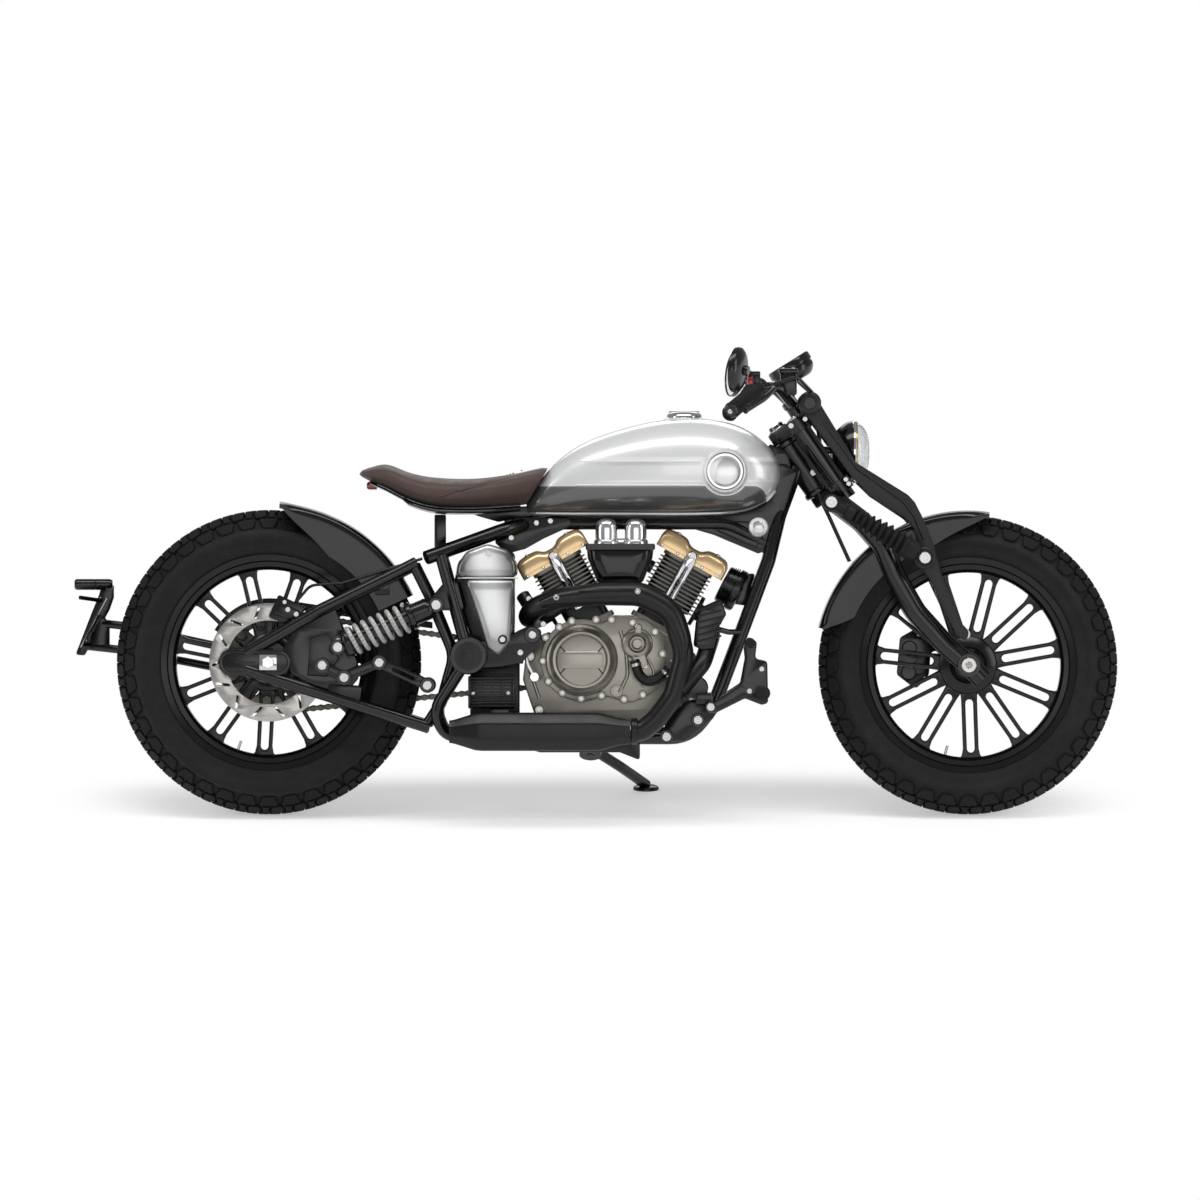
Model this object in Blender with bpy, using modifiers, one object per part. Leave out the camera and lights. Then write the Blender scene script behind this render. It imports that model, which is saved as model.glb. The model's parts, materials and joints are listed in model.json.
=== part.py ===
import bpy
import bmesh
import math
from mathutils import Matrix, Vector

# Bobber motorcycle, metres. The bike is modelled upright: X forward, Y to its left, Z up,
# X zero midway between the axles and Z zero on the floor. One empty then leans it on its stand.

# Stance
LEAN = math.radians(10.0)
SHIFT_X = 0.0503
SHIFT_Y = -0.1648
WHEELBASE = 1.500
TOUCH = 0.0003

# Wheels and tyres
REAR_TYRE_R = 0.327
REAR_TYRE_HALF = 0.075
FRONT_TYRE_R = 0.321
FRONT_TYRE_HALF = 0.065
CROWN_R = 0.075
REAR_BEAD_R = REAR_TYRE_R - 0.1185
FRONT_BEAD_R = FRONT_TYRE_R - 0.1125
RIM_WALL = 0.0105
REAR_RIM_HALF = 0.056
FRONT_RIM_HALF = 0.047
WHEEL_STEPS = 32
SPOKES = 11
SPOKE_HALF = 0.017
SPOKE_BAR = 0.0085
REAR_SPOKE_TURN = math.radians(-177.0)
FRONT_SPOKE_TURN = math.radians(178.0)
HUB_R = 0.062
HUB_END_R = 0.030
AXLE_R = 0.0110
BORE_R = 0.0122
REAR_HUB_HALF = 0.079
FRONT_HUB_HALF = 0.058

# Brakes and drive
DISC_R = 0.127
DISC_INNER_R = 0.090
DISC_Y = -0.0800
DISC_THICK = 0.005
CHAIN_Y = 0.0900
CHAIN_WIDTH = 0.0140
CHAIN_PITCH = 0.0318
CHAIN_WIDE = 0.0075
CHAIN_WAIST = 0.0048
REAR_SPROCKET_R = 0.108
REAR_TEETH = 28
FRONT_SPROCKET_R = 0.040
FRONT_SPROCKET = (-0.170, 0.315)
SPROCKET_THICK = 0.007

# Steering
HEAD_X = 0.3554
HEAD_Z = 0.8061
RAKE = math.radians(34.0)
HEAD_TUBE_R = 0.030
STEM_R = 0.0150
HEAD_TOP = 0.0045
HEAD_BOTTOM = 0.1395
FORK_TUBE_R = 0.018
FORK_TUBE_AHEAD = 0.043
FORK_TUBE_Y = 0.088

# Frame
FRAME_R = 0.015
BACKBONE_R = 0.020
BACKBONE_FRONT = (0.345, 0.768)
BACKBONE_REAR = (-0.200, 0.6285)
CRADLE_Y = 0.100
UPRIGHT_Y = 0.140
SWINGARM_Y = 0.115
SWINGARM_R = 0.014
SWINGARM_IN = SWINGARM_Y - SWINGARM_R
PIVOT = (-0.321, 0.341)
LINK_PIN = (-0.409, 0.278)
MOUNT_Y = 0.139
AXLE_PLATE_Y = 0.127
PAN_THICK = 0.014

# Front end
GIRDER_IN = 0.1260
LEG_IN = 0.0765
LEG_OUT = 0.1235
BAR_R = 0.0115
SWITCH_R = 0.0215
RISER_Y = 0.0745
PAD_TURN = math.radians(126.0)
REAR_PAD_TURN = math.radians(33.5)

# Engine
CRANK = (0.009, 0.2906)
V_HALF = math.radians(29.5)
CASE_HALF = 0.081
DECK = 0.130
FINS = 9
FIN_PITCH = 0.0098
FIN_START = 0.190
FIN_HALF = 0.061
FIN_DEPTH = 0.072
COVER_Y = -0.112

# Stand
STAND_PIVOT = (-0.060, 0.134, 0.142)
STAND_FOOT = (0.060, 0.3000)
STAND_FOLDED = (-0.962, 0.253, -0.101)

collection = bpy.data.collections.new("bobber_motorcycle")
cutters = bpy.data.collections.new("cutters")


def start_scene():
    for old in list(bpy.data.objects):
        bpy.data.objects.remove(old, do_unlink=True)
    bpy.context.scene.collection.children.link(collection)
    bpy.context.scene.collection.children.link(cutters)


def material(name, colour, metallic, roughness):
    made = bpy.data.materials.new(name)
    made.use_nodes = True
    shader = made.node_tree.nodes["Principled BSDF"]
    shader.inputs["Base Color"].default_value = (*colour, 1.0)
    shader.inputs["Metallic"].default_value = metallic
    shader.inputs["Roughness"].default_value = roughness
    made.diffuse_color = (*colour, 1.0)
    return made


def new_object(mesh, name="piece"):
    made = bpy.data.objects.new(name, mesh)
    collection.objects.link(made)
    return made


def as_mesh(obj, weld=1e-5):
    """Evaluated copy of an object as a plain closed mesh."""
    bpy.context.view_layer.update()
    graph = bpy.context.evaluated_depsgraph_get()
    mesh = bpy.data.meshes.new_from_object(obj.evaluated_get(graph))
    work = bmesh.new()
    work.from_mesh(mesh)
    bmesh.ops.remove_doubles(work, verts=work.verts, dist=weld)
    bmesh.ops.transform(work, matrix=obj.matrix_world, verts=work.verts)
    work.to_mesh(mesh)
    work.free()
    made = new_object(mesh)
    bpy.data.objects.remove(obj, do_unlink=True)
    return made


def frame_along(point, direction):
    """Matrix that puts local Z along the direction, from the point."""
    turn = Vector(direction).to_track_quat("Z", "Y").to_matrix().to_4x4()
    return Matrix.Translation(Vector(point)) @ turn


def rounded(points, bend):
    """Route whose sharper inner corners are cut by a short straight or two."""
    corners = [Vector(p) for p in points]
    route = [corners[0]]
    for before, here, after in zip(corners, corners[1:], corners[2:]):
        turn = (here - before).normalized().dot((after - here).normalized())
        if turn > 0.95:
            route.append(here)
            continue
        start = here + (before - here).normalized() * min(bend, 0.45 * (here - before).length)
        end = here + (after - here).normalized() * min(bend, 0.45 * (after - here).length)
        route.append(start)
        if turn < 0.80:
            route.append(start.lerp(end, 0.5).lerp(here, 0.5))
        route.append(end)
    route.append(corners[-1])
    return route


def tube(points, radius, bend=0.04, resolution=None):
    if resolution is None:
        resolution = 2 if radius > 0.0155 else 1
    route = rounded(points, bend) if len(points) > 2 else [Vector(p) for p in points]
    curve = bpy.data.curves.new("tube", "CURVE")
    curve.dimensions = "3D"
    curve.bevel_depth = radius
    curve.bevel_resolution = resolution
    curve.use_fill_caps = True
    spline = curve.splines.new("POLY")
    spline.points.add(len(route) - 1)
    for point, place in zip(spline.points, route):
        point.co = (*place, 1.0)
    return as_mesh(new_object(curve))


def plate(outline, y_low, y_high, holes=()):
    """Flat outline in the XZ plane, as thick as the two Y values are apart."""
    curve = bpy.data.curves.new("plate", "CURVE")
    curve.dimensions = "2D"
    curve.fill_mode = "BOTH"
    curve.extrude = abs(y_high - y_low) / 2
    for loop in (outline, *holes):
        spline = curve.splines.new("POLY")
        spline.use_cyclic_u = True
        spline.points.add(len(loop) - 1)
        for point, (x, z) in zip(spline.points, loop):
            point.co = (x, z, 0.0, 1.0)
    made = new_object(curve)
    made.rotation_euler.x = math.radians(90)
    made.location.y = (y_low + y_high) / 2
    return as_mesh(made)


def turned(profile, point, direction, steps=12, closed=False):
    """Profile of (radius, height) pairs, top first, turned about the direction from the point."""
    mesh = bpy.data.meshes.new("profile")
    verts = [(radius, 0.0, height) for radius, height in profile]
    edges = [(i, i + 1) for i in range(len(verts) - 1)]
    if closed:
        edges.append((len(verts) - 1, 0))
    mesh.from_pydata(verts, edges, [])
    made = new_object(mesh)
    made.matrix_world = frame_along(point, direction)
    screw = made.modifiers.new("turn", "SCREW")
    screw.steps = steps
    screw.render_steps = steps
    screw.use_merge_vertices = True
    screw.merge_threshold = 0.0001
    return as_mesh(made)


def rod(start, end, radius, steps=8):
    start, end = Vector(start), Vector(end)
    length = (end - start).length
    return turned([(0.0, length), (radius, length), (radius, 0.0), (0.0, 0.0)], start, end - start, steps)


def box(low, high, bevel=0.0, turn=None):
    mesh = bpy.data.meshes.new("box")
    work = bmesh.new()
    bmesh.ops.create_cube(work, size=1.0)
    low, high = Vector(low), Vector(high)
    bmesh.ops.scale(work, vec=high - low, verts=work.verts)
    work.to_mesh(mesh)
    work.free()
    made = new_object(mesh)
    if bevel:
        edge = made.modifiers.new("edge", "BEVEL")
        edge.width = bevel
        edge.segments = 2
    made.matrix_world = Matrix.Translation((low + high) / 2) @ (turn or Matrix())
    return as_mesh(made)


def loft(rings):
    """Closed skin over rings of points that all have the same count."""
    work = bmesh.new()
    rows = [[work.verts.new(p) for p in ring] for ring in rings]
    count = len(rows[0])
    for low, high in zip(rows, rows[1:]):
        for i in range(count):
            work.faces.new((low[i], low[(i + 1) % count], high[(i + 1) % count], high[i]))
    work.faces.new(list(reversed(rows[0])))
    work.faces.new(rows[-1])
    bmesh.ops.recalc_face_normals(work, faces=work.faces)
    mesh = bpy.data.meshes.new("loft")
    work.to_mesh(mesh)
    work.free()
    return new_object(mesh)


def oval(count, power):
    """Unit superellipse, points counted from the +first axis."""
    ring = []
    for i in range(count):
        angle = 2 * math.pi * i / count
        c, s = math.cos(angle), math.sin(angle)
        ring.append((math.copysign(abs(c) ** (2 / power), c), math.copysign(abs(s) ** (2 / power), s)))
    return ring


def combine(operation, base, others, solver="EXACT"):
    for other in others:
        step = base.modifiers.new("join", "BOOLEAN")
        step.operation = operation
        step.solver = solver
        step.object = other
        cutters.objects.link(other)
        collection.objects.unlink(other)
        other.hide_render = True
        other.display_type = "WIRE"
    made = as_mesh(base, 1e-6)
    work = bmesh.new()
    work.from_mesh(made.data)
    bmesh.ops.dissolve_limit(work, angle_limit=math.radians(0.3), verts=work.verts, edges=work.edges)
    work.to_mesh(made.data)
    work.free()
    for other in others:
        bpy.data.objects.remove(other, do_unlink=True)
    return made


def fuse(pieces, solver="EXACT"):
    return combine("UNION", pieces[0], pieces[1:], solver) if len(pieces) > 1 else pieces[0]


def cut(base, tools):
    return combine("DIFFERENCE", base, tools)


def keep(name, obj, finish, holder):
    """Names a finished piece, gives it its material and hangs it on its body's empty."""
    body, place = holder
    obj.name = name
    obj.data.name = name
    obj.data.materials.clear()
    obj.data.materials.append(finish)
    obj.data.shade_smooth()
    obj.data.set_sharp_from_angle(angle=math.radians(35))
    obj.parent = body
    obj.matrix_parent_inverse = place.inverted()
    return obj


def on_steering(down, ahead=0.0, y=0.0):
    """Point measured down the steering axis and square ahead of it."""
    sine, cosine = math.sin(RAKE), math.cos(RAKE)
    return (HEAD_X + down * sine + ahead * cosine, y, HEAD_Z - down * cosine + ahead * sine)


def arc(centre, radius, start, end, steps):
    """Points on a circle in the XZ plane, angles in degrees from +X."""
    points = []
    for i in range(steps + 1):
        angle = math.radians(start + (end - start) * i / steps)
        points.append((centre[0] + radius * math.cos(angle), centre[1] + radius * math.sin(angle)))
    return points


# Materials
def make_materials():
    return {
        "black": material("satin_black", (0.035, 0.035, 0.036), 0.4, 0.42),
        "gloss": material("gloss_black", (0.012, 0.012, 0.013), 0.2, 0.12),
        "rubber": material("rubber", (0.018, 0.018, 0.018), 0.0, 0.75),
        "silver": material("silver_paint", (0.62, 0.62, 0.61), 0.5, 0.25),
        "leather": material("brown_leather", (0.095, 0.055, 0.045), 0.0, 0.55),
        "gold": material("gold_covers", (0.62, 0.42, 0.20), 0.8, 0.33),
        "alloy": material("cast_alloy", (0.33, 0.31, 0.28), 0.8, 0.42),
        "chrome": material("chrome", (0.75, 0.75, 0.76), 1.0, 0.08),
        "steel": material("steel", (0.48, 0.46, 0.44), 1.0, 0.30),
        "spring": material("spring_enamel", (0.62, 0.62, 0.61), 0.0, 0.35),
        "glass": material("lamp_glass", (0.80, 0.83, 0.85), 0.0, 0.05),
    }


# Tyres and wheels
def tyre(axle_x, radius, bead, half, rim_half):
    core = radius - CROWN_R
    # the flats of the turned crown touch the floor, so its corners stand out by this share
    grow = 1 / math.cos(math.pi / WHEEL_STEPS)
    crown = [((core + CROWN_R * math.cos(turn)) * grow, CROWN_R * math.sin(turn))
             for turn in (4.6 * LEAN, 2.8 * LEAN, LEAN, 0.0)]
    # radius, half width
    side = [(bead + 0.51 * (radius - bead), half), (bead + 0.0275, rim_half + 0.010),
            (bead + 0.0195, rim_half + 0.0015), (bead + 0.0108, rim_half - 0.0064),
            (bead + TOUCH, rim_half - 0.0106)]
    upper = list(reversed(side)) + crown
    lower = [(r, -y) for r, y in reversed(upper[:-1])]
    flat = math.radians(90) - math.pi / WHEEL_STEPS
    made = turned(upper + lower, (0, 0, 0), (0, 0, 1), WHEEL_STEPS, closed=True)
    return seat_wheel(made, axle_x, radius, flat)


def seat_wheel(made, axle_x, axle_z, phase):
    """Turns a piece made about Z so that its axis lies along Y and a facet faces the floor."""
    matrix = Matrix.Translation((axle_x, 0, axle_z)) @ Matrix.Rotation(math.radians(-90), 4, "X")
    made.data.transform(matrix @ Matrix.Rotation(phase, 4, "Z"))
    return made


def cast_wheel(axle_x, axle_z, bead, rim_half, hub_half, spoke_turn):
    flat = math.radians(90) - math.pi / WHEEL_STEPS
    inner = bead - RIM_WALL
    profile = [(inner + 0.001, rim_half), (bead + 0.0105, rim_half), (bead, rim_half - 0.0100)]
    profile += [(r, -y) for r, y in reversed(profile)]
    rim = seat_wheel(turned(profile, (0, 0, 0), (0, 0, 1), WHEEL_STEPS, closed=True), axle_x, axle_z, flat)
    neck = hub_half - 0.009
    hub_profile = [(BORE_R, hub_half), (HUB_END_R, hub_half), (HUB_END_R, neck), (HUB_R, 0.024)]
    hub_profile += [(r, -y) for r, y in reversed(hub_profile)]
    hub = seat_wheel(turned(hub_profile, (0, 0, 0), (0, 0, 1), 12, closed=True), axle_x, axle_z, 0.0)
    return fuse([rim, hub, spoke_plate(axle_x, axle_z, inner, spoke_turn)])


def spoke_plate(axle_x, axle_z, rim_inner, spoke_turn):
    """One plate whose windows leave two bars for each of the spokes."""
    middle = (axle_x, axle_z)
    pitch = 2 * math.pi / SPOKES

    def polar(radius, angle, across=0.0):
        # angle clockwise from straight up, across square to the spoke
        s, c = math.sin(angle), math.cos(angle)
        return (middle[0] + radius * s + across * c, middle[1] + radius * c - across * s)

    root, tip = HUB_R - 0.004, rim_inner + 0.0025
    outer = [polar(tip + 0.004, 2 * math.pi * i / 22) for i in range(22)]
    windows = []
    for k in range(SPOKES):
        here = spoke_turn + k * pitch
        after = here + pitch
        inside = SPOKE_HALF - SPOKE_BAR
        windows.append([polar(root + 0.010, here, inside), polar(root + 0.010, here, -inside),
                        polar(tip - 0.014, here, -inside), polar(tip - 0.014, here, inside)])
        side = math.asin(SPOKE_HALF / tip)
        windows.append([polar(root + 0.012, here, SPOKE_HALF), polar(tip - 0.014, here, SPOKE_HALF),
                        polar(tip - 0.004, here + side + 0.05), polar(tip - 0.004, after - side - 0.05),
                        polar(tip - 0.014, after, -SPOKE_HALF), polar(root + 0.012, after, -SPOKE_HALF)])
    bore = [polar(0.028, 2 * math.pi * i / 8) for i in range(8)]
    return plate(outer, -0.013, 0.013, windows + [bore])


def disc(axle_x, axle_z):
    """Brake ring on five arms, with its carrier round the hub's end."""
    middle = (axle_x, axle_z)
    half = DISC_THICK / 2
    windows = []
    for k in range(5):
        here = 72 * k
        outer = arc(middle, DISC_INNER_R, here + 10, here + 62, 4)
        windows.append(outer + arc(middle, 0.052, here + 54, here + 18, 2))
    ring = plate(arc(middle, DISC_R, 0, 350, 35), DISC_Y - half, DISC_Y + half,
                 windows + [arc(middle, 0.038, 0, 315, 7)])
    bore = HUB_END_R + 0.0005
    carrier = turned([(bore, 0.0020), (0.046, 0.0020), (0.046, -0.0090), (bore, -0.0090)],
                     (axle_x, DISC_Y, axle_z), (0, -1, 0), 12, closed=True)
    return fuse([ring, carrier])


def sprocket(axle_x, axle_z):
    tip = REAR_SPROCKET_R - CHAIN_WIDE - 0.0020
    outline = []
    for i in range(REAR_TEETH):
        for share, radius in ((0.0, tip - 0.006), (0.5, tip)):
            angle = 2 * math.pi * (i + share) / REAR_TEETH
            outline.append((axle_x + radius * math.cos(angle), axle_z + radius * math.sin(angle)))
    # holes between the carrier and the teeth
    ring, hole = (tip + 0.040) / 2, 0.23 * (tip - 0.046)
    lightening = [arc((axle_x + ring * math.cos(a), axle_z + ring * math.sin(a)), hole, 0, 300, 5)
                  for a in (2 * math.pi * k / 6 for k in range(6))]
    half = SPROCKET_THICK / 2
    middle = arc((axle_x, axle_z), 0.038, 0, 315, 7)
    wheel = plate(outline, CHAIN_Y - half, CHAIN_Y + half, lightening + [middle])
    bore = HUB_END_R + 0.0005
    carrier = turned([(bore, 0.0025), (0.046, 0.0025), (0.046, -0.0190), (bore, -0.0190)],
                     (axle_x, CHAIN_Y, axle_z), (0, 1, 0), 12, closed=True)
    return fuse([wheel, carrier], "MANIFOLD")


def chain():
    """One fixed loop of links round both sprockets, wide at each pin and narrow between pins."""
    rear = Vector((-WHEELBASE / 2, REAR_TYRE_R))
    front = Vector(FRONT_SPROCKET)
    span = front - rear
    lift = math.acos((REAR_SPROCKET_R - FRONT_SPROCKET_R) / span.length)
    heading = math.atan2(span.y, span.x)
    top, bottom = heading + lift, heading - lift
    straight = span.length * math.sin(lift)
    rear_turn = 2 * math.pi - 2 * lift
    front_turn = 2 * lift
    total = 2 * straight + REAR_SPROCKET_R * rear_turn + FRONT_SPROCKET_R * front_turn
    links = round(total / CHAIN_PITCH)

    def at(distance):
        distance %= total
        if distance < REAR_SPROCKET_R * rear_turn:
            angle = top + distance / REAR_SPROCKET_R
            out = Vector((math.cos(angle), math.sin(angle)))
            return rear + REAR_SPROCKET_R * out, out
        distance -= REAR_SPROCKET_R * rear_turn
        out = Vector((math.cos(bottom), math.sin(bottom)))
        along = Vector((-out.y, out.x))
        if distance < straight:
            return rear + REAR_SPROCKET_R * out + along * distance, out
        distance -= straight
        if distance < FRONT_SPROCKET_R * front_turn:
            angle = bottom + distance / FRONT_SPROCKET_R
            out = Vector((math.cos(angle), math.sin(angle)))
            return front + FRONT_SPROCKET_R * out, out
        distance -= FRONT_SPROCKET_R * front_turn
        out = Vector((math.cos(top), math.sin(top)))
        along = Vector((-out.y, out.x))
        return front + FRONT_SPROCKET_R * out + along * distance, out

    outer, inner = [], []
    for i in range(2 * links):
        place, out = at(total * i / (2 * links))
        half = CHAIN_WIDE if i % 2 == 0 else CHAIN_WAIST
        outer.append(tuple(place + out * half))
        inner.append(tuple(place - out * half))
    return plate(outer, CHAIN_Y - CHAIN_WIDTH / 2, CHAIN_Y + CHAIN_WIDTH / 2, [inner])


# Frame and swingarm
def build_frame():
    pieces = [tube([(x, 0, z) for x, z in (BACKBONE_FRONT, BACKBONE_REAR)], BACKBONE_R)]
    pieces.append(turned([(0.0, HEAD_BOTTOM - HEAD_TOP), (HEAD_TUBE_R, HEAD_BOTTOM - HEAD_TOP),
                          (HEAD_TUBE_R, 0.0), (0.0, 0.0)], on_steering(HEAD_BOTTOM),
                         Vector(on_steering(0)) - Vector(on_steering(1)), 16))
    for s in (-1, 1):
        cradle = [(0.385, s * 0.012, 0.750), (0.345, s * 0.038, 0.640), (0.322, s * 0.058, 0.545),
                  (0.250, s * 0.088, 0.353), (0.205, s * CRADLE_Y, 0.235), (0.152, s * CRADLE_Y, 0.166),
                  (-0.300, s * CRADLE_Y, 0.167), (-0.342, s * 0.104, 0.168)]
        pieces.append(tube(cradle, FRAME_R, bend=0.030))
        rail = [(-0.180, s * 0.010, 0.624), (-0.120, s * 0.024, 0.6235), (0.235, s * 0.048, 0.6235),
                (0.322, s * 0.040, 0.580)]
        pieces.append(tube(rail, 0.012))
        pieces.append(tube([(-0.185, s * 0.010, 0.624), (-0.235, s * 0.070, 0.615),
                            (-0.412, s * UPRIGHT_Y, 0.551)], FRAME_R))
        upright = [(-0.380, s * 0.136, 0.556), (PIVOT[0], s * UPRIGHT_Y, PIVOT[1]),
                   (-0.394, s * 0.1450, 0.225), (-0.372, s * 0.132, 0.172), (-0.328, s * 0.106, 0.168)]
        pieces.append(tube(upright, 0.0135, bend=0.02))
        pieces.append(turned([(0.0, 0.030), (0.036, 0.030), (0.040, 0.026), (0.040, 0.0), (0.0, 0.0)],
                             (PIVOT[0], s * 0.130, PIVOT[1]), (0, s, 0), 12))
        mount = [(-0.345, 0.312), (-0.250, 0.318), (-0.205, 0.328), (-0.168, 0.368), (-0.165, 0.395),
                 (-0.185, 0.408), (-0.215, 0.395), (-0.250, 0.372), (-0.345, 0.374)]
        pieces.append(plate(mount, *sorted((s * 0.131, s * MOUNT_Y))))
        pieces.append(rod((-0.184, s * (CASE_HALF + TOUCH), 0.386), (-0.184, s * 0.142, 0.386), 0.016))
        bracket = [(-0.345, 0.500), (-0.372, 0.500), (-0.404, 0.462), (-0.404, 0.438), (-0.350, 0.438),
                   (-0.330, 0.440)]
        pieces.append(plate(bracket, *sorted((s * 0.140, s * 0.146))))
        belly = [(-0.222, 0.149), (-0.168, 0.134), (0.003, 0.134), (0.046, 0.117), (0.046, 0.160),
                 (-0.222, 0.160)]
        pieces.append(plate(belly, *sorted((s * 0.095, s * 0.101))))
    for x, z, half in ((-0.230, 0.615, 0.070), (-0.385, 0.562, 0.120)):
        pieces.append(rod((x, -half, z), (x, half, z), 0.011, 6))
    # posts under the seat's pan: rear x, front x, x where the pan hangs lowest
    for rear, front, lowest in ((-0.245, -0.222, -0.245), (-0.395, -0.370, -0.370)):
        top = seat_low(lowest) - PAN_THICK - 2 * TOUCH
        pieces.append(box((rear, -0.020, top - 0.080 if rear < -0.3 else top - 0.030), (front, 0.020, top)))
    for x in (-0.110, 0.090):
        pieces.append(box((x - 0.018, -CRADLE_Y, 0.160), (x + 0.018, CRADLE_Y, 0.1877)))
    gusset = [(0.175, 0.622), (0.322, 0.556), (0.352, 0.640), (0.388, 0.745), (0.362, 0.775),
              (0.345, 0.700), (0.325, 0.664), (0.287, 0.640), (0.200, 0.630)]
    pieces.append(plate(gusset, -0.050, 0.050))
    pieces += build_stand_mount()
    made = fuse(pieces)
    bore = rod(on_steering(-0.03), on_steering(0.18), STEM_R + 0.0012, 12)
    return cut(made, [bore])


def link_bar(start, end, half, y_low, y_high):
    """Flat bar with round ends between two pins in the XZ plane."""
    heading = math.degrees(math.atan2(end[1] - start[1], end[0] - start[0]))
    outline = arc(start, half, heading + 90, heading + 270, 3)
    outline += arc(end, half, heading - 90, heading + 90, 3)
    return plate(outline, y_low, y_high)


def from_axle(ahead, up):
    """Place in the XZ plane given from the rear axle."""
    return (-WHEELBASE / 2 + ahead, REAR_TYRE_R + up)


def from_front_axle(ahead, up):
    return (WHEELBASE / 2 + ahead, FRONT_TYRE_R + up)


def build_swingarm():
    pieces = [rod((-0.345, -SWINGARM_Y, PIVOT[1]), (-0.345, SWINGARM_Y, PIVOT[1]), 0.020, 10)]
    slot = [from_axle(-0.060, -0.012), from_axle(0.022, -0.012), from_axle(0.022, 0.012),
            from_axle(-0.060, 0.012)]
    axle_plate = arc(from_axle(-0.078, 0.0), 0.028, 90, 270, 5)
    axle_plate += arc(from_axle(0.020, 0.0), 0.028, -90, 90, 5)
    gusset = [from_axle(*place) for place in (
        (0.050, -0.024), (0.110, -0.055), (0.165, -0.065), (0.190, -0.037), (0.190, 0.003),
        (0.160, 0.071), (0.142, 0.1200), (0.056, 0.0750), (0.030, 0.024))]
    window = [from_axle(*place) for place in (
        (0.085, -0.027), (0.125, -0.029), (0.150, 0.008), (0.128, 0.063), (0.090, 0.053))]
    pins = (from_axle(0.116, -0.006), from_axle(0.163, -0.032), from_axle(0.238, 0.0), LINK_PIN)
    for s in (-1, 1):
        y = s * SWINGARM_Y
        upper = [(-0.432, 0.540), (-0.469, 0.521), from_axle(0.109, 0.110), from_axle(-0.050, 0.018)]
        lower = [from_axle(-0.050, -0.015), from_axle(0.110, -0.065), (-0.405, 0.188)]
        stay = [(-0.438, y, 0.536), (-0.405, y, 0.470), (-0.352, y, 0.342), (-0.380, y, 0.240),
                (-0.410, y, 0.194)]
        for route in (upper, lower):
            pieces.append(tube([(x, y, z) for x, z in route], SWINGARM_R, bend=0.025))
        pieces.append(tube(stay, 0.012, bend=0.020))
        pieces.append(plate(axle_plate, *sorted((s * 0.1010, s * AXLE_PLATE_Y)), [slot]))
        pieces.append(plate(gusset, *sorted((s * 0.1068, s * 0.1193)), [window]))
        x, z = from_axle(0.150, 0.045)
        pieces.append(rod((x, s * 0.104, z), (x, s * 0.128, z), 0.014))
        for start, end, out in zip(pins, pins[1:], (0.1335, 0.1350, 0.1330)):
            pieces.append(link_bar(start, end, 0.011, *sorted((s * (out - 0.010), s * out))))
        for x, z in pins:
            pieces.append(rod((x, s * 0.1130, z), (x, s * 0.1405, z), 0.0165, 8))
    return fuse(pieces)


# Finned engine
def cylinder_frame(side):
    """Matrix with Z up the cylinder, X forward across it and Y to the left."""
    lean = side * V_HALF
    return Matrix.Translation((CRANK[0], 0, CRANK[1])) @ Matrix.Rotation(lean, 4, "Y")


def rounded_square(half_x, half_y, corner, steps=2):
    ring = []
    for cx, cy, start in ((1, 1, 0), (-1, 1, 90), (-1, -1, 180), (1, -1, 270)):
        for i in range(steps + 1):
            angle = math.radians(start + 90 * i / steps)
            ring.append((cx * (half_x - corner) + corner * math.cos(angle),
                         cy * (half_y - corner) + corner * math.sin(angle)))
    return ring


def build_cylinder(side):
    levels = [(DECK + TOUCH, 0.046, 0.058), (FIN_START - 0.004, 0.046, 0.058)]
    for i in range(FINS):
        base = FIN_START + i * FIN_PITCH
        levels += [(base, 0.050, 0.060), (base + 0.0010, FIN_HALF, FIN_DEPTH),
                   (base + 0.0050, FIN_HALF, FIN_DEPTH)]
    top = FIN_START + FINS * FIN_PITCH
    levels += [(top, 0.050, 0.060), (top + 0.003, 0.058, 0.068), (top + 0.010, 0.058, 0.068)]
    rings = []
    for height, half_x, half_y in levels:
        rings.append([Vector((x, y, height)) for x, y in rounded_square(half_x, half_y, 0.018, 1)])
    made = loft(rings)
    made.data.transform(cylinder_frame(side))
    return made


def build_rocker_cover(side):
    base = FIN_START + FINS * FIN_PITCH + 0.010 + TOUCH
    # place across, height and half length along Y of each section; the saddle is for the pushrod tubes
    sections = ((-0.0780, 0.012, 0.066), (-0.0760, 0.024, 0.072), (-0.0660, 0.037, 0.077),
                (-0.0480, 0.044, 0.078), (-0.0300, 0.042, 0.078), (-0.0150, 0.030, 0.078),
                (0.0, 0.027, 0.078))
    rings = []
    for x, height, half in list(sections) + [(-x, h, w) for x, h, w in reversed(sections[:-1])]:
        outline = [(1.0, 0.0), (1.0, 0.45), (0.93, 0.75), (0.76, 0.95), (0.50, 1.0)]
        outline += [(-a, b) for a, b in reversed(outline)]
        rings.append([Vector((x, half * a, base + height * b)) for a, b in outline])
    made = loft(rings)
    made.data.transform(cylinder_frame(side))
    return made


def build_pushrods(side):
    start, end = DECK + 0.050, 0.300
    pieces = []
    for offset in (-0.013, 0.013):
        pieces.append(rod((offset, -0.090, start), (offset, -0.090, end), 0.0095, 8))
    pieces.append(box((-0.024, -0.101, end - 0.030), (0.024, -0.0786, end + 0.001)))
    pieces.append(box((-0.024, -0.101, start - 0.001), (0.024, -0.083, start + 0.012)))
    made = fuse(pieces)
    made.data.transform(cylinder_frame(side))
    return made


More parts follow.
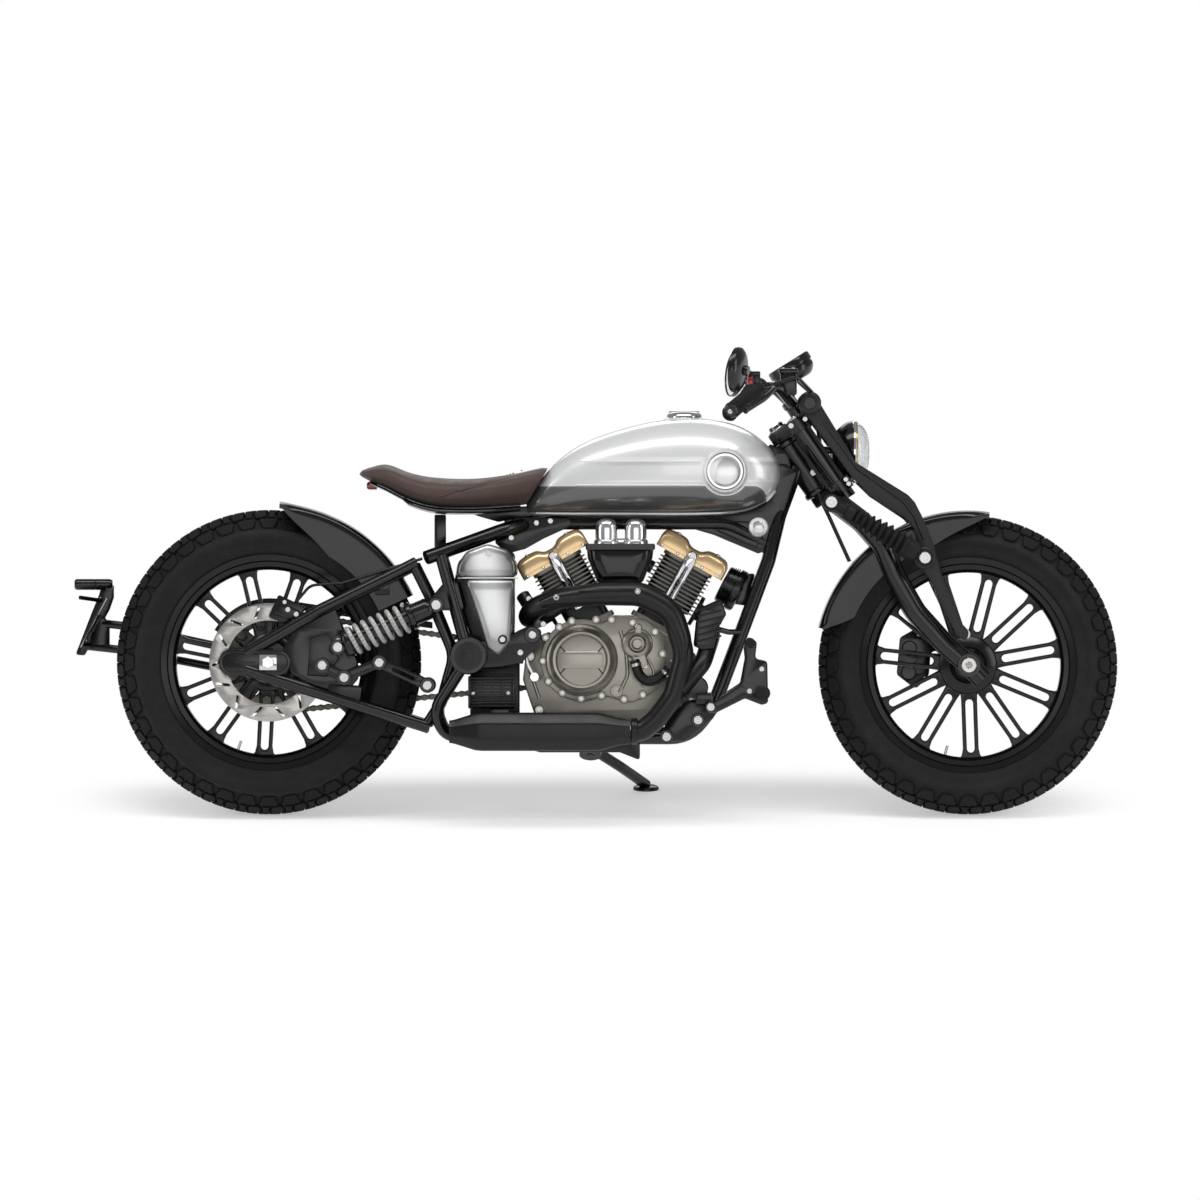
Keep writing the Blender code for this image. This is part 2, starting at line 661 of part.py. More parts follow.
def case_outline():
    """Crankcase outline whose two upper flats are the cylinder decks."""
    points = []
    for side, reach in ((-1, 0.060), (-1, -0.050), (1, -0.050), (1, 0.060)):
        lean = side * V_HALF
        across = side * reach
        points.append((CRANK[0] + DECK * math.sin(lean) + across * math.cos(lean),
                       CRANK[1] + DECK * math.cos(lean) - across * math.sin(lean)))
    return [(-0.195, 0.372), (-0.150, 0.392), *points, (0.165, 0.345), (0.178, 0.290), (0.165, 0.225),
            (0.115, 0.192), (-0.120, 0.1880), (-0.180, 0.215), (-0.205, 0.290)]


def build_crankcase():
    body = plate(case_outline(), -CASE_HALF, CASE_HALF)
    x, z = FRONT_SPROCKET
    across = FRONT_SPROCKET_R - CHAIN_WIDE - 0.0007
    shaft = rod((x, CASE_HALF - 0.01, z), (x, CHAIN_Y + 0.006, z), across, 24)
    return fuse([body, shaft])


def build_right_cover():
    clutch, pump_at = (-0.079, 0.332), (0.040, 0.367)
    outline = arc(clutch, 0.088, 62, 300, 14) + [(0.030, 0.240), (0.085, 0.268), (0.102, 0.330),
                                                 (0.096, 0.388), (0.060, 0.418), (0.005, 0.428)]
    base = plate(outline, COVER_Y, -(CASE_HALF + TOUCH))
    dome = turned([(0.0, 0.040), (0.050, 0.040), (0.062, 0.036), (0.069, 0.026), (0.075, 0.022),
                   (0.078, 0.0), (0.0, 0.0)], (clutch[0], COVER_Y + 0.004, clutch[1]), (0, -1, 0), 20)
    pump = turned([(0.0, 0.034), (0.014, 0.034), (0.018, 0.026), (0.030, 0.023), (0.034, 0.0), (0.0, 0.0)],
                  (pump_at[0], COVER_Y + 0.004, pump_at[1]), (0, -1, 0), 16)
    return fuse([base, dome, pump])


def build_left_cover():
    y0 = CASE_HALF + TOUCH
    outline = arc((0.009, 0.300), 0.085, -100, 100, 12)
    outline += [(-0.070, 0.378), (-0.098, 0.330), (-0.095, 0.250), (-0.060, 0.215)]
    base = plate(outline, y0, y0 + 0.030)
    dome = turned([(0.0, 0.032), (0.050, 0.032), (0.066, 0.022), (0.074, 0.0), (0.0, 0.0)],
                  (0.009, y0 + 0.026, 0.300), (0, 1, 0), 16)
    return fuse([base, dome])


def build_intake_cover():
    outline = [(-0.038, 0.495), (0.045, 0.495), (0.053, 0.500), (0.073, 0.550), (0.077, 0.580),
               (-0.069, 0.580), (-0.066, 0.550), (-0.046, 0.500)]
    body = plate(outline, -0.150, -0.0800)
    edge = body.modifiers.new("edge", "BEVEL")
    edge.width = 0.006
    edge.segments = 1
    edge.limit_method = "ANGLE"
    edge.angle_limit = math.radians(60)
    manifold = plate([(-0.028, 0.508), (0.044, 0.508), (0.060, 0.560), (-0.048, 0.560)], -0.090, -0.010)
    pieces = [as_mesh(body), manifold]
    for side in (-1, 1):
        face = cylinder_frame(side) @ Vector((-side * (FIN_HALF + TOUCH), -0.045, 0.240))
        inward = cylinder_frame(side).to_3x3() @ Vector((-side, 0, 0))
        pieces.append(rod(face, face + inward * 0.030, 0.014))
    return fuse(pieces)


def build_carburettors():
    base = 0.580 + TOUCH
    pieces = []
    for x in (-0.026, 0.0365):
        profile = [(0.0, 0.054), (0.010, 0.053), (0.019, 0.047), (0.0235, 0.036), (0.0235, 0.007),
                   (0.027, 0.005), (0.027, 0.0), (0.0, 0.0)]
        pieces.append(turned(profile, (x, -0.114, base), (0, 0, 1), 14))
    pieces.append(box((-0.020, -0.122, base), (0.030, -0.106, base + 0.012)))
    return fuse(pieces)


def build_exhaust():
    """Rear header sweeps over the engine's right side in a C, the front one joins it low down."""
    y = -0.178
    rear_face, front_face = cylinder_frame(-1), cylinder_frame(1)
    route = [rear_face @ Vector((-(FIN_HALF + TOUCH), -0.020, 0.205)),
             rear_face @ Vector((-(FIN_HALF + 0.038), -0.020, 0.205)),
             (-0.194, -0.090, 0.424), (-0.180, -0.150, 0.444), (-0.130, y, 0.464),
             (-0.040, y, 0.474), (0.046, y, 0.474), (0.112, y, 0.440), (0.141, y, 0.345), (0.118, y, 0.255),
             (0.080, y, 0.205), (0.050, y, 0.180), (0.0256, y, 0.180)]
    rear = tube(route, 0.024, bend=0.030)
    front = tube([front_face @ Vector((FIN_HALF + TOUCH, -0.010, 0.205)),
                  front_face @ Vector((FIN_HALF + 0.034, -0.010, 0.205)),
                  (0.200, -0.090, 0.385), (0.180, -0.145, 0.325), (0.128, y, 0.265)], 0.019, bend=0.030)
    return fuse([rear, front])


def build_muffler():
    # distance back from the front end, half height, half width
    levels = ((0.0, 0.026, 0.028), (0.065, 0.041, 0.046), (0.330, 0.041, 0.046), (0.382, 0.022, 0.026))
    rings = []
    for back, half_z, half_y in levels:
        rings.append([Vector((0.025 - back, -0.180 + half_y * a, 0.179 + half_z * b))
                      for a, b in oval(16, 2.6)])
    return loft(rings)


# Tank, seat and covers
TANK = (  # x, low, high, half width
    (-0.1955, 0.6450, 0.6710, 0.040), (-0.1830, 0.6405, 0.6930, 0.056), (-0.1640, 0.6400, 0.7220, 0.070),
    (-0.1250, 0.6390, 0.7640, 0.086), (-0.061, 0.6385, 0.804, 0.104), (0.046, 0.638, 0.838, 0.130),
    (0.141, 0.638, 0.851, 0.146), (0.218, 0.641, 0.845, 0.150), (0.277, 0.6490, 0.8255, 0.138),
    (0.321, 0.672, 0.7930, 0.110), (0.341, 0.700, 0.765, 0.074), (0.3485, 0.722, 0.745, 0.040))


def build_tank():
    rings = []
    for x, low, high, half in TANK:
        middle, rise = (low + high) / 2, (high - low) / 2
        rings.append([Vector((x, half * a, middle + rise * b)) for a, b in oval(16, 2.5)])
    pieces = [loft(rings), rod((0.141, 0, 0.830), (0.141, 0, 0.851), 0.037, 16)]
    for s in (-1, 1):
        pieces.append(turned([(0.0, 0.034), (0.040, 0.034), (0.048, 0.028), (0.052, 0.0), (0.0, 0.0)],
                             (0.228, s * 0.120, 0.736), (0, s, 0), 16))
    # channel over the backbone, open below
    slope = (BACKBONE_FRONT[1] - BACKBONE_REAR[1]) / (BACKBONE_FRONT[0] - BACKBONE_REAR[0])
    roof = (BACKBONE_R + TOUCH) * math.sqrt(1 + slope * slope)
    top = [(x, BACKBONE_REAR[1] + (x - BACKBONE_REAR[0]) * slope + roof) for x in (-0.26, 0.42)]
    half = BACKBONE_R + 0.0025
    tunnel = plate([top[0], (top[0][0], 0.50), (top[1][0], 0.50), top[1]], -half, half)
    return cut(fuse(pieces), [tunnel])


SEAT = (  # low x, low z, high x, high z, half width
    (-0.549, 0.724, -0.549, 0.739, 0.085), (-0.533, 0.7155, -0.529, 0.746, 0.110),
    (-0.500, 0.7010, -0.495, 0.751, 0.132), (-0.450, 0.6760, -0.445, 0.733, 0.143),
    (-0.392, 0.6600, -0.390, 0.723, 0.145), (-0.310, 0.6580, -0.308, 0.721, 0.135),
    (-0.250, 0.6610, -0.226, 0.731, 0.112), (-0.210, 0.6640, -0.171, 0.743, 0.092),
    (-0.2030, 0.6650, -0.1580, 0.744, 0.086))


def seat_low(x):
    """Height of the cushion's underside at x."""
    for rear, front in zip(SEAT, SEAT[1:]):
        if rear[0] <= x <= front[0]:
            share = (x - rear[0]) / (front[0] - rear[0])
            return rear[1] + share * (front[1] - rear[1])
    return SEAT[0][1]


def seat_ring(row):
    low_x, low_z, high_x, high_z, half = row
    ring = []
    for a, b in oval(16, 2.8):
        share = (b + 1) / 2
        ring.append(Vector((low_x + (high_x - low_x) * share, half * a, low_z + (high_z - low_z) * share)))
    return ring


def build_seat():
    return loft([seat_ring(row) for row in SEAT])


def build_seat_pan():
    rings = []
    for low_x, low_z, _, _, half in SEAT[1:-1]:
        thick = PAN_THICK if low_z < 0.68 else 0.007
        ring = []
        for a, b in oval(12, 3.0):
            ring.append(Vector((low_x, (half - 0.012) * a, low_z - TOUCH - thick * (1 - b) / 2)))
        rings.append(ring)
    return loft(rings)


def build_box():
    outline = [(-0.330, 0.412), (-0.222, 0.412), (-0.222, 0.560), (-0.250, 0.574), (-0.300, 0.562),
               (-0.338, 0.545), (-0.346, 0.500)]
    return plate(outline, -0.1210, 0.1210)


def build_side_cover(s):
    outline = [(-0.318, 0.506), (-0.289, 0.402), (-0.280, 0.363), (-0.258, 0.342), (-0.238, 0.356),
               (-0.231, 0.378), (-0.228, 0.469), (-0.217, 0.509), (-0.226, 0.545), (-0.252, 0.568),
               (-0.282, 0.578), (-0.318, 0.560), (-0.338, 0.530), (-0.340, 0.512)]
    skin = plate(outline, *sorted((s * (MOUNT_Y + TOUCH), s * 0.1620)))
    back = box((-0.308, min(s * 0.1213, s * 0.1450), 0.440), (-0.242, max(s * 0.1213, s * 0.1450), 0.535))
    return fuse([skin, back])


# Fenders
def fender(axle_x, axle_z, inner_r, half, thick, start, end, skirt, steps):
    """Shell over a tyre: an arched strip, turned about the axle, with walls of one thickness."""
    arch = []
    for y, drop in ((half, skirt), (half, 0.012), (half * 0.86, 0.003), (half * 0.45, 0.0), (0.0, -0.001)):
        arch.append((y, inner_r - drop))
    arch += [(-y, r) for y, r in reversed(arch[:-1])]
    outer = []
    for y, r in arch:
        side = 1 if y > 0 else -1 if y < 0 else 0
        wall = thick if abs(y) >= half - 1e-6 else 0.0
        outer.append((y + side * wall, r + (thick if abs(y) < half - 1e-6 or r > inner_r - 0.02 else 0.0)))
    section = arch + list(reversed(outer))
    rings = []
    for i in range(steps + 1):
        angle = math.radians(start + (end - start) * i / steps)
        rings.append([Vector((axle_x + r * math.cos(angle), y, axle_z + r * math.sin(angle)))
                      for y, r in section])
    return loft(rings)


def build_front_fender():
    shell = fender(WHEELBASE / 2, FRONT_TYRE_R, FRONT_TYRE_R + 0.008, 0.0715, 0.0025, 82, 166, 0.060, 10)
    pads = []
    for s in (-1, 1):
        inner, outer = sorted((s * 0.073, s * (LEG_IN - TOUCH)))
        reach = FRONT_TYRE_R - 0.025
        x, z = from_front_axle(reach * math.cos(PAD_TURN), reach * math.sin(PAD_TURN))
        pads.append(box((x - 0.015, inner, z - 0.012), (x + 0.015, outer, z + 0.012)))
    return fuse([shell] + pads)


def build_rear_fender():
    shell = fender(-WHEELBASE / 2, REAR_TYRE_R, REAR_TYRE_R + 0.012, 0.0815, 0.0025, 25, 86, 0.075, 8)
    pads = []
    for s in (-1, 1):
        inner, outer = sorted((s * 0.083, s * (SWINGARM_IN - TOUCH)))
        reach = REAR_TYRE_R - 0.034
        x, z = from_axle(reach * math.cos(REAR_PAD_TURN), reach * math.sin(REAR_PAD_TURN))
        pads.append(box((x - 0.015, inner, z - 0.0175), (x + 0.015, outer, z + 0.0175)))
    return fuse([shell] + pads)


# Rear brake, axle and shocks
def build_rear_axle():
    x, z = -WHEELBASE / 2, REAR_TYRE_R
    pieces = [rod((x, -0.150, z), (x, 0.150, z), AXLE_R, 10)]
    for s in (-1, 1):
        block = sorted((s * (AXLE_PLATE_Y + TOUCH), s * 0.134))
        pieces.append(box((x - 0.019, block[0], z - 0.017), (x + 0.019, block[1], z + 0.017)))
        pieces.append(rod((x, s * 0.132, z), (x, s * 0.146, z), 0.014, 6))
        pieces.append(rod((x, s * (REAR_HUB_HALF + TOUCH), z), (x, s * 0.1007, z), 0.018, 10))
    return fuse(pieces)


def build_rear_caliper():
    x, z = from_axle(0.0, 0.0)
    turn = Matrix.Rotation(math.radians(25), 4, "Y")
    body = box((x + 0.008, DISC_Y - 0.0207, z + 0.082), (x + 0.072, DISC_Y + 0.0207, z + 0.134), 0.004, turn)
    lug = box((x + 0.038, -(SWINGARM_IN - TOUCH), z + 0.065), (x + 0.066, DISC_Y - 0.0110, z + 0.098))
    slot = rod((x, DISC_Y - 0.0078, z), (x, DISC_Y + 0.0078, z), DISC_R + 0.006, 36)
    return cut(fuse([body, lug]), [slot])


def coil(start, end, turns, radius, wire):
    start, end = Vector(start), Vector(end)
    axis = frame_along(start, end - start)
    length = (end - start).length
    per_turn = 7
    route = []
    count = int(turns * per_turn)
    for i in range(count + 1):
        angle = 2 * math.pi * i / per_turn
        across = (radius * math.cos(angle), radius * math.sin(angle))
        route.append(axis @ Vector((*across, length * i / count)))
    curve = bpy.data.curves.new("coil", "CURVE")
    curve.dimensions = "3D"
    curve.bevel_depth = wire
    curve.bevel_resolution = 0
    curve.use_fill_caps = True
    spline = curve.splines.new("POLY")
    spline.points.add(len(route) - 1)
    for point, place in zip(spline.points, route):
        point.co = (*place, 1.0)
    return as_mesh(new_object(curve))


def build_rear_shock(s):
    y = s * 0.172
    x, z = from_axle(0.150, 0.033)
    top, bottom = Vector((-0.390, y, 0.450)), Vector((x, y, z))
    down = (bottom - top).normalized()
    length = (bottom - top).length
    profile = [(0.0, length), (0.0135, length), (0.0135, length - 0.012), (0.028, length - 0.018),
               (0.028, length - 0.026), (0.016, length - 0.030), (0.016, 0.066), (0.030, 0.064),
               (0.030, 0.054), (0.022, 0.050), (0.022, 0.020), (0.012, 0.012), (0.0, 0.012)]
    body = turned(profile, top, down, 10)
    eyes = [rod((p[0], y - s * 0.012, p[2]), (p[0], y + s * 0.012, p[2]), 0.016) for p in (top, bottom)]
    pins = [rod((top[0], s * 0.1463, top[2]), (top[0], y, top[2]), 0.008, 6),
            rod((bottom[0], s * 0.1283, bottom[2]), (bottom[0], y, bottom[2]), 0.008, 6)]
    spring = coil(top + down * 0.062, top + down * (length - 0.022), 6.5, 0.026, 0.0050)
    return fuse([body] + eyes + pins + [spring])


# Fork and front end
def build_yokes():
    """Stem with its two yokes, bored for the fork tubes, and the bar that carries the girders' tops."""
    up = Vector(on_steering(-1)) - Vector(on_steering(0))
    stem = [(0.0, 0.194), (STEM_R, 0.194), (STEM_R, 0.0), (0.0, 0.0)]
    pieces = [turned(stem, on_steering(0.160), up, 12)]
    # ahead, across
    half_plan = ((-0.026, 0.020), (-0.012, 0.038), (0.018, 0.108), (0.064, 0.108), (0.064, 0.072),
                 (0.030, 0.056))
    plan = list(half_plan) + [(a, -y) for a, y in reversed(half_plan)]
    for top, bottom in ((-0.024, HEAD_TOP - TOUCH), (HEAD_BOTTOM + TOUCH, HEAD_BOTTOM + 0.024)):
        rings = []
        for down in (top, bottom):
            rings.append([Vector(on_steering(down, ahead, y)) for ahead, y in plan])
        pieces.append(loft(rings))
    lug = [(0.378, 0.838), (0.412, 0.826), (0.424, 0.880), (0.409, 0.897), (0.396, 0.884)]
    for s in (-1, 1):
        pieces.append(plate(lug, *sorted((s * 0.090, s * 0.102))))
    pieces.append(rod((0.409, -GIRDER_IN + TOUCH, 0.882), (0.409, GIRDER_IN - TOUCH, 0.882), 0.011))
    made = fuse(pieces)
    bores = []
    for s in (-1, 1):
        ends = [on_steering(down, FORK_TUBE_AHEAD, s * FORK_TUBE_Y) for down in (-0.0242, 0.20)]
        bores.append(rod(*ends, FORK_TUBE_R + TOUCH, 12))
    return cut(made, bores)


def girder_outline():
    return [(0.508, 0.755), (0.619, 0.686), (0.634, 0.670), (0.649, 0.641), (0.676, 0.575),
            (0.690, 0.520), (0.735, 0.410), (0.752, 0.392), (0.744, 0.372), (0.722, 0.385),
            (0.668, 0.500), (0.640, 0.540), (0.6415, 0.582), (0.632, 0.612), (0.614, 0.634),
            (0.540, 0.683), (0.500, 0.722), (0.398, 0.862), (0.392, 0.880), (0.402, 0.898),
            (0.420, 0.898), (0.432, 0.880)]


def build_girder(s):
    body = plate(girder_outline(), *sorted((s * GIRDER_IN, s * 0.1380)))
    caps = [turned([(0.0, 0.024), (0.014, 0.024), (0.024, 0.020), (0.025, 0.0), (0.0, 0.0)],
                   (x, s * 0.1265, z), (0, s, 0), 10) for x, z in ((0.409, 0.882), (0.655, 0.551))]
    return fuse([body] + caps)


def build_wheel_fork():
    """Fork tubes through the yokes, and below them the two curved legs down to the axle."""
    pieces = []
    for s in (-1, 1):
        y = s * 0.1000
        leg = [(0.470, 0.668), (0.523, 0.628), (0.566, 0.579), (0.592, 0.514),
               from_front_axle(-0.113, 0.114), from_front_axle(-0.049, 0.043), from_front_axle(0.0, 0.0),
               from_front_axle(0.030, -0.031)]
        pieces.append(tube([(x, y, z) for x, z in leg], 0.0235, bend=0.02))
        ends = [on_steering(down, FORK_TUBE_AHEAD, s * FORK_TUBE_Y) for down in (-0.0238, 0.182)]
        pieces.append(rod(*ends, FORK_TUBE_R, 12))
        pieces.append(link_bar((0.455, 0.670), (0.487, 0.656), 0.018, *sorted((s * 0.1125, s * LEG_OUT))))
    pieces.append(rod((0.472, -0.100, 0.664), (0.472, 0.100, 0.664), 0.019))
    made = fuse(pieces)
    x, z = from_front_axle(0.0, 0.0)
    hole = rod((x, -0.15, z), (x, 0.15, z), AXLE_R + TOUCH * 2, 10)
    return cut(made, [hole])


def build_front_axle():
    x, z = WHEELBASE / 2, FRONT_TYRE_R
    pieces = [rod((x, -0.138, z), (x, 0.138, z), AXLE_R, 10)]
    for s in (-1, 1):
        pieces.append(rod((x, s * 0.1245, z), (x, s * 0.138, z), 0.018, 6))
        pieces.append(rod((x, s * (FRONT_HUB_HALF + TOUCH), z), (x, s * 0.0755, z), 0.018, 10))
    return fuse(pieces)


def build_front_shock(s):
    y = s * 0.176
    top, bottom = Vector((0.455, y, 0.670)), Vector((0.655, y, 0.551))
    down = (bottom - top).normalized()
    length = (bottom - top).length
    profile = [(0.0, length - 0.014), (0.016, length - 0.018), (0.022, length - 0.030),
               (0.022, length - 0.048)]
    ribs = 7
    start, end = length - 0.050, 0.068
    for i in range(ribs):
        share = i / (ribs - 1)
        wide = 0.029 + (0.0205 - 0.029) * share
        height = start + (end - start) * share
        profile += [(wide, height), (wide - 0.004, height - 0.0055)]
    profile += [(0.0185, 0.056), (0.0185, 0.040), (0.012, 0.034), (0.012, 0.012), (0.0, 0.012)]
    body = turned(profile, top, down, 10)
    eyes = [rod((p[0], y - s * 0.012, p[2]), (p[0], y + s * 0.012, p[2]), 0.018) for p in (top, bottom)]
    pins = [rod((top[0], s * (LEG_OUT + TOUCH), top[2]), (top[0], y, top[2]), 0.010, 6),
            rod((bottom[0], s * 0.1508, bottom[2]), (bottom[0], y, bottom[2]), 0.010, 6)]
    return fuse([body] + eyes + pins)


def build_handlebar():
    half = [(0.372, 0.120, 0.880), (0.340, 0.235, 0.915), (0.300, 0.275, 0.915), (0.238, 0.392, 0.862)]
    bar = [(x, -y, z) for x, y, z in reversed(half)] + [(0.372, 0.0, 0.876)] + half
    pieces = [tube(bar, BAR_R, bend=0.012, resolution=2)]
    for s in (-1, 1):
        # riser on the yoke's clamp
        foot = on_steering(-0.024 - TOUCH, 0.0528, s * RISER_Y)
        pieces.append(rod(foot, on_steering(-0.049, 0.0528, s * RISER_Y), 0.014))
    # brake fluid reservoir on the right
    pieces.append(box((0.3450, -0.2070, 0.8930), (0.3810, -0.1650, 0.9550)))
    return fuse(pieces)


def build_headlamp():
    x, z = 0.500, 0.779
    lamp = turned([(0.0, 0.040), (0.040, 0.036), (0.060, 0.024), (0.068, 0.010), (0.068, -0.004),
                   (0.052, -0.034), (0.030, -0.046), (0.0, -0.046)], (x, 0, z), (1, 0, 0), 20)
    # cross stay between the fork tubes
    stay_at = Vector(on_steering(0.062, 0.049))
    stay = rod(stay_at - Vector((0, FORK_TUBE_Y - FORK_TUBE_R - TOUCH, 0)),
               stay_at + Vector((0, FORK_TUBE_Y - FORK_TUBE_R - TOUCH, 0)), 0.007)
    arm = box((stay_at.x - 0.002, -0.012, stay_at.z - 0.008), (0.470, 0.012, stay_at.z + 0.008))
    return fuse([lamp, stay, arm])


def build_gauge():
    direction = Vector((-0.532, 0, 0.847))
    face = turned([(0.0, 0.040), (0.044, 0.040), (0.050, 0.036), (0.050, 0.018), (0.036, 0.0), (0.0, 0.0)],
                  (0.384, 0.0, 0.937), direction, 16)
    post = rod((0.372, 0, 0.876 + BAR_R + TOUCH), (0.372, 0, 0.950), 0.007)
    return fuse([face, post])


def build_mirror(s):
    direction = Vector((-0.93, 0.30 * s, 0.10)).normalized()
    centre = Vector((0.257, s * 0.430, 0.949))
    profile = [(0.0, 0.012), (0.046, 0.012), (0.050, 0.008), (0.048, 0.0), (0.020, -0.012), (0.0, -0.012)]
    head = turned(profile, centre, direction, 16)
    inner, out = grip_line(s)
    up = (Vector((0, 0, 1)) - out * out.z).normalized()
    perch = inner + out * 0.028
    stem = tube([centre - direction * 0.010, perch + up * 0.044, perch + up * (SWITCH_R - TOUCH)], 0.0055)
    return fuse([head, stem])


def grip_line(s):
    """Inner end of the bar's straight part and the direction out along it."""
    inner, outer = Vector((0.300, s * 0.275, 0.915)), Vector((0.238, s * 0.392, 0.862))
    return inner, (outer - inner).normalized()


def build_grip(s):
    """Switch housing, rubber grip and lever."""
    inner, out = grip_line(s)
    bore = BAR_R + 0.0010
    profile = [(bore, 0.118), (0.0160, 0.118), (0.0160, 0.032), (0.0190, 0.028),
               (0.0190, 0.026), (SWITCH_R, 0.024), (SWITCH_R, -0.004), (bore, -0.004)]
    grip = turned(profile, inner + out * 0.018, out, 10, closed=True)
    fore = Vector((0.86, 0, 0.20)).normalized()
    perch = inner + out * 0.026
    lever = tube([perch + fore * 0.016, perch + fore * 0.052 + out * 0.010,
                  perch + fore * 0.056 + out * 0.060, perch + fore * 0.040 + out * 0.120], 0.0055)
    return fuse([grip, lever])


def build_front_caliper():
    """Caliper with its bracket against the left leg."""
    outline = [from_front_axle(*place) for place in (
        (-0.152, -0.021), (-0.110, -0.053), (-0.082, -0.021), (-0.078, 0.029), (-0.038, 0.031),
        (-0.050, 0.054), (-0.110, 0.079), (-0.145, 0.059))]
    return plate(outline, 0.066, LEG_IN - TOUCH)


def build_oil_cooler():
    """Round cooler between the down tubes, on a cross stay."""
    centre = Vector((0.251, 0.0, 0.482))
    forward = Vector((0.88, 0, -0.47)).normalized()
    core = turned([(0.0, 0.013), (0.040, 0.013), (0.046, 0.006), (0.046, -0.010), (0.0, -0.013)],
                  centre, forward, 16)
    stay = rod((0.294, -0.0552, 0.470), (0.294, 0.0552, 0.470), 0.006)
    arm = rod(centre, (0.294, 0, 0.470), 0.008)
    return fuse([core, stay, arm])


def build_regulator():
    body = box((-0.322, -0.120, 0.228), (-0.221, -0.090, 0.298))
    fins = []
    for i in range(6):
        z = 0.233 + i * 0.011
        fins.append(box((-0.320, -0.129, z), (-0.223, -0.118, z + 0.004)))
    stay = box((-0.275, -0.103, 0.1823), (-0.235, -0.097, 0.235))
    return fuse([body, stay] + fins)


def build_foot_control(s):
    inner, outer = sorted((s * 0.178, s * 0.190))
    outline = [(0.268, 0.372), (0.283, 0.382), (0.296, 0.370), (0.292, 0.335), (0.318, 0.330),
               (0.320, 0.240), (0.306, 0.236), (0.270, 0.250), (0.212, 0.221), (0.192, 0.218),
               (0.185, 0.234), (0.210, 0.248), (0.262, 0.282), (0.272, 0.335)]
    # the cradle's tube is six-sided, so its flat lies inside its radius
    flat = CRADLE_Y + FRAME_R * math.cos(math.pi / 6) + TOUCH
    pieces = [plate(outline, inner, outer), rod((0.197, s * flat, 0.232), (0.197, s * 0.194, 0.232), 0.012)]
    pieces.append(rod((0.282, s * 0.180, 0.368), (0.282, s * 0.240, 0.368), 0.009))
    pieces.append(rod((0.308, s * 0.180, 0.262), (0.308, s * 0.300, 0.262), 0.015))
    return fuse(pieces)


def build_plate_holder():
    """Slanted bar behind the rear tyre, on two arms from the swingarm's left end."""
    y = 0.160
    holder = plate([(-1.110, 0.494), (-1.088, 0.494), (-1.091, 0.462), (-1.101, 0.440), (-1.160, 0.340),
                    (-1.1715, 0.342), (-1.128, 0.440)], y - 0.006, y + 0.006)
    # holder end, bend and front end of each arm as x, z
    routes = (((-1.126, 0.412), (-1.060, 0.404), from_axle(-0.100, 0.031), from_axle(-0.035, 0.023)),
              ((-1.152, 0.362), (-1.060, 0.352), from_axle(-0.100, -0.015), from_axle(-0.035, -0.018)))
    arms = []
    for route in routes:
        places = [(x, across, z) for (x, z), across in zip(route, (y, 0.149, 0.1385, 0.1385))]
        arms.append(tube(places, 0.009, bend=0.02))
    # the board stops short of the bar, so nothing overhangs its rear face; a lug in front joins them
    board = box((-1.140, -0.020, 0.352), (-1.136, 0.153, 0.472))
    lug = box((-1.1365, 0.140, 0.392), (-1.130, 0.158, 0.432))
    slant = Matrix.Rotation(math.radians(28), 4, "Y")
    for made in (board, lug):
        made.data.transform(slant @ Matrix.Translation((1.138, 0, -0.416)))
        made.data.transform(Matrix.Translation((-1.127, 0, 0.416)))
    lamp = rod((-1.171, 0.120, 0.494), (-1.089, 0.120, 0.494), 0.012)
    bar = rod((-1.100, 0.118, 0.487), (-1.100, 0.161, 0.487), 0.007, 6)
    return fuse([holder, board, lug, bar, lamp] + arms)


def build_chain_guard():
    """Band over the rear sprocket and on along the chain's upper run."""
    middle = (-WHEELBASE / 2, REAR_TYRE_R)
    low = REAR_SPROCKET_R + CHAIN_WIDE + 0.004
    outer = [(-0.400, 0.413)] + arc(middle, low + 0.018, 76, 150, 8)
    inner = arc(middle, low, 150, 78, 8) + [(-0.400, 0.399)]
    return plate(outer + inner, 0.0840, SWINGARM_IN - TOUCH)


def stand_foot():
    """Middle of the stand's sole, which lies flat on the floor once the bike leans."""
    lift = CROWN_R * (1 - math.cos(LEAN))
    x, reach = STAND_FOOT
    cosine, sine = math.cos(LEAN), math.sin(LEAN)
    return Vector((x, reach * cosine + lift * sine, reach * sine - lift * cosine))


def build_side_stand():
    pivot, foot = Vector(STAND_PIVOT), stand_foot()
    up = Vector((0, -math.sin(LEAN), math.cos(LEAN)))
    sole = turned([(0.0, 0.008), (0.024, 0.008), (0.028, 0.004), (0.028, 0.0), (0.0, 0.0)], foot, up, 12)
    leg = tube([pivot, pivot.lerp(foot, 0.45) + Vector((0.010, 0, 0)), foot + up * 0.0105], 0.0115)
    axis = stand_axis()
    eye = rod(pivot - axis * 0.012, pivot + axis * 0.012, 0.020, 12)
    made = fuse([leg, sole, eye])
    return cut(made, [rod(pivot - axis * 0.03, pivot + axis * 0.03, 0.0085)])


def stand_axis():
    """Axis square to the leg both when it is down and when it is folded back."""
    down = (stand_foot() - Vector(STAND_PIVOT)).normalized()
    return down.cross(Vector(STAND_FOLDED)).normalized()


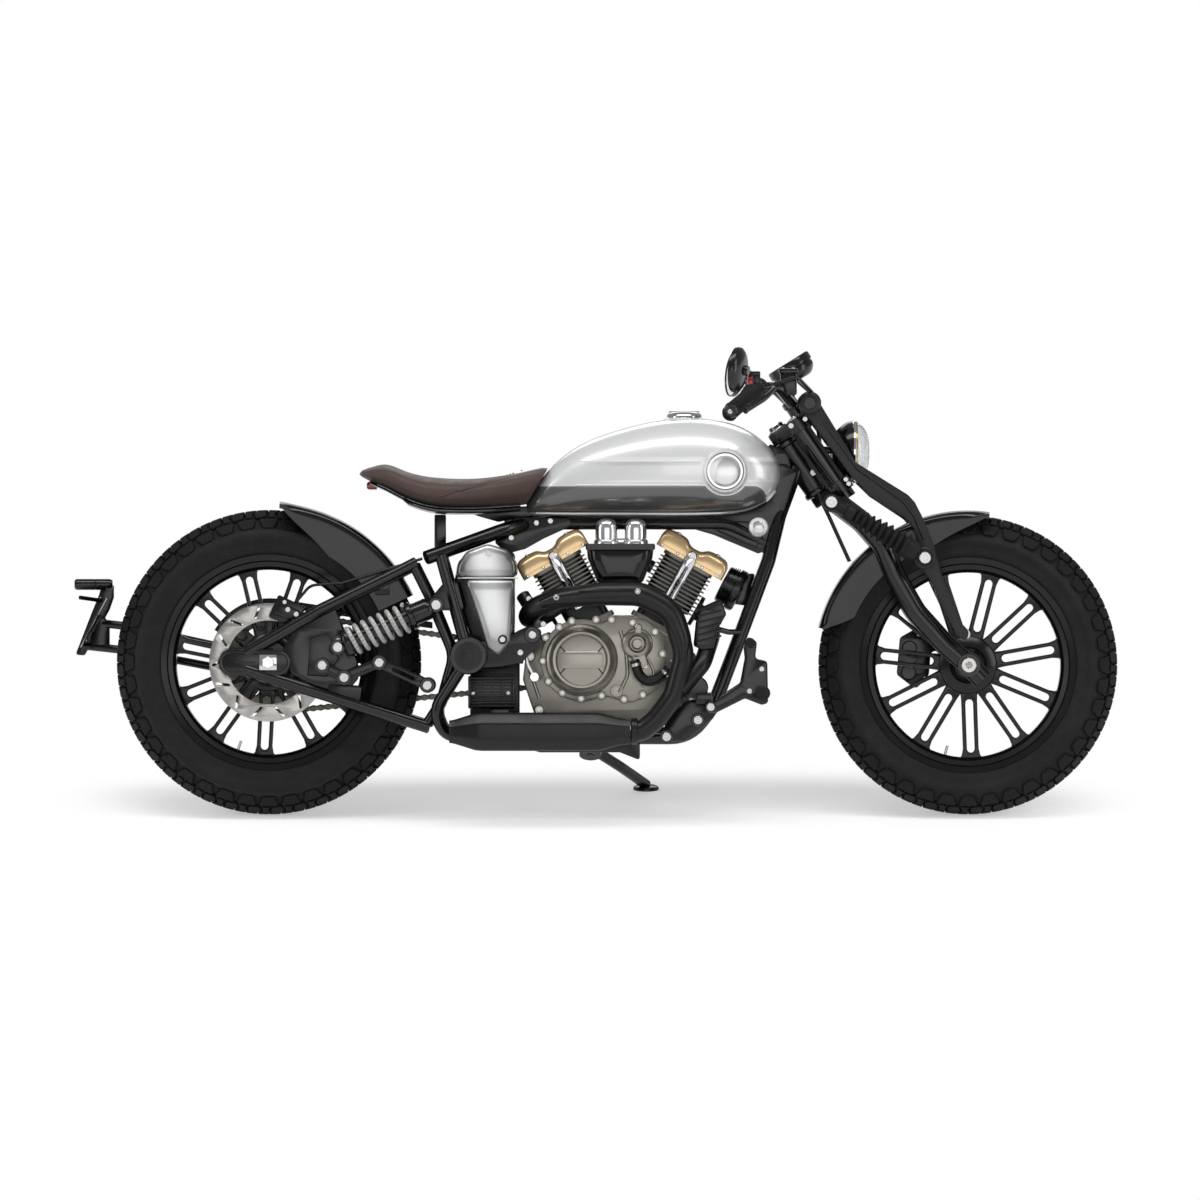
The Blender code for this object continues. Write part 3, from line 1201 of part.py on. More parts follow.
def build_stand_mount():
    """Pin between two ears, on a web from the left rail, that carries the stand."""
    axis = stand_axis()
    pivot = Vector(STAND_PIVOT)
    pin = rod(pivot - axis * 0.020, pivot + axis * 0.020, 0.0075)
    ears = [rod(pivot + axis * 0.0125 * e, pivot + axis * 0.0185 * e, 0.024, 12) for e in (-1, 1)]
    inward = (axis * axis.y - Vector((0, 1, 0))).normalized()
    web = box((0.0215, -0.016, -0.0185), (0.034, 0.016, 0.0185))
    facing = Matrix((inward, axis.cross(inward), axis)).transposed().to_4x4()
    web.data.transform(Matrix.Translation(pivot) @ facing)
    return [pin, web] + ears


def build_fuel_cap():
    return turned([(0.0, 0.014), (0.030, 0.012), (0.037, 0.007), (0.038, 0.0), (0.0, 0.0)],
                  (0.141, 0, 0.851 + TOUCH), (0, 0, 1), 16)


def hang(holders, name, matrix, parent_name):
    """Empty on a joint's axis, given by its matrix in the upright bike's frame."""
    made = bpy.data.objects.new(name, None)
    collection.objects.link(made)
    made.empty_display_size = 0.1
    if parent_name:
        parent, base = holders[parent_name]
        made.parent = parent
        made.matrix_local = base.inverted() @ matrix
    else:
        made.matrix_local = matrix
    return made


def main():
    start_scene()
    look = make_materials()
    lift = CROWN_R * (1 - math.cos(LEAN))
    stance = Matrix.Translation((SHIFT_X, SHIFT_Y, lift)) @ Matrix.Rotation(-LEAN, 4, "X")
    holders = {"bike": (hang({}, "bike", stance, None), Matrix())}
    up_axis = Vector(on_steering(0)) - Vector(on_steering(1))
    places = (("fork", frame_along(on_steering(0), up_axis), "bike"),
              ("front_wheel", frame_along((WHEELBASE / 2, 0, FRONT_TYRE_R), (0, 1, 0)), "fork"),
              ("rear_wheel", frame_along((-WHEELBASE / 2, 0, REAR_TYRE_R), (0, 1, 0)), "bike"),
              ("side_stand_pin", frame_along(STAND_PIVOT, stand_axis()), "bike"))
    for name, matrix, parent_name in places:
        holders[name] = (hang(holders, name, matrix, parent_name), matrix)

    sides = (("right", -1), ("left", 1))
    rear_x, front_x = -WHEELBASE / 2, WHEELBASE / 2
    # holder, name, builder, its values, material
    table = [
        ("bike", "frame", build_frame, (), "black"),
        ("bike", "swingarm", build_swingarm, (), "black"),
        ("bike", "fuel_tank", build_tank, (), "silver"),
        ("bike", "fuel_cap", build_fuel_cap, (), "chrome"),
        ("bike", "seat", build_seat, (), "leather"),
        ("bike", "seat_pan", build_seat_pan, (), "black"),
        ("bike", "rear_fender", build_rear_fender, (), "black"),
        ("bike", "rear_caliper", build_rear_caliper, (), "black"),
        ("bike", "rear_axle", build_rear_axle, (), "chrome"),
        ("bike", "drive_chain", chain, (), "steel"),
        ("bike", "chain_guard", build_chain_guard, (), "black"),
        ("bike", "plate_holder", build_plate_holder, (), "black"),
        ("bike", "crankcase", build_crankcase, (), "alloy"),
        ("bike", "engine_cover_right", build_right_cover, (), "alloy"),
        ("bike", "engine_cover_left", build_left_cover, (), "alloy"),
        ("bike", "cylinder_front", build_cylinder, (1,), "alloy"),
        ("bike", "cylinder_rear", build_cylinder, (-1,), "alloy"),
        ("bike", "rocker_cover_front", build_rocker_cover, (1,), "gold"),
        ("bike", "rocker_cover_rear", build_rocker_cover, (-1,), "gold"),
        ("bike", "pushrod_tubes_front", build_pushrods, (1,), "chrome"),
        ("bike", "pushrod_tubes_rear", build_pushrods, (-1,), "chrome"),
        ("bike", "intake_cover", build_intake_cover, (), "gloss"),
        ("bike", "carburettors", build_carburettors, (), "chrome"),
        ("bike", "exhaust_header", build_exhaust, (), "black"),
        ("bike", "muffler", build_muffler, (), "black"),
        ("bike", "oil_cooler", build_oil_cooler, (), "black"),
        ("bike", "regulator", build_regulator, (), "black"),
        ("bike", "electrics_box", build_box, (), "gloss"),
        ("fork", "fork_yokes", build_yokes, (), "black"),
        ("fork", "wheel_fork", build_wheel_fork, (), "black"),
        ("fork", "front_axle", build_front_axle, (), "steel"),
        ("fork", "front_fender", build_front_fender, (), "black"),
        ("fork", "front_caliper", build_front_caliper, (), "black"),
        ("fork", "handlebar", build_handlebar, (), "black"),
        ("fork", "headlamp", build_headlamp, (), "glass"),
        ("fork", "gauge", build_gauge, (), "black"),
        ("front_wheel", "front_tyre", tyre,
         (front_x, FRONT_TYRE_R, FRONT_BEAD_R, FRONT_TYRE_HALF, FRONT_RIM_HALF), "rubber"),
        ("front_wheel", "front_cast_wheel", cast_wheel,
         (front_x, FRONT_TYRE_R, FRONT_BEAD_R, FRONT_RIM_HALF, FRONT_HUB_HALF, FRONT_SPOKE_TURN), "black"),
        ("rear_wheel", "rear_tyre", tyre,
         (rear_x, REAR_TYRE_R, REAR_BEAD_R, REAR_TYRE_HALF, REAR_RIM_HALF), "rubber"),
        ("rear_wheel", "rear_cast_wheel", cast_wheel,
         (rear_x, REAR_TYRE_R, REAR_BEAD_R, REAR_RIM_HALF, REAR_HUB_HALF, REAR_SPOKE_TURN), "black"),
        ("rear_wheel", "rear_disc", disc, (rear_x, REAR_TYRE_R), "steel"),
        ("rear_wheel", "rear_sprocket", sprocket, (rear_x, REAR_TYRE_R), "steel"),
        ("side_stand_pin", "side_stand", build_side_stand, (), "black"),
    ]
    for side, s in sides:
        table += [
            ("bike", "rear_shock_" + side, build_rear_shock, (s,), "spring"),
            ("bike", "side_cover_" + side, build_side_cover, (s,), "silver"),
            ("bike", "foot_control_" + side, build_foot_control, (s,), "black"),
            ("fork", "girder_" + side, build_girder, (s,), "black"),
            ("fork", "front_shock_" + side, build_front_shock, (s,), "rubber"),
            ("fork", "grip_" + side, build_grip, (s,), "rubber"),
            ("fork", "mirror_" + side, build_mirror, (s,), "black"),
        ]
    for holder, name, builder, values, finish in table:
        keep(name, builder(*values), look[finish], holders[holder])


main()
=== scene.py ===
import json
import math
import bmesh
import bpy
from mathutils import Matrix, Vector


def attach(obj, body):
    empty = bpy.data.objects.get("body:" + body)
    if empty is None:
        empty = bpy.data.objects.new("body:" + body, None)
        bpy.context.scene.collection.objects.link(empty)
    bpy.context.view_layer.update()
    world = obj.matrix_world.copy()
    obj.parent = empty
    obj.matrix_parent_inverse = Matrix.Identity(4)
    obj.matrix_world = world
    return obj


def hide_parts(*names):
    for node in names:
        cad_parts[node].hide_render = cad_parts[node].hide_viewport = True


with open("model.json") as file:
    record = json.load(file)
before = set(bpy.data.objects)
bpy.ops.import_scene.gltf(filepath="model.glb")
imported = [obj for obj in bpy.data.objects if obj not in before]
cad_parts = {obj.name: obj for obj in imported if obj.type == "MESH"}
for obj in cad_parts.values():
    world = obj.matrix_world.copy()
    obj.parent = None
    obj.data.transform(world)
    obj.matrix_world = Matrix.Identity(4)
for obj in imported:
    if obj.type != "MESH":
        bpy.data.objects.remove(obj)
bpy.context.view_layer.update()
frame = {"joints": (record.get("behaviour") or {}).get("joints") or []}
joints = {joint["name"]: joint for joint in frame["joints"]}

# everything is drawn on the upright bike, right side at -Y, and then leans onto its stand
rearAxle, frontAxle = Vector((-0.75, 0, 0.327)), Vector((0.75, 0, 0.321))
steeringTop, rake = (0.3554, 0.8061), math.radians(34)
spinAxis = joints["rear_wheel_spin"]["axis"]
lean = math.atan2(-spinAxis[2], spinAxis[1])
upright = Matrix.Rotation(-lean, 4, "X")
stance = Matrix.Translation(Vector(joints["rear_wheel_spin"]["pos_m"]) - upright @ rearAxle) @ upright
sides = ((-1, "right"), (1, "left"))
print("frame loaded, lean %.1f degrees" % math.degrees(lean))


# Shapes: a shape is a list of points and a list of faces
def fromBmesh(bm):
    bm.verts.index_update()
    shape = ([v.co.copy() for v in bm.verts], [[v.index for v in f.verts] for f in bm.faces])
    bm.free()
    return shape


def toBmesh(shape):
    bm = bmesh.new()
    verts = [bm.verts.new(point) for point in shape[0]]
    for face in shape[1]:
        bm.faces.new([verts[i] for i in face])
    return bm


def fromObject(obj):
    # takes an object's finished mesh and removes the object
    graph = bpy.context.evaluated_depsgraph_get()
    mesh = bpy.data.meshes.new_from_object(obj.evaluated_get(graph), depsgraph=graph)
    bpy.data.objects.remove(obj)
    shape = ([v.co.copy() for v in mesh.vertices], [list(p.vertices) for p in mesh.polygons])
    bpy.data.meshes.remove(mesh)
    return shape


def moved(shape, matrix):
    turnsInsideOut = matrix.determinant() < 0
    return ([matrix @ point for point in shape[0]], [face[::-1] for face in shape[1]] if turnsInsideOut
        else shape[1])


def together(shapes):
    points, faces = [], []
    for shape in shapes:
        start = len(points)
        points += shape[0]
        faces += [[i + start for i in face] for face in shape[1]]
    return points, faces


def loft(rings):
    count = len(rings[0])
    points = [Vector(point) for ring in rings for point in ring]
    faces = []
    for a in range(0, len(points) - count, count):
        faces += [[a + i, a + (i + 1) % count, a + count + (i + 1) % count, a + count + i]
            for i in range(count)]
    faces += [list(range(count))[::-1], list(range(len(points) - count, len(points)))]
    return outward((points, faces))


def outward(shape):
    bm = toBmesh(shape)
    bmesh.ops.remove_doubles(bm, verts=bm.verts, dist=1e-7)
    bmesh.ops.recalc_face_normals(bm, faces=bm.faces)
    return fromBmesh(bm)


def towardsMatrix(at, towards):
    towards = Vector(towards).normalized()
    side = Vector((0, 1, 0)) if abs(towards.y) < 0.9 else Vector((1, 0, 0))
    across = side.cross(towards).normalized()
    turn = Matrix((across, towards.cross(across), towards)).transposed().to_4x4()
    return Matrix.Translation(Vector(at)) @ turn


def turned(profile, at, towards, steps=32, loop=False):
    # profile holds radius and height along the axis; radius 0 closes the end
    place = towardsMatrix(at, towards)
    points, rows = [], []
    for radius, height in profile:
        if radius < 1e-7:
            rows.append([len(points)] * steps)
            points.append(place @ Vector((0, 0, height)))
            continue
        rows.append([len(points) + i for i in range(steps)])
        for i in range(steps):
            angle = 2 * math.pi * i / steps
            points.append(place @ Vector((radius * math.cos(angle), radius * math.sin(angle), height)))
    faces = []
    for k in range(len(rows) if loop else len(rows) - 1):
        low, high = rows[k], rows[(k + 1) % len(rows)]
        for i in range(steps):
            j = (i + 1) % steps
            face = [low[i], low[j], high[j], high[i]]
            face = [v for n, v in enumerate(face) if v not in face[:n]]
            if len(face) > 2:
                faces.append(face)
    return outward((points, faces))


def rod(start, end, radius, steps=24, soft=0.0006):
    start, end = Vector(start), Vector(end)
    length = (end - start).length
    soft = min(soft, radius * 0.4, length * 0.3)
    return turned([(0, 0), (radius - soft, 0), (radius, soft), (radius, length - soft), (radius - soft, length),
        (0, length)], start, end - start, steps)


def sleeve(inner, outer, half, across, along, at, towards, steps):
    # ring about an axis, whose outer edges are cut off across and along it
    return turned([(inner, -half), (outer - across, -half), (outer, along - half), (outer, half - along),
        (outer - across, half), (inner, half)], at, towards, steps, loop=True)


def stud(radius, height, across, along, at, towards, steps):
    # closed round or six-sided end, whose edge is cut off across and along it
    return turned([(0, height), (radius - across, height), (radius, height - along), (radius, 0), (0, 0)], at,
        towards, steps)


def box(low, high, soft=0.0015, turn=None):
    low, high = Vector(low), Vector(high)
    bm = bmesh.new()
    bmesh.ops.create_cube(bm, size=1.0)
    centre, size = (low + high) / 2, high - low
    matrix = Matrix.Translation(centre) @ (turn or Matrix()) @ Matrix.Diagonal((*size, 1))
    bmesh.ops.transform(bm, matrix=matrix, verts=bm.verts)
    if soft:
        bmesh.ops.bevel(bm, geom=list(bm.edges), offset=soft, offset_type="OFFSET", segments=2, profile=0.5,
            affect="EDGES", clamp_overlap=True)
    return fromBmesh(bm)


def sideBox(s, low, high, soft):
    # box given on the left, set on side s
    near, far = sorted((s * low[1], s * high[1]))
    return box((low[0], near, low[2]), (high[0], far, high[2]), soft)


def filleted(points, bend, steps=5, closed=False):
    # replaces each corner by an arc of about the given radius
    points = [Vector(p) for p in points]
    count = len(points)
    result = []
    for i, here in enumerate(points):
        if not closed and i in (0, count - 1):
            result.append(here)
            continue
        before, after = points[i - 1], points[(i + 1) % count]
        a, b = before - here, after - here
        turn = math.pi - a.angle(b)
        if turn < math.radians(4):
            result.append(here)
            continue
        reach = min(bend * math.tan(turn / 2), a.length * 0.49, b.length * 0.49)
        first, last = here + a.normalized() * reach, here + b.normalized() * reach
        arcSteps = max(2, min(steps, int(math.degrees(turn) / 8) + 1))
        for k in range(arcSteps + 1):
            t = k / arcSteps
            result.append(first * (1 - t) ** 2 + here * 2 * t * (1 - t) + last * t ** 2)
    return result


def tube(points, radius, bend=0.03, sides=20, steps=6):
    line = filleted(points, bend, steps)
    rings, normal = [], None
    for i, here in enumerate(line):
        along = (line[min(i + 1, len(line) - 1)] - line[max(i - 1, 0)]).normalized()
        if normal is None:
            normal = along.orthogonal().normalized()
        normal = (normal - along * normal.dot(along)).normalized()
        other = along.cross(normal)
        rings.append([here + (normal * math.cos(2 * math.pi * j / sides)
            + other * math.sin(2 * math.pi * j / sides)) * radius for j in range(sides)])
    return loft(rings)


def rounded(outline, radius, steps):
    # closed outline of pairs with its corners made round
    return [(p.x, p.y) for p in filleted([(*pair, 0) for pair in outline], radius, steps, closed=True)]


def plate(outline, low, high, holes=(), soft=0.0012, rounding=0.0):
    # flat shape in the XZ plane between two depths along Y, with softened edges
    curve = bpy.data.curves.new("outline", "CURVE")
    curve.dimensions = "2D"
    curve.fill_mode = "BOTH"
    low, high = min(low, high), max(low, high)
    soft = min(soft, (high - low) * 0.45)
    curve.extrude = (high - low) / 2 - soft
    curve.bevel_depth = soft
    curve.bevel_resolution = 1
    curve.offset = -soft
    for ring in (outline, *holes):
        if rounding and ring is outline:
            ring = rounded(ring, rounding, 4)
        spline = curve.splines.new("POLY")
        spline.points.add(len(ring) - 1)
        spline.use_cyclic_u = True
        for point, (x, z) in zip(spline.points, ring):
            point.co = (x, z, 0, 1)
    shape = fromObject(newObject("outline", curve))
    bpy.data.curves.remove(curve)
    place = Matrix.Translation((0, (low + high) / 2, 0)) @ Matrix.Rotation(math.radians(90), 4, "X")
    return outward(moved(shape, place))


domeCurve = ((0, 1.0), (0.35, 0.992), (0.6, 0.965), (0.78, 0.915), (0.9, 0.83), (0.965, 0.7), (0.99, 0.52),
    (1.0, 0.28))


def pillow(outline, low, high, rounding, curve=domeCurve):
    # a domed pad over an outline in X and Z, from Y low out to Y high
    points = rounded(outline, rounding, 6)
    cx, cz = [sum(p[k] for p in outline) / len(outline) for k in (0, 1)]
    return loft([[(cx + (x - cx) * shrink, low + (high - low) * share, cz + (z - cz) * shrink) for x,
        z in points] for share, shrink in curve])


def arc(centre, radius, start, end, steps=12):
    return [(centre[0] + radius * math.cos(math.radians(start + (end - start) * i / steps)), centre[1]
        + radius * math.sin(math.radians(start + (end - start) * i / steps))) for i in range(steps + 1)]


def circle(centre, radius, steps=24):
    return arc(centre, radius, 0, 360, steps)[:-1]


def slotOutline(start, end, half, steps=6):
    # long hole with round ends
    heading = math.degrees(math.atan2(end[1] - start[1], end[0] - start[0]))
    return (arc(start, half, heading + 90, heading + 270, steps)
        + arc(end, half, heading - 90, heading + 90, steps))


def oval(count, power):
    # unit superellipse, from the left side round
    ring = []
    for i in range(count):
        angle = 2 * math.pi * i / count
        c, s = math.cos(angle), math.sin(angle)
        ring.append((math.copysign(abs(c) ** (2 / power), c), math.copysign(abs(s) ** (2 / power), s)))
    return ring


def smoothRows(rows, parts):
    # Catmull-Rom between rows of numbers
    result = []
    for i in range(len(rows) - 1):
        p0, p1 = rows[max(i - 1, 0)], rows[i]
        p2, p3 = rows[i + 1], rows[min(i + 2, len(rows) - 1)]
        for k in range(parts):
            t = k / parts
            result.append([0.5 * (2 * b + (c - a) * t + (2 * a - 5 * b + 4 * c - d) * t * t
                + (3 * b - a - 3 * c + d) * t ** 3) for a, b, c, d in zip(p0, p1, p2, p3)])
    return result + [list(rows[-1])]


def onSteering(down, ahead=0.0, y=0.0):
    # point measured down the steering axis from its top and ahead of it
    s, c = math.sin(rake), math.cos(rake)
    return Vector((steeringTop[0] + down * s + ahead * c, y, steeringTop[1] - down * c + ahead * s))


# Geometry Nodes
def treeNode(tree, kind, settings=None, sockets=None):
    made = tree.nodes.new(kind)
    for key, value in (settings or {}).items():
        setattr(made, key, value)
    for key, value in (sockets or {}).items():
        if isinstance(value, bpy.types.NodeSocket):
            tree.links.new(value, made.inputs[key])
        else:
            made.inputs[key].default_value = value
    return made.outputs[0]


def copyTree(name, extra, spread):
    # sets copies of one piece on points; spread adds the points and how each copy is turned and grown
    tree = bpy.data.node_groups.new(name, "GeometryNodeTree")
    for label, kind, way in (("Geometry", "Geometry", "INPUT"), ("Piece", "Object", "INPUT"), *extra,
            ("Material", "Material", "INPUT"), ("Geometry", "Geometry", "OUTPUT")):
        tree.interface.new_socket(label, in_out=way, socket_type="NodeSocket" + kind)
    given, result = tree.nodes.new("NodeGroupInput"), tree.nodes.new("NodeGroupOutput")

    def node(kind, settings=None, **sockets):
        return treeNode(tree, kind, settings, {int(k[1:]) if k[0] == "n" else k: v for k, v in sockets.items()})

    piece = tree.nodes.new("GeometryNodeObjectInfo")
    tree.links.new(given.outputs["Piece"], piece.inputs["Object"])
    copies = node("GeometryNodeInstanceOnPoints", None, Instance=piece.outputs["Geometry"],
        **spread(node, given.outputs))
    painted = node("GeometryNodeSetMaterial", None, n0=node("GeometryNodeRealizeInstances", None, n0=copies),
        Material=given.outputs["Material"])
    tree.links.new(painted, result.inputs[0])
    return tree


def aroundAxle(node, given):
    step = node("ShaderNodeMath", {"operation": "DIVIDE"}, n0=2 * math.pi, n1=given["Count"])
    turn = node("ShaderNodeMath", {"operation": "MULTIPLY_ADD"}, n0=node("GeometryNodeInputIndex"), n1=step,
        n2=given["Start"])
    return {"Points": node("GeometryNodePoints", None, Count=given["Count"]),
        "Rotation": node("ShaderNodeCombineXYZ", None, Y=turn)}


def inRow(node, given):
    offset = node("ShaderNodeVectorMath", {"operation": "SCALE"}, n0=given["Step"],
        Scale=node("GeometryNodeInputIndex"))
    points = node("GeometryNodePoints", None, Count=given["Count"])
    return {"Points": node("GeometryNodeSetPosition", None, Geometry=points, Offset=offset)}


def onGivenSpots(node, given):
    aim = node("GeometryNodeInputNamedAttribute", {"data_type": "FLOAT_VECTOR"}, Name="aim")
    size = node("GeometryNodeInputNamedAttribute", {"data_type": "FLOAT"}, Name="size")
    return {"Points": given[0], "Rotation": node("FunctionNodeAlignRotationToVector", {"axis": "Z"},
        Vector=aim), "Scale": node("ShaderNodeMath", {"operation": "MULTIPLY"}, n0=size, n1=given["Size"])}


ringTree = copyTree("copiesAroundAxle", (("Count", "Int", "INPUT"), ("Start", "Float", "INPUT")), aroundAxle)
rowTree = copyTree("copiesInRow", (("Count", "Int", "INPUT"), ("Step", "Vector", "INPUT")), inRow)
spotTree = copyTree("copiesOnSpots", (("Size", "Float", "INPUT"),), onGivenSpots)


def newObject(name, data):
    obj = bpy.data.objects.new(name, data)
    bpy.context.scene.collection.objects.link(obj)
    return obj


def bareObject(shape):
    mesh = bpy.data.meshes.new("draft")
    mesh.from_pydata(shape[0], [], shape[1])
    return newObject("draft", mesh)


def grown(tree, values, base=None, aims=None):
    # runs a tree on a bare object and returns the shape it makes
    piece = bareObject(values["Piece"])
    holder = bareObject(base or ([], []))
    if aims:
        holder.data.attributes.new("aim", "FLOAT_VECTOR", "POINT").data.foreach_set("vector",
            [number for aim, size in aims for number in aim])
        holder.data.attributes.new("size", "FLOAT", "POINT").data.foreach_set("value", [s for a, s in aims])
    modifier = holder.modifiers.new("copies", "NODES")
    modifier.node_group = tree
    for item in tree.interface.items_tree:
        if item.in_out == "INPUT" and item.name in values:
            modifier[item.identifier] = piece if item.name == "Piece" else values[item.name]
    shape = fromObject(holder)
    bpy.data.objects.remove(piece)
    return shape


def ringOf(shape, count, axle, start=0.0):
    # shape is drawn round the origin; the ring is then set on the axle
    made = grown(ringTree, {"Piece": shape, "Count": count, "Start": start})
    return moved(made, Matrix.Translation(axle))


def rowOf(shape, count, step):
    return grown(rowTree, {"Piece": shape, "Count": count, "Step": step})


def onSpots(shape, spots):
    # spots: place, aim and size of each copy
    base = ([Vector(place) for place, aim, size in spots], [])
    return grown(spotTree, {"Piece": shape, "Size": 1.0}, base, [(tuple(Vector(aim).normalized()), size)
        for place, aim, size in spots])


def boltShape(kind="dome", steps=20):
    # head of radius 1 along +Z
    if kind == "hex":
        head = turned([(0, 0), (1, 0), (1, 0.62), (0.9, 0.72), (0, 0.72)], (0, 0, 0), (0, 0, 1), 6)
        washer = turned([(0, -0.05), (1.25, -0.05), (1.25, 0.12), (0, 0.12)], (0, 0, 0), (0, 0, 1), steps)
        return together([head, washer])
    if kind == "cap":
        profile = [(0, -0.1), (1, -0.1), (1, 0.75), (0.88, 0.86), (0.52, 0.86), (0.5, 0.35), (0, 0.35)]
    else:
        profile = [(0, -0.1), (1, -0.1), (1, 0.12), (0.9, 0.38), (0.7, 0.52), (0.46, 0.56), (0.4, 0.24),
            (0, 0.24)]
    return turned(profile, (0, 0, 0), (0, 0, 1), steps)


def piece(name, shapes, look, body, slotName, stands=(), smooth=36):
    points, faces = together(shapes)
    mesh = bpy.data.meshes.new(name)
    mesh.from_pydata([stance @ Vector(point) for point in points], [], faces)
    mesh.update()
    mesh.polygons.foreach_set("use_smooth", [True] * len(mesh.polygons))
    mesh.set_sharp_from_angle(angle=math.radians(smooth))
    mesh.materials.append(look)
    obj = newObject(name, mesh)
    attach(obj, body)
    if stands:
        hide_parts(*stands)
    return obj


# Materials
class Wire:
    # a node's socket that sums can be written with
    def __init__(self, look, socket):
        self.look, self.socket = look, socket

    def __add__(self, other):
        return self.look.maths("ADD", self, other)

    def __sub__(self, other):
        return self.look.maths("SUBTRACT", self, other)

    def __rsub__(self, other):
        return self.look.maths("SUBTRACT", other, self)

    def __mul__(self, other):
        return self.look.maths("MULTIPLY", self, other)

    __radd__ = __add__
    __rmul__ = __mul__


class Look:
    def __init__(self, name, colour, **sockets):
        self.material = bpy.data.materials.new(name)
        self.material.use_nodes = True
        self.tree = self.material.node_tree
        self.shader = self.tree.nodes["Principled BSDF"]
        self.set("Base Color", (*colour, 1))
        for key, value in sockets.items():
            self.set(key.replace("_", " "), value)
        self.material.diffuse_color = (*colour, 1)

    def set(self, socket, value):
        if isinstance(value, Wire):
            self.tree.links.new(value.socket, self.shader.inputs[socket])
        else:
            self.shader.inputs[socket].default_value = value

    def node(self, kind, settings=None, sockets=None, out=0):
        made = self.tree.nodes.new(kind)
        for key, value in (settings or {}).items():
            setattr(made, key, value)
        for key, value in (sockets or {}).items():
            if isinstance(value, Wire):
                self.tree.links.new(value.socket, made.inputs[key])
            else:
                made.inputs[key].default_value = value
        return Wire(self, made.outputs[out])

    def maths(self, operation, *values):
        return self.node("ShaderNodeMath", {"operation": operation}, dict(enumerate(values)))

    def place(self, shift=(0, 0, 0)):
        # coordinates of the upright bike, less a shift
        at = stance @ Vector(shift)
        where = self.node("ShaderNodeTexCoord", out="Object")
        return self.node("ShaderNodeMapping", {"vector_type": "TEXTURE"}, {"Vector": where, "Location": at,
            "Rotation": (-lean, 0, 0)})

    def parts(self, vector):
        split = self.tree.nodes.new("ShaderNodeSeparateXYZ")
        self.tree.links.new(vector.socket, split.inputs[0])
        return [Wire(self, output) for output in split.outputs]

    def noise(self, scale, detail=2.0, roughness=0.5):
        return self.node("ShaderNodeTexNoise", None, {"Vector": self.place(), "Scale": scale, "Detail": detail,
            "Roughness": roughness}, out="Fac")

    def ease(self, value, low, high, bottom=0.0, top=1.0):
        return self.node("ShaderNodeMapRange", {"interpolation_type": "SMOOTHSTEP"}, {"Value": value,
            "From Min": low, "From Max": high, "To Min": bottom, "To Max": top})

    def mix(self, share, first, second):
        made = self.tree.nodes.new("ShaderNodeMix")
        made.data_type = "RGBA"
        for socket, value in ((made.inputs[0], share), (made.inputs[6], first), (made.inputs[7], second)):
            if isinstance(value, Wire):
                self.tree.links.new(value.socket, socket)
            elif socket.type == "RGBA":
                socket.default_value = (*value, 1)
            else:
                socket.default_value = value
        return Wire(self, made.outputs[2])

    def bump(self, height, strength=0.3, distance=0.001):
        self.set("Normal", self.node("ShaderNodeBump", None, {"Height": height, "Strength": strength,
            "Distance": distance}))


def finish(name, colour, rough, metallic=0.0, grain=0.0, grainScale=900, mottle=0.08, coat=0.0, spread=0.06,
        patchScale=14, **sockets):
    # plain finish with patches, fine variation of its gloss and a cast or moulded grain
    look = Look(name, colour, Metallic=metallic, **sockets)
    patches = look.noise(patchScale, 4.0, 0.6)
    fine = look.noise(260, 3.0, 0.6)
    darker = [c * (1 - mottle) for c in colour]
    lighter = [min(c * (1 + mottle), 1) for c in colour]
    look.set("Base Color", look.mix(look.ease(patches, 0.3, 0.7), darker, lighter))
    look.set("Roughness", look.ease(patches * 0.6 + fine * 0.4, 0.3, 0.7, max(rough - spread, 0.02), rough
        + spread))
    if coat:
        look.set("Coat Weight", coat)
        look.set("Coat Roughness", 0.06)
    if grain:
        look.bump(look.noise(grainScale, 3.0, 0.65), grain, 0.0004)
    return look.material


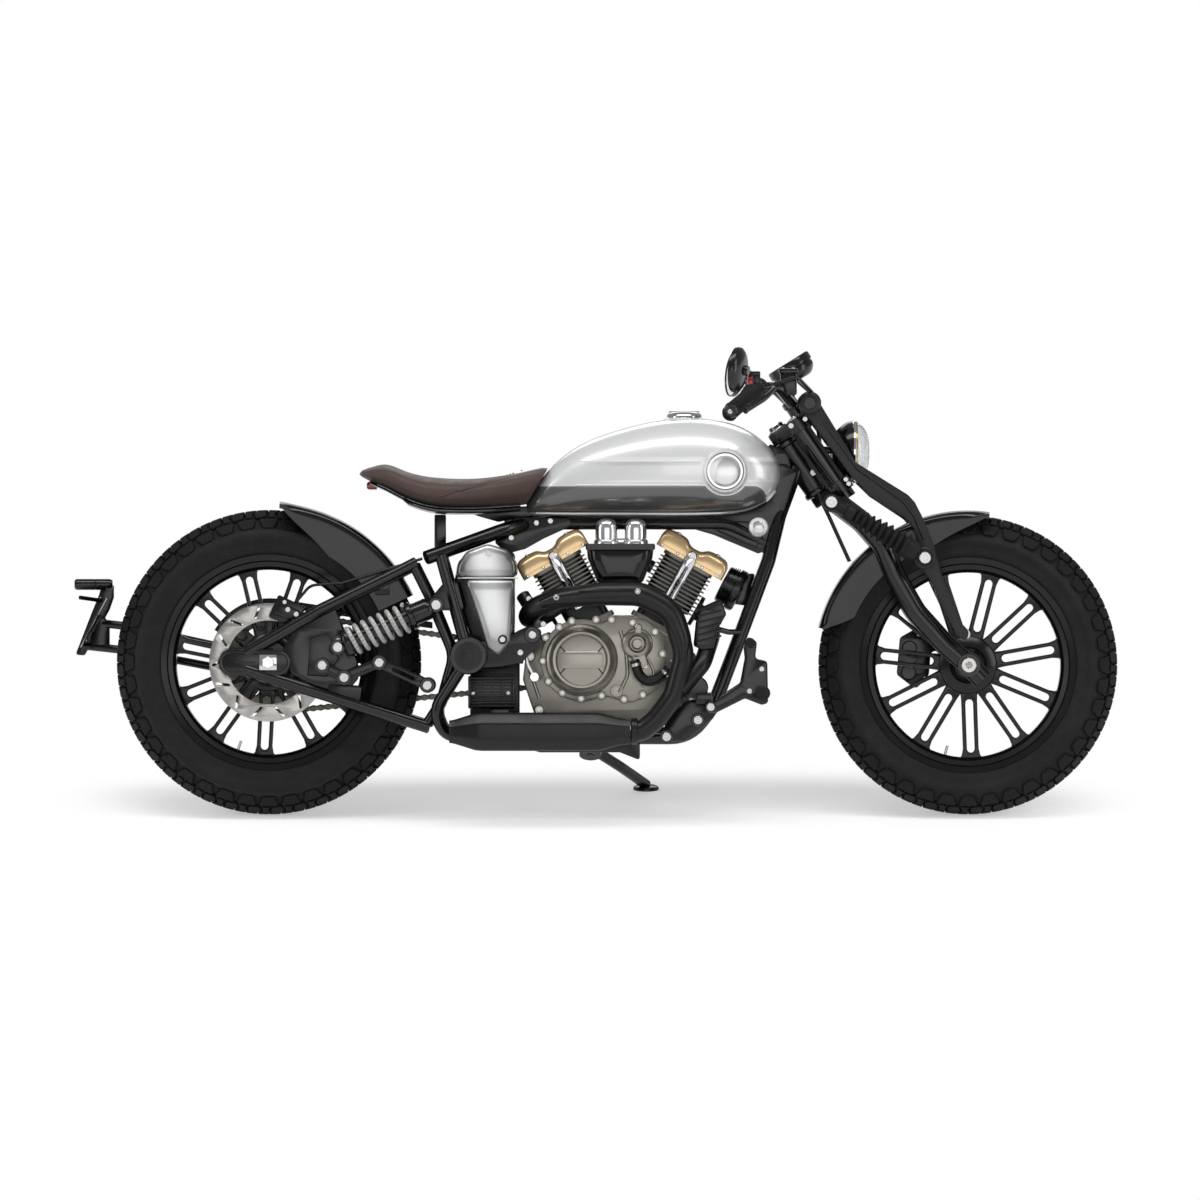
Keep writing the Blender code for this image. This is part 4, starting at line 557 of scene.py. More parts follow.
# tank paint with its band and stripes, plus painted highlights and painted shade along the side ridges
def tankPaintWithPaintedSheen(name, shades):
    look = Look(name, shades["silver"], Metallic=0.22, Roughness=0.3, Coat_Weight=1.0, Coat_Roughness=0.05)
    x, _, z = look.parts(look.place())
    flake = look.node("ShaderNodeTexVoronoi", None, {"Vector": look.place(), "Scale": 2600.0}, out="Color")
    hue = look.parts(flake)[0]
    silver = look.mix(hue, [c * 0.94 for c in shades["silver"]], [min(c * 1.05, 1) for c in shades["silver"]])
    # signed distance to the band: a long box with round front end, cut by a circle round the badge
    dx = look.maths("MAXIMUM", x - shades["bandFront"], 0.0)
    dz = look.maths("ABSOLUTE", z - shades["bandMiddle"])
    toBand = look.maths("SQRT", dx * dx + dz * dz) - shades["bandHalf"]
    badgeX, badgeZ = shades["badge"]
    badge = look.maths("SQRT", (x - badgeX) * (x - badgeX) + (z - badgeZ) * (z - badgeZ))
    toBand = look.maths("MAXIMUM", toBand, shades["badgeReach"] - badge)
    inBand = look.ease(toBand, -0.0003, 0.0003, 1.0, 0.0)
    edge = look.ease(look.maths("ABSOLUTE", toBand - 0.0022), 0.0009, 0.0015, 1.0, 0.0)
    inner = look.ease(look.maths("ABSOLUTE", toBand + 0.003), 0.0003, 0.0008, 1.0, 0.0)
    shade = look.mix(inBand, silver, shades["band"])
    shade = look.mix(inner, shade, shades["pinstripe"])
    shade = look.mix(edge * 0.85, shade, shades["stripe"])
    # painted highlights: soft pale streaks above and below the ridges, with painted shade right under them
    fade = look.ease(x, -0.1, 0.02) * look.ease(badge, 0.048, 0.06)
    ridge = look.ease(look.maths("ABSOLUTE", z - 0.7625), 0.0022, 0.006, 1.0, 0.0)
    under = look.ease(look.maths("ABSOLUTE", z - 0.752), 0.001, 0.0065, 1.0, 0.0)
    dip = look.maths("MAXIMUM", 0.0, 0.0505 - look.maths("ABSOLUTE", x - badgeX)) * 0.42
    lower = look.ease(look.maths("ABSOLUTE", z + dip - 0.715), 0.001, 0.0028, 1.0, 0.0)
    shade = look.mix(under * fade * 0.55, shade, shades["shadow"])
    shade = look.mix(look.maths("MAXIMUM", ridge, lower) * fade * 0.85, shade, shades["light"])
    look.set("Base Color", shade)
    look.bump(look.noise(60, 2.0), 0.01, 0.001)
    return look.material


def coverWithPaintedSheen(name, pale, dark):
    # painted reflection and painted shade: pale band down the middle of the side cover, darker towards its
    # edges and foot
    look = Look(name, pale, Metallic=0.45, Roughness=0.24, Coat_Weight=0.9, Coat_Roughness=0.05)
    x, _, z = look.parts(look.place())
    off = look.maths("ABSOLUTE", x + 0.279 + (z - 0.501) * 0.17)
    foot = look.ease(z, 0.35, 0.43, 0.55, 0.0)
    share = look.maths("MINIMUM", look.ease(off, 0.006, 0.058) + foot, 1.0)
    look.set("Base Color", look.mix(share, pale, dark))
    return look.material


def leather(name, colour, dark):
    look = Look(name, colour, Specular_IOR_Level=0.45, Sheen_Weight=0.12, Sheen_Roughness=0.5)
    cells = look.node("ShaderNodeTexVoronoi", {"feature": "DISTANCE_TO_EDGE"}, {"Vector": look.place(),
        "Scale": 620.0, "Randomness": 1.0}, out="Distance")
    folds = look.noise(38, 5.0, 0.62)
    broad = look.noise(7, 3.0, 0.55)
    crease = look.ease(cells, 0.0, 0.12)
    look.set("Base Color", look.mix(look.ease(broad * 0.6 + folds * 0.4, 0.32, 0.66), dark, colour))
    look.set("Roughness", look.ease(folds, 0.3, 0.7, 0.42, 0.58))
    look.bump(crease * 0.6 + folds * 1.2, 0.28, 0.0009)
    return look.material


def rubberSide(name, colour):
    look = Look(name, colour, Specular_IOR_Level=0.26)
    dust = look.noise(24, 5.0, 0.65)
    fine = look.noise(500, 3.0, 0.6)
    look.set("Base Color", look.mix(look.ease(dust, 0.35, 0.75), [c * 0.8 for c in colour],
        [c * 1.25 for c in colour]))
    look.set("Roughness", look.ease(fine, 0.3, 0.7, 0.62, 0.82))
    look.bump(fine, 0.12, 0.0005)
    return look.material


def brushed(name, colour, centre, rough=0.3):
    # metal with fine turning marks round an axle
    look = Look(name, colour, Metallic=1.0)
    x, _, z = look.parts(look.place(centre))
    radius = look.maths("SQRT", x * x + z * z)
    rings = look.node("ShaderNodeTexNoise", {"noise_dimensions": "1D"},
        {"W": radius * 3200.0, "Scale": 1.0, "Detail": 2.0}, out="Fac")
    stains = look.noise(30, 4.0, 0.6)
    look.set("Base Color", look.mix(look.ease(stains, 0.3, 0.7), [c * 0.86 for c in colour],
        [min(c * 1.08, 1) for c in colour]))
    look.set("Roughness", look.ease(rings, 0.3, 0.7, rough - 0.08, rough + 0.1))
    look.bump(rings, 0.05, 0.0003)
    return look.material


black = finish("satinBlack", (0.0038, 0.0038, 0.0041), 0.21, 0.0, grain=0.02, Specular_IOR_Level=0.48)
girderGrey = finish("satinGreyBlack", (0.015, 0.015, 0.0156), 0.42, 0.0, grain=0.05, Specular_IOR_Level=0.36)
darkGrey = finish("mattDarkGrey", (0.0055, 0.0055, 0.0058), 0.33, 0.0, grain=0.06, Specular_IOR_Level=0.36)
gloss = finish("glossBlack", (0.003, 0.003, 0.0034), 0.16, 0.0, spread=0.03, Specular_IOR_Level=0.42)
rimBlack = finish("wheelBlack", (0.0035, 0.0035, 0.0038), 0.24, 0.0, spread=0.04, Specular_IOR_Level=0.36)
tubeGloss = finish("forkTubeBlack", (0.004, 0.004, 0.0044), 0.12, 0.0, spread=0.03, Specular_IOR_Level=0.6)
chrome = finish("chromePlate", (0.66, 0.66, 0.67), 0.07, 1.0, mottle=0.03, spread=0.03)
softChrome = finish("softChrome", (0.7, 0.7, 0.71), 0.17, 1.0, mottle=0.02, spread=0.02)
boltSteel = finish("boltSteel", (0.52, 0.51, 0.5), 0.26, 1.0, mottle=0.08, spread=0.06)
alloy = finish("castTitaniumGrey", (0.365, 0.343, 0.305), 0.33, 0.8, grain=0.08, grainScale=1400, mottle=0.05)
finMetal = finish("finGrey", (0.27, 0.255, 0.225), 0.4, 0.55, grain=0.1, grainScale=1100, mottle=0.08)
goldPaint = finish("goldEnamel", (0.74, 0.525, 0.28), 0.26, 0.66, mottle=0.01, coat=0.5, spread=0.01)
springGrey = finish("springEnamel", (0.52, 0.515, 0.5), 0.34, 0.1, mottle=0.05, coat=0.5)
rubber = finish("mouldedRubber", (0.007, 0.007, 0.0072), 0.6, 0.0, grain=0.15, grainScale=1600,
    Specular_IOR_Level=0.3)
hoseBlack = finish("hoseRubber", (0.006, 0.006, 0.0062), 0.36, 0.0, grain=0.05, Specular_IOR_Level=0.36)
brass = finish("brassRing", (0.6, 0.4, 0.16), 0.22, 1.0, mottle=0.06)
chainSteel = finish("chainSteel", (0.27, 0.25, 0.22), 0.42, 0.9, mottle=0.18)
redPlastic = finish("redSwitch", (0.42, 0.015, 0.012), 0.3, 0.0, coat=0.4)
lensRed = finish("redLens", (0.36, 0.02, 0.015), 0.16, 0.0, coat=1.0)
dialFace = finish("dialFace", (0.01, 0.01, 0.011), 0.4)
dialMarks = finish("dialMarks", (0.7, 0.7, 0.68), 0.45)
mirrorGlass = finish("mirrorGlass", (0.72, 0.74, 0.76), 0.03, 1.0, mottle=0.01, spread=0.01)
lampGlass = finish("clearGlass", (0.9, 0.92, 0.93), 0.04, 0.0, mottle=0.01, spread=0.01,
    Transmission_Weight=0.92, IOR=1.46)
badge = (0.228, 0.736)
# the light and shadow shades are the tank's painted highlight and painted shade along the ridges
silver = tankPaintWithPaintedSheen("silverPaintWithPaintedSheen", {"silver": (0.8, 0.8, 0.797), "band": (0.105, 0.104, 0.102),
    "stripe": (0.84, 0.84, 0.83), "light": (0.96, 0.96, 0.96), "shadow": (0.55, 0.55, 0.55),
    "pinstripe": (0.22, 0.21, 0.2), "bandFront": 0.289, "bandMiddle": 0.676, "bandHalf": 0.028, "badge": badge,
    "badgeReach": 0.053})
silverCoverPaintedSheen = coverWithPaintedSheen("silverCoverPaintedSheen", (0.66, 0.66, 0.66), (0.085, 0.085, 0.085))
badgeSilver = finish("badgeSilver", (0.76, 0.76, 0.76), 0.32, 0.85, mottle=0.01, coat=0.6, spread=0.02)
seatLeather = leather("brownLeather", (0.086, 0.05, 0.042), (0.062, 0.035, 0.03))
sidewall = rubberSide("tyreSide", (0.0135, 0.0135, 0.0139))
treadRubber = rubberSide("tyreTread", (0.0065, 0.0065, 0.0068))
discSteel = brushed("discSteel", (0.46, 0.44, 0.42), rearAxle, 0.27)
print("materials made")


# Tyres and wheels
def tyreShapes(radius, bead, half, rimHalf):
    # the crown is an arc of one radius about a core circle; the tread's blocks stand out of it
    crown, depth, blocks = 0.075, 0.0078, 40
    core, low = radius - crown, crown - depth
    wide = [(core + low * math.cos(math.radians(a)), low * math.sin(math.radians(a))) for a in range(0, 60, 5)]
    bulge = bead + 0.51 * (radius - bead)
    keys = [wide[-1], (core + 0.03, half - 0.0035), (bulge, half), (bead + 0.043, half - 0.0052),
        (bead + 0.0275, rimHalf + 0.01), (bead + 0.0225, rimHalf + 0.003)]
    side = [tuple(row) for row in smoothRows(keys, 6)]
    ringed = []
    for r, y in side:
        proud = sum(math.exp(-((r - ring) / 0.0011) ** 2)
            for ring in (bulge + 0.014, bulge - 0.02, bead + 0.033))
        ringed.append((r, y + 0.0009 * proud))
    halfProfile = wide[:-1] + ringed + [(bead + 0.012, rimHalf - 0.004)]
    profile = [(r, -y) for r, y in reversed(halfProfile)] + halfProfile[1:]
    carcass = turned(profile, (0, 0, 0), (0, 1, 0), 128)

    def block(outline):
        # outline as angle round the wheel and angle over the crown, both in degrees
        rings = []
        middle = [sum(p[k] for p in outline) / len(outline) for k in (0, 1)]
        for height, shrink in ((-0.0095, 1.03), (-0.001, 1.0), (0.0, 0.9)):
            ring = []
            for around, over in outline:
                a = math.radians(middle[0] + (around - middle[0]) * shrink)
                f = math.radians(middle[1] + (over - middle[1]) * shrink)
                r = core + (crown + height) * math.cos(f)
                ring.append((r * math.sin(a), (crown + height) * math.sin(f), r * math.cos(a)))
            rings.append(ring)
        return loft(rings)

    outlines = ([(0.6, 1.2), (3.9, 2.2), (4.3, 6.5), (3.7, 14.6), (0.4, 15.4), (-0.1, 7.0)], [(4.7, 2.2),
        (7.6, 1.2), (8.3, 7.0), (7.7, 15.4), (4.6, 14.6), (5.1, 6.5)], [(-0.9, 18.2), (3.0, 17.2), (3.7, 25.5),
        (3.1, 35.6), (-0.6, 37.2), (-1.2, 27.0)], [(4.0, 17.4), (7.0, 18.4), (6.9, 27.0), (7.1, 36.8),
        (4.3, 35.6), (4.7, 26.0)], [(1.2, 40.0), (7.6, 39.6), (8.2, 43.0), (7.5, 53.0), (6.6, 60.0),
        (2.3, 60.4), (1.5, 53.0), (0.8, 44.0)])
    tread = []
    for s, shift in ((1, 0.0), (-1, 180 / blocks)):
        for outline in outlines:
            tread.append(block([(a + shift, s * f) for a, f in outline]))
    return carcass, ringOf(together(tread), blocks, (0, 0, 0))


def rimShape(bead, rimHalf, hubHalf, start):
    wall, hubR, spokes = bead - 0.0105, 0.062, 11
    half = [(wall, 0.0), (wall, 0.012), (wall + 0.0005, rimHalf - 0.012), (bead - 0.003, rimHalf - 0.0035),
        (bead + 0.007, rimHalf - 0.0015), (bead + 0.0085, rimHalf + 0.001), (bead + 0.01, rimHalf - 0.0005),
        (bead + 0.0225, rimHalf + 0.0035), (bead + 0.0242, rimHalf + 0.0062), (bead + 0.0258, rimHalf + 0.0056),
        (bead + 0.0262, rimHalf + 0.003), (bead + 0.015, rimHalf - 0.006), (bead - 0.001, rimHalf - 0.009),
        (bead - 0.001, 0.0)]
    shapes = [turned(half + [(r, -y) for r, y in reversed(half[1:-1])], (0, 0, 0), (0, 1, 0), 128, loop=True)]
    inner, outer = 0.05, wall + 0.004
    outline = [(-0.019, inner), (0.019, inner), (0.0172, hubR + 0.012), (0.017, outer - 0.022),
        (0.02, outer - 0.008), (0.029, outer), (-0.029, outer), (-0.02, outer - 0.008), (-0.017, outer - 0.022),
        (-0.0172, hubR + 0.012)]
    window = slotOutline((0, hubR + 0.02), (0, outer - 0.022), 0.0082)
    spoke = plate(outline, -0.013, 0.013, [window], soft=0.0024)
    shapes.append(ringOf(spoke, spokes, (0, 0, 0), math.radians(start)))
    neck = hubHalf - 0.009
    hub = [(0.0122, hubHalf), (0.0285, hubHalf), (0.03, hubHalf - 0.0015), (0.03, neck + 0.002), (0.04, 0.03),
        (hubR - 0.003, 0.0235), (hubR, 0.0205), (hubR, 0.0)]
    shapes.append(turned(hub + [(r, -y) for r, y in reversed(hub[:-1])], (0, 0, 0), (0, 1, 0), 64, loop=True))
    return shapes


def makeWheel(end, axle, radius, bead, half, rimHalf, hubHalf, start):
    onAxle = Matrix.Translation(axle)
    body = end + "_wheel"
    carcass, tread = tyreShapes(radius, bead, half, rimHalf)
    piece(end + "TyreBody", [moved(carcass, onAxle)], sidewall, body, "tyre", (end + "_tyre",), 50)
    piece(end + "TyreTread", [moved(tread, onAxle)], treadRubber, body, "tyre", smooth=25)
    piece(end + "Rim", [moved(shape, onAxle) for shape in rimShape(bead, rimHalf, hubHalf, start)], rimBlack,
        body, "black", (end + "_cast_wheel",))
    valve = tube([(0.0, -rimHalf + 0.02, bead - 0.01), (0.0, -rimHalf + 0.02, bead - 0.03)], 0.003, sides=12)
    piece(end + "Valve", [moved(valve, onAxle @ Matrix.Rotation(math.radians(start + 16.4), 4, "Y"))],
        boltSteel, body, "steel")


makeWheel("rear", rearAxle, radius=rearAxle.z, bead=0.2085, half=0.075, rimHalf=0.056, hubHalf=0.079,
    start=-177)
makeWheel("front", frontAxle, radius=frontAxle.z, bead=0.2085, half=0.065, rimHalf=0.047, hubHalf=0.058,
    start=178)

chain = {"pitch": 0.0159, "y": 0.09, "rearRadius": 0.108, "frontRadius": 0.04, "front": (-0.17, 0.315)}

brakeDisc = {"radius": 0.127, "inner": 0.0895, "y": -0.08, "half": 0.0025, "slots": 14}


def makeDisc(d):
    slots = []
    for k in range(d["slots"]):
        a = 2 * math.pi * k / d["slots"]
        slant = math.radians(32 if k % 2 else -32)
        middle = Vector((math.cos(a), math.sin(a))) * (d["radius"] + d["inner"]) / 2
        along = Vector((math.cos(a + slant), math.sin(a + slant))) * 0.012
        slots.append(slotOutline(middle - along, middle + along, 0.0025, 4))
    ring = plate(circle((0, 0), d["radius"], 96), d["y"] - d["half"], d["y"] + d["half"],
        [circle((0, 0), d["inner"], 72)] + slots, soft=0.0006)
    piece("rearDisc", [moved(ring, Matrix.Translation(rearAxle))], discSteel, "rear_wheel", "steel",
        ("rear_disc",))
    arm = plate([(-0.012, 0.034), (0.012, 0.034), (0.0075, 0.06), (0.0095, 0.0935), (-0.0095, 0.0935),
        (-0.0075, 0.06)], d["y"] - 0.0022, d["y"] + 0.0022)
    carrier = turned([(0.031, -0.002), (0.045, -0.002), (0.046, -0.001), (0.046, 0.009), (0.031, 0.009)],
        (0, d["y"], 0), (0, 1, 0), 64, loop=True)
    piece("rearDiscCarrier", [moved(s, Matrix.Translation(rearAxle))
        for s in (carrier, ringOf(arm, 5, (0, 0, 0)))], rimBlack, "rear_wheel", "black")
    heads = [(rearAxle + Vector((0.038 * math.sin(a), d["y"] - 0.002, 0.038 * math.cos(a))), (0, -1, 0), 0.0052)
        for a in [2 * math.pi * k / 5 for k in range(5)]]
    piece("rearDiscBolts", [onSpots(boltShape("cap"), heads)], boltSteel, "rear_wheel", "steel")


makeDisc(brakeDisc)


def makeSprocket(c):
    teeth, tip, y, half = 28, c["rearRadius"] - 0.0095, c["y"], 0.0035
    outline = []
    for i in range(teeth):
        for share, r in ((-0.22, tip - 0.006), (-0.08, tip - 0.0015), (0.0, tip), (0.08, tip - 0.0015),
                (0.22, tip - 0.006)):
            a = 2 * math.pi * (i + 0.5 + share) / teeth
            outline.append((r * math.cos(a), r * math.sin(a)))
    holes = [circle((0.069 * math.cos(a), 0.069 * math.sin(a)), 0.012, 20)
        for a in [2 * math.pi * k / 6 for k in range(6)]]
    wheel = plate(outline, y - half, y + half, holes + [circle((0, 0), 0.038, 32)], soft=0.0006)
    carrier = turned([(0.0305, 0.0025), (0.045, 0.0025), (0.046, 0.0015), (0.046, -0.019), (0.0305, -0.019)],
        (0, y, 0), (0, 1, 0), 48, loop=True)
    piece("rearSprocket", [moved(s, Matrix.Translation(rearAxle)) for s in (wheel, carrier)], chainSteel,
        "rear_wheel", "steel", ("rear_sprocket",))


makeSprocket(chain)
print("wheels made")


# Frame
def both(make):
    return [shape for s in (-1, 1) for shape in make(s)]


def bolts(name, spots, body, kind="dome", look=boltSteel):
    piece(name, [onSpots(boltShape(kind), spots)], look, body, "chrome")


def at(x, y, z, aim=(0, -1, 0), size=0.006):
    return (x, y, z), aim, size


pivot, cradleY, uprightY = (-0.321, 0.341), 0.1, 0.14
standAxis = (upright.inverted().to_3x3() @ Vector(joints["side_stand_fold"]["axis"])).normalized()
standPivot = stance.inverted() @ Vector(joints["side_stand_fold"]["pos_m"])


def frameHalf(s):
    shapes = [tube([(0.385, s * 0.012, 0.75), (0.345, s * 0.038, 0.64), (0.322, s * 0.058, 0.545),
        (0.25, s * 0.088, 0.353), (0.205, s * cradleY, 0.235), (0.152, s * cradleY, 0.166),
        (-0.3, s * cradleY, 0.167), (-0.342, s * 0.104, 0.168)], 0.015, bend=0.09)]
    shapes.append(tube([(-0.18, s * 0.01, 0.624), (-0.12, s * 0.024, 0.6235), (0.235, s * 0.048, 0.6235),
        (0.322, s * 0.04, 0.58)], 0.012, bend=0.08))
    shapes.append(tube([(-0.185, s * 0.01, 0.624), (-0.235, s * 0.07, 0.615), (-0.412, s * uprightY, 0.551)],
        0.0148, bend=0.08))
    shapes.append(tube([(-0.38, s * 0.136, 0.556), (pivot[0], s * uprightY, pivot[1]),
        (-0.394, s * 0.145, 0.225), (-0.372, s * 0.132, 0.172), (-0.328, s * 0.106, 0.168)], 0.0135, bend=0.05))
    shapes.append(turned([(0, 0.0262), (0.029, 0.0262), (0.03, 0.03), (0.0375, 0.03), (0.04, 0.0275), (0.04, 0),
        (0, 0)], (pivot[0], s * 0.13, pivot[1]), (0, s, 0), 48))
    mount = [(-0.345, 0.312), (-0.25, 0.318), (-0.205, 0.328), (-0.168, 0.368), (-0.165, 0.395),
        (-0.185, 0.408), (-0.215, 0.395), (-0.25, 0.372), (-0.345, 0.374)]
    shapes.append(plate(mount, s * 0.131, s * 0.139, rounding=0.012))
    shapes.append(rod((-0.184, s * 0.0813, 0.386), (-0.184, s * 0.142, 0.386), 0.018, soft=0.0015))
    bracket = [(-0.345, 0.5), (-0.372, 0.5), (-0.404, 0.462), (-0.404, 0.438), (-0.35, 0.438), (-0.33, 0.44)]
    shapes.append(plate(bracket, s * 0.14, s * 0.146, rounding=0.008))
    belly = [(-0.222, 0.149), (-0.168, 0.134), (0.003, 0.134), (0.046, 0.117), (0.046, 0.16), (-0.222, 0.16)]
    shapes.append(plate(belly, s * 0.095, s * 0.101, rounding=0.006))
    # plate under the tank's rear
    web = [(-0.222, 0.638), (-0.106, 0.637), (-0.1, 0.62), (-0.161, 0.592), (-0.2, 0.57), (-0.238, 0.56),
        (-0.268, 0.585)]
    shapes.append(plate(web, s * 0.034, s * 0.04, soft=0.0015, rounding=0.01))
    # triangle panel behind the steering head
    panel = [(0.09, 0.634), (0.317, 0.634), (0.336, 0.64), (0.322, 0.568), (0.3, 0.56), (0.205, 0.6)]
    shapes.append(plate(panel, s * 0.04, s * 0.0495, soft=0.0025, rounding=0.006))
    ridge = [(0.215, 0.608), (0.296, 0.573), (0.31, 0.604), (0.278, 0.627), (0.21, 0.629)]
    shapes.append(tube([(x, s * 0.0498, z) for x, z in ridge + ridge[:2]], 0.002, bend=0.006, sides=10))
    return shapes


def makeFrame():
    shapes = [tube([(0.345, 0, 0.768), (-0.2, 0, 0.6285)], 0.02, sides=24)]
    top = onSteering(0)
    down = (onSteering(1) - top).normalized()
    shapes.append(turned([(0, 0.0045), (0.031, 0.0045), (0.0335, 0.007), (0.0335, 0.014), (0.03, 0.018),
        (0.03, 0.126), (0.0335, 0.13), (0.0335, 0.137), (0.031, 0.1395), (0, 0.1395)], top, down, 40))
    shapes += both(frameHalf)
    for x, z, half in ((-0.23, 0.615, 0.07), (-0.385, 0.562, 0.12)):
        shapes.append(rod((x, -half, z), (x, half, z), 0.011))
    for low, high in (((-0.245, -0.02, 0.6157), (-0.222, 0.02, 0.6462)),
            ((-0.395, -0.02, 0.563), (-0.37, 0.02, 0.6437))):
        shapes.append(box(low, high, 0.003))
    for x in (-0.11, 0.09):
        shapes.append(box((x - 0.018, -cradleY, 0.16), (x + 0.018, cradleY, 0.1877), 0.003))
    gusset = [(0.175, 0.622), (0.322, 0.556), (0.352, 0.64), (0.384, 0.735), (0.36, 0.752), (0.337, 0.752),
        (0.339, 0.742), (0.337, 0.716), (0.322, 0.688), (0.285, 0.66), (0.2, 0.644)]
    neck = [(0.338, 0.74), (0.372, 0.74), (0.366, 0.778), (0.322, 0.797), (0.322, 0.77)]
    shapes.append(plate(neck, -0.026, 0.026, soft=0.003, rounding=0.006))
    shapes.append(box((-0.11, -0.03, 0.626), (0.21, 0.03, 0.6395), 0.002))
    shapes.append(plate(gusset, -0.05, 0.05, soft=0.003, rounding=0.008))
    # ears and web that carry the stand
    shapes.append(rod(standPivot - standAxis * 0.02, standPivot + standAxis * 0.02, 0.0075))
    shapes += [rod(standPivot + standAxis * 0.0125 * e, standPivot + standAxis * 0.0185 * e, 0.024, 32)
        for e in (-1, 1)]
    inward = (standAxis * standAxis.y - Vector((0, 1, 0))).normalized()
    facing = Matrix((inward, standAxis.cross(inward), standAxis)).transposed().to_4x4()
    shapes.append(moved(box((0.0215, -0.016, -0.0185), (0.034, 0.016, 0.0185), 0.002),
        Matrix.Translation(standPivot) @ facing))
    piece("frameTubes", shapes, black, "chassis", "black", ("frame",))
    caps = both(lambda s: [turned([(0, 0.0268), (0.01, 0.0268), (0.012, 0.0254), (0.0275, 0.0254),
        (0.0282, 0.024), (0, 0.024)], (pivot[0], s * 0.1312, pivot[1]), (0, s, 0), 40)])
    piece("pivotCaps", caps, girderGrey, "chassis", "black")
    spots = []
    for s in (-1, 1):
        aim = (0, s, 0)
        spots += [at(-0.176, s * 0.0402, 0.626, aim, 0.0058), at(-0.146, s * 0.0402, 0.63, aim, 0.0058),
            at(-0.23, s * 0.0402, 0.594, aim, 0.0058), at(-0.184, s * 0.142, 0.386, aim, 0.0085),
            at(-0.21, s * 0.1392, 0.348, aim, 0.0065), at(-0.192, s * 0.1, 0.463, aim, 0.006),
            at(-0.161, s * 0.1, 0.409, aim, 0.006), at(0.418, s * 0.0285, 0.734, aim, 0.007)]
    bolts("frameBolts", spots, "chassis", kind="cap")
    capX, capZ = 0.3, 0.617
    radii = (0.0212, 0.0222) * 48
    knurl = [(capX + r * math.cos(a), capZ + r * math.sin(a)) for r,
        a in zip(radii, [2 * math.pi * i / 96 for i in range(96)])]
    dish = turned([(0, 0.0088), (0.01, 0.0088), (0.013, 0.0068), (0.0185, 0.0078), (0.0205, 0.01),
        (0.0215, 0.0085), (0.0215, 0), (0, 0)], (capX, -0.05, capZ), (0, -1, 0), 48)
    piece("gussetCap", [plate(knurl, -0.0565, -0.0495, soft=0.0006), dish], badgeSilver, "chassis", "chrome")


makeFrame()


def makeStand():
    lift = 0.075 * (1 - math.cos(lean))
    foot = Vector((0.06, 0.3 * math.cos(lean) + lift * math.sin(lean), 0.3 * math.sin(lean)
        - lift * math.cos(lean)))
    up = Vector((0, -math.sin(lean), math.cos(lean)))
    sole = turned([(0, 0.008), (0.023, 0.008), (0.0265, 0.0062), (0.028, 0.004), (0.028, 0), (0, 0)], foot, up,
        40)
    leg = tube([standPivot, standPivot.lerp(foot, 0.45) + Vector((0.01, 0, 0)), foot + up * 0.0105], 0.0115,
        bend=0.06)
    eye = sleeve(0.0085, 0.02, 0.012, 0.001, 0.001, standPivot, standAxis, 32)
    piece("sideStand", [sole, leg, eye], black, "side_stand", "black", ("side_stand",))


makeStand()


# Swingarm with its links
def fromAxle(ahead, up):
    return (rearAxle.x + ahead, rearAxle.z + up)


links = {"pins": (fromAxle(0.116, -0.006), fromAxle(0.163, -0.032), fromAxle(0.238, 0.0), (-0.409, 0.278)),
    "out": (0.1335, 0.135, 0.133), "armY": 0.115, "armRadius": 0.014}


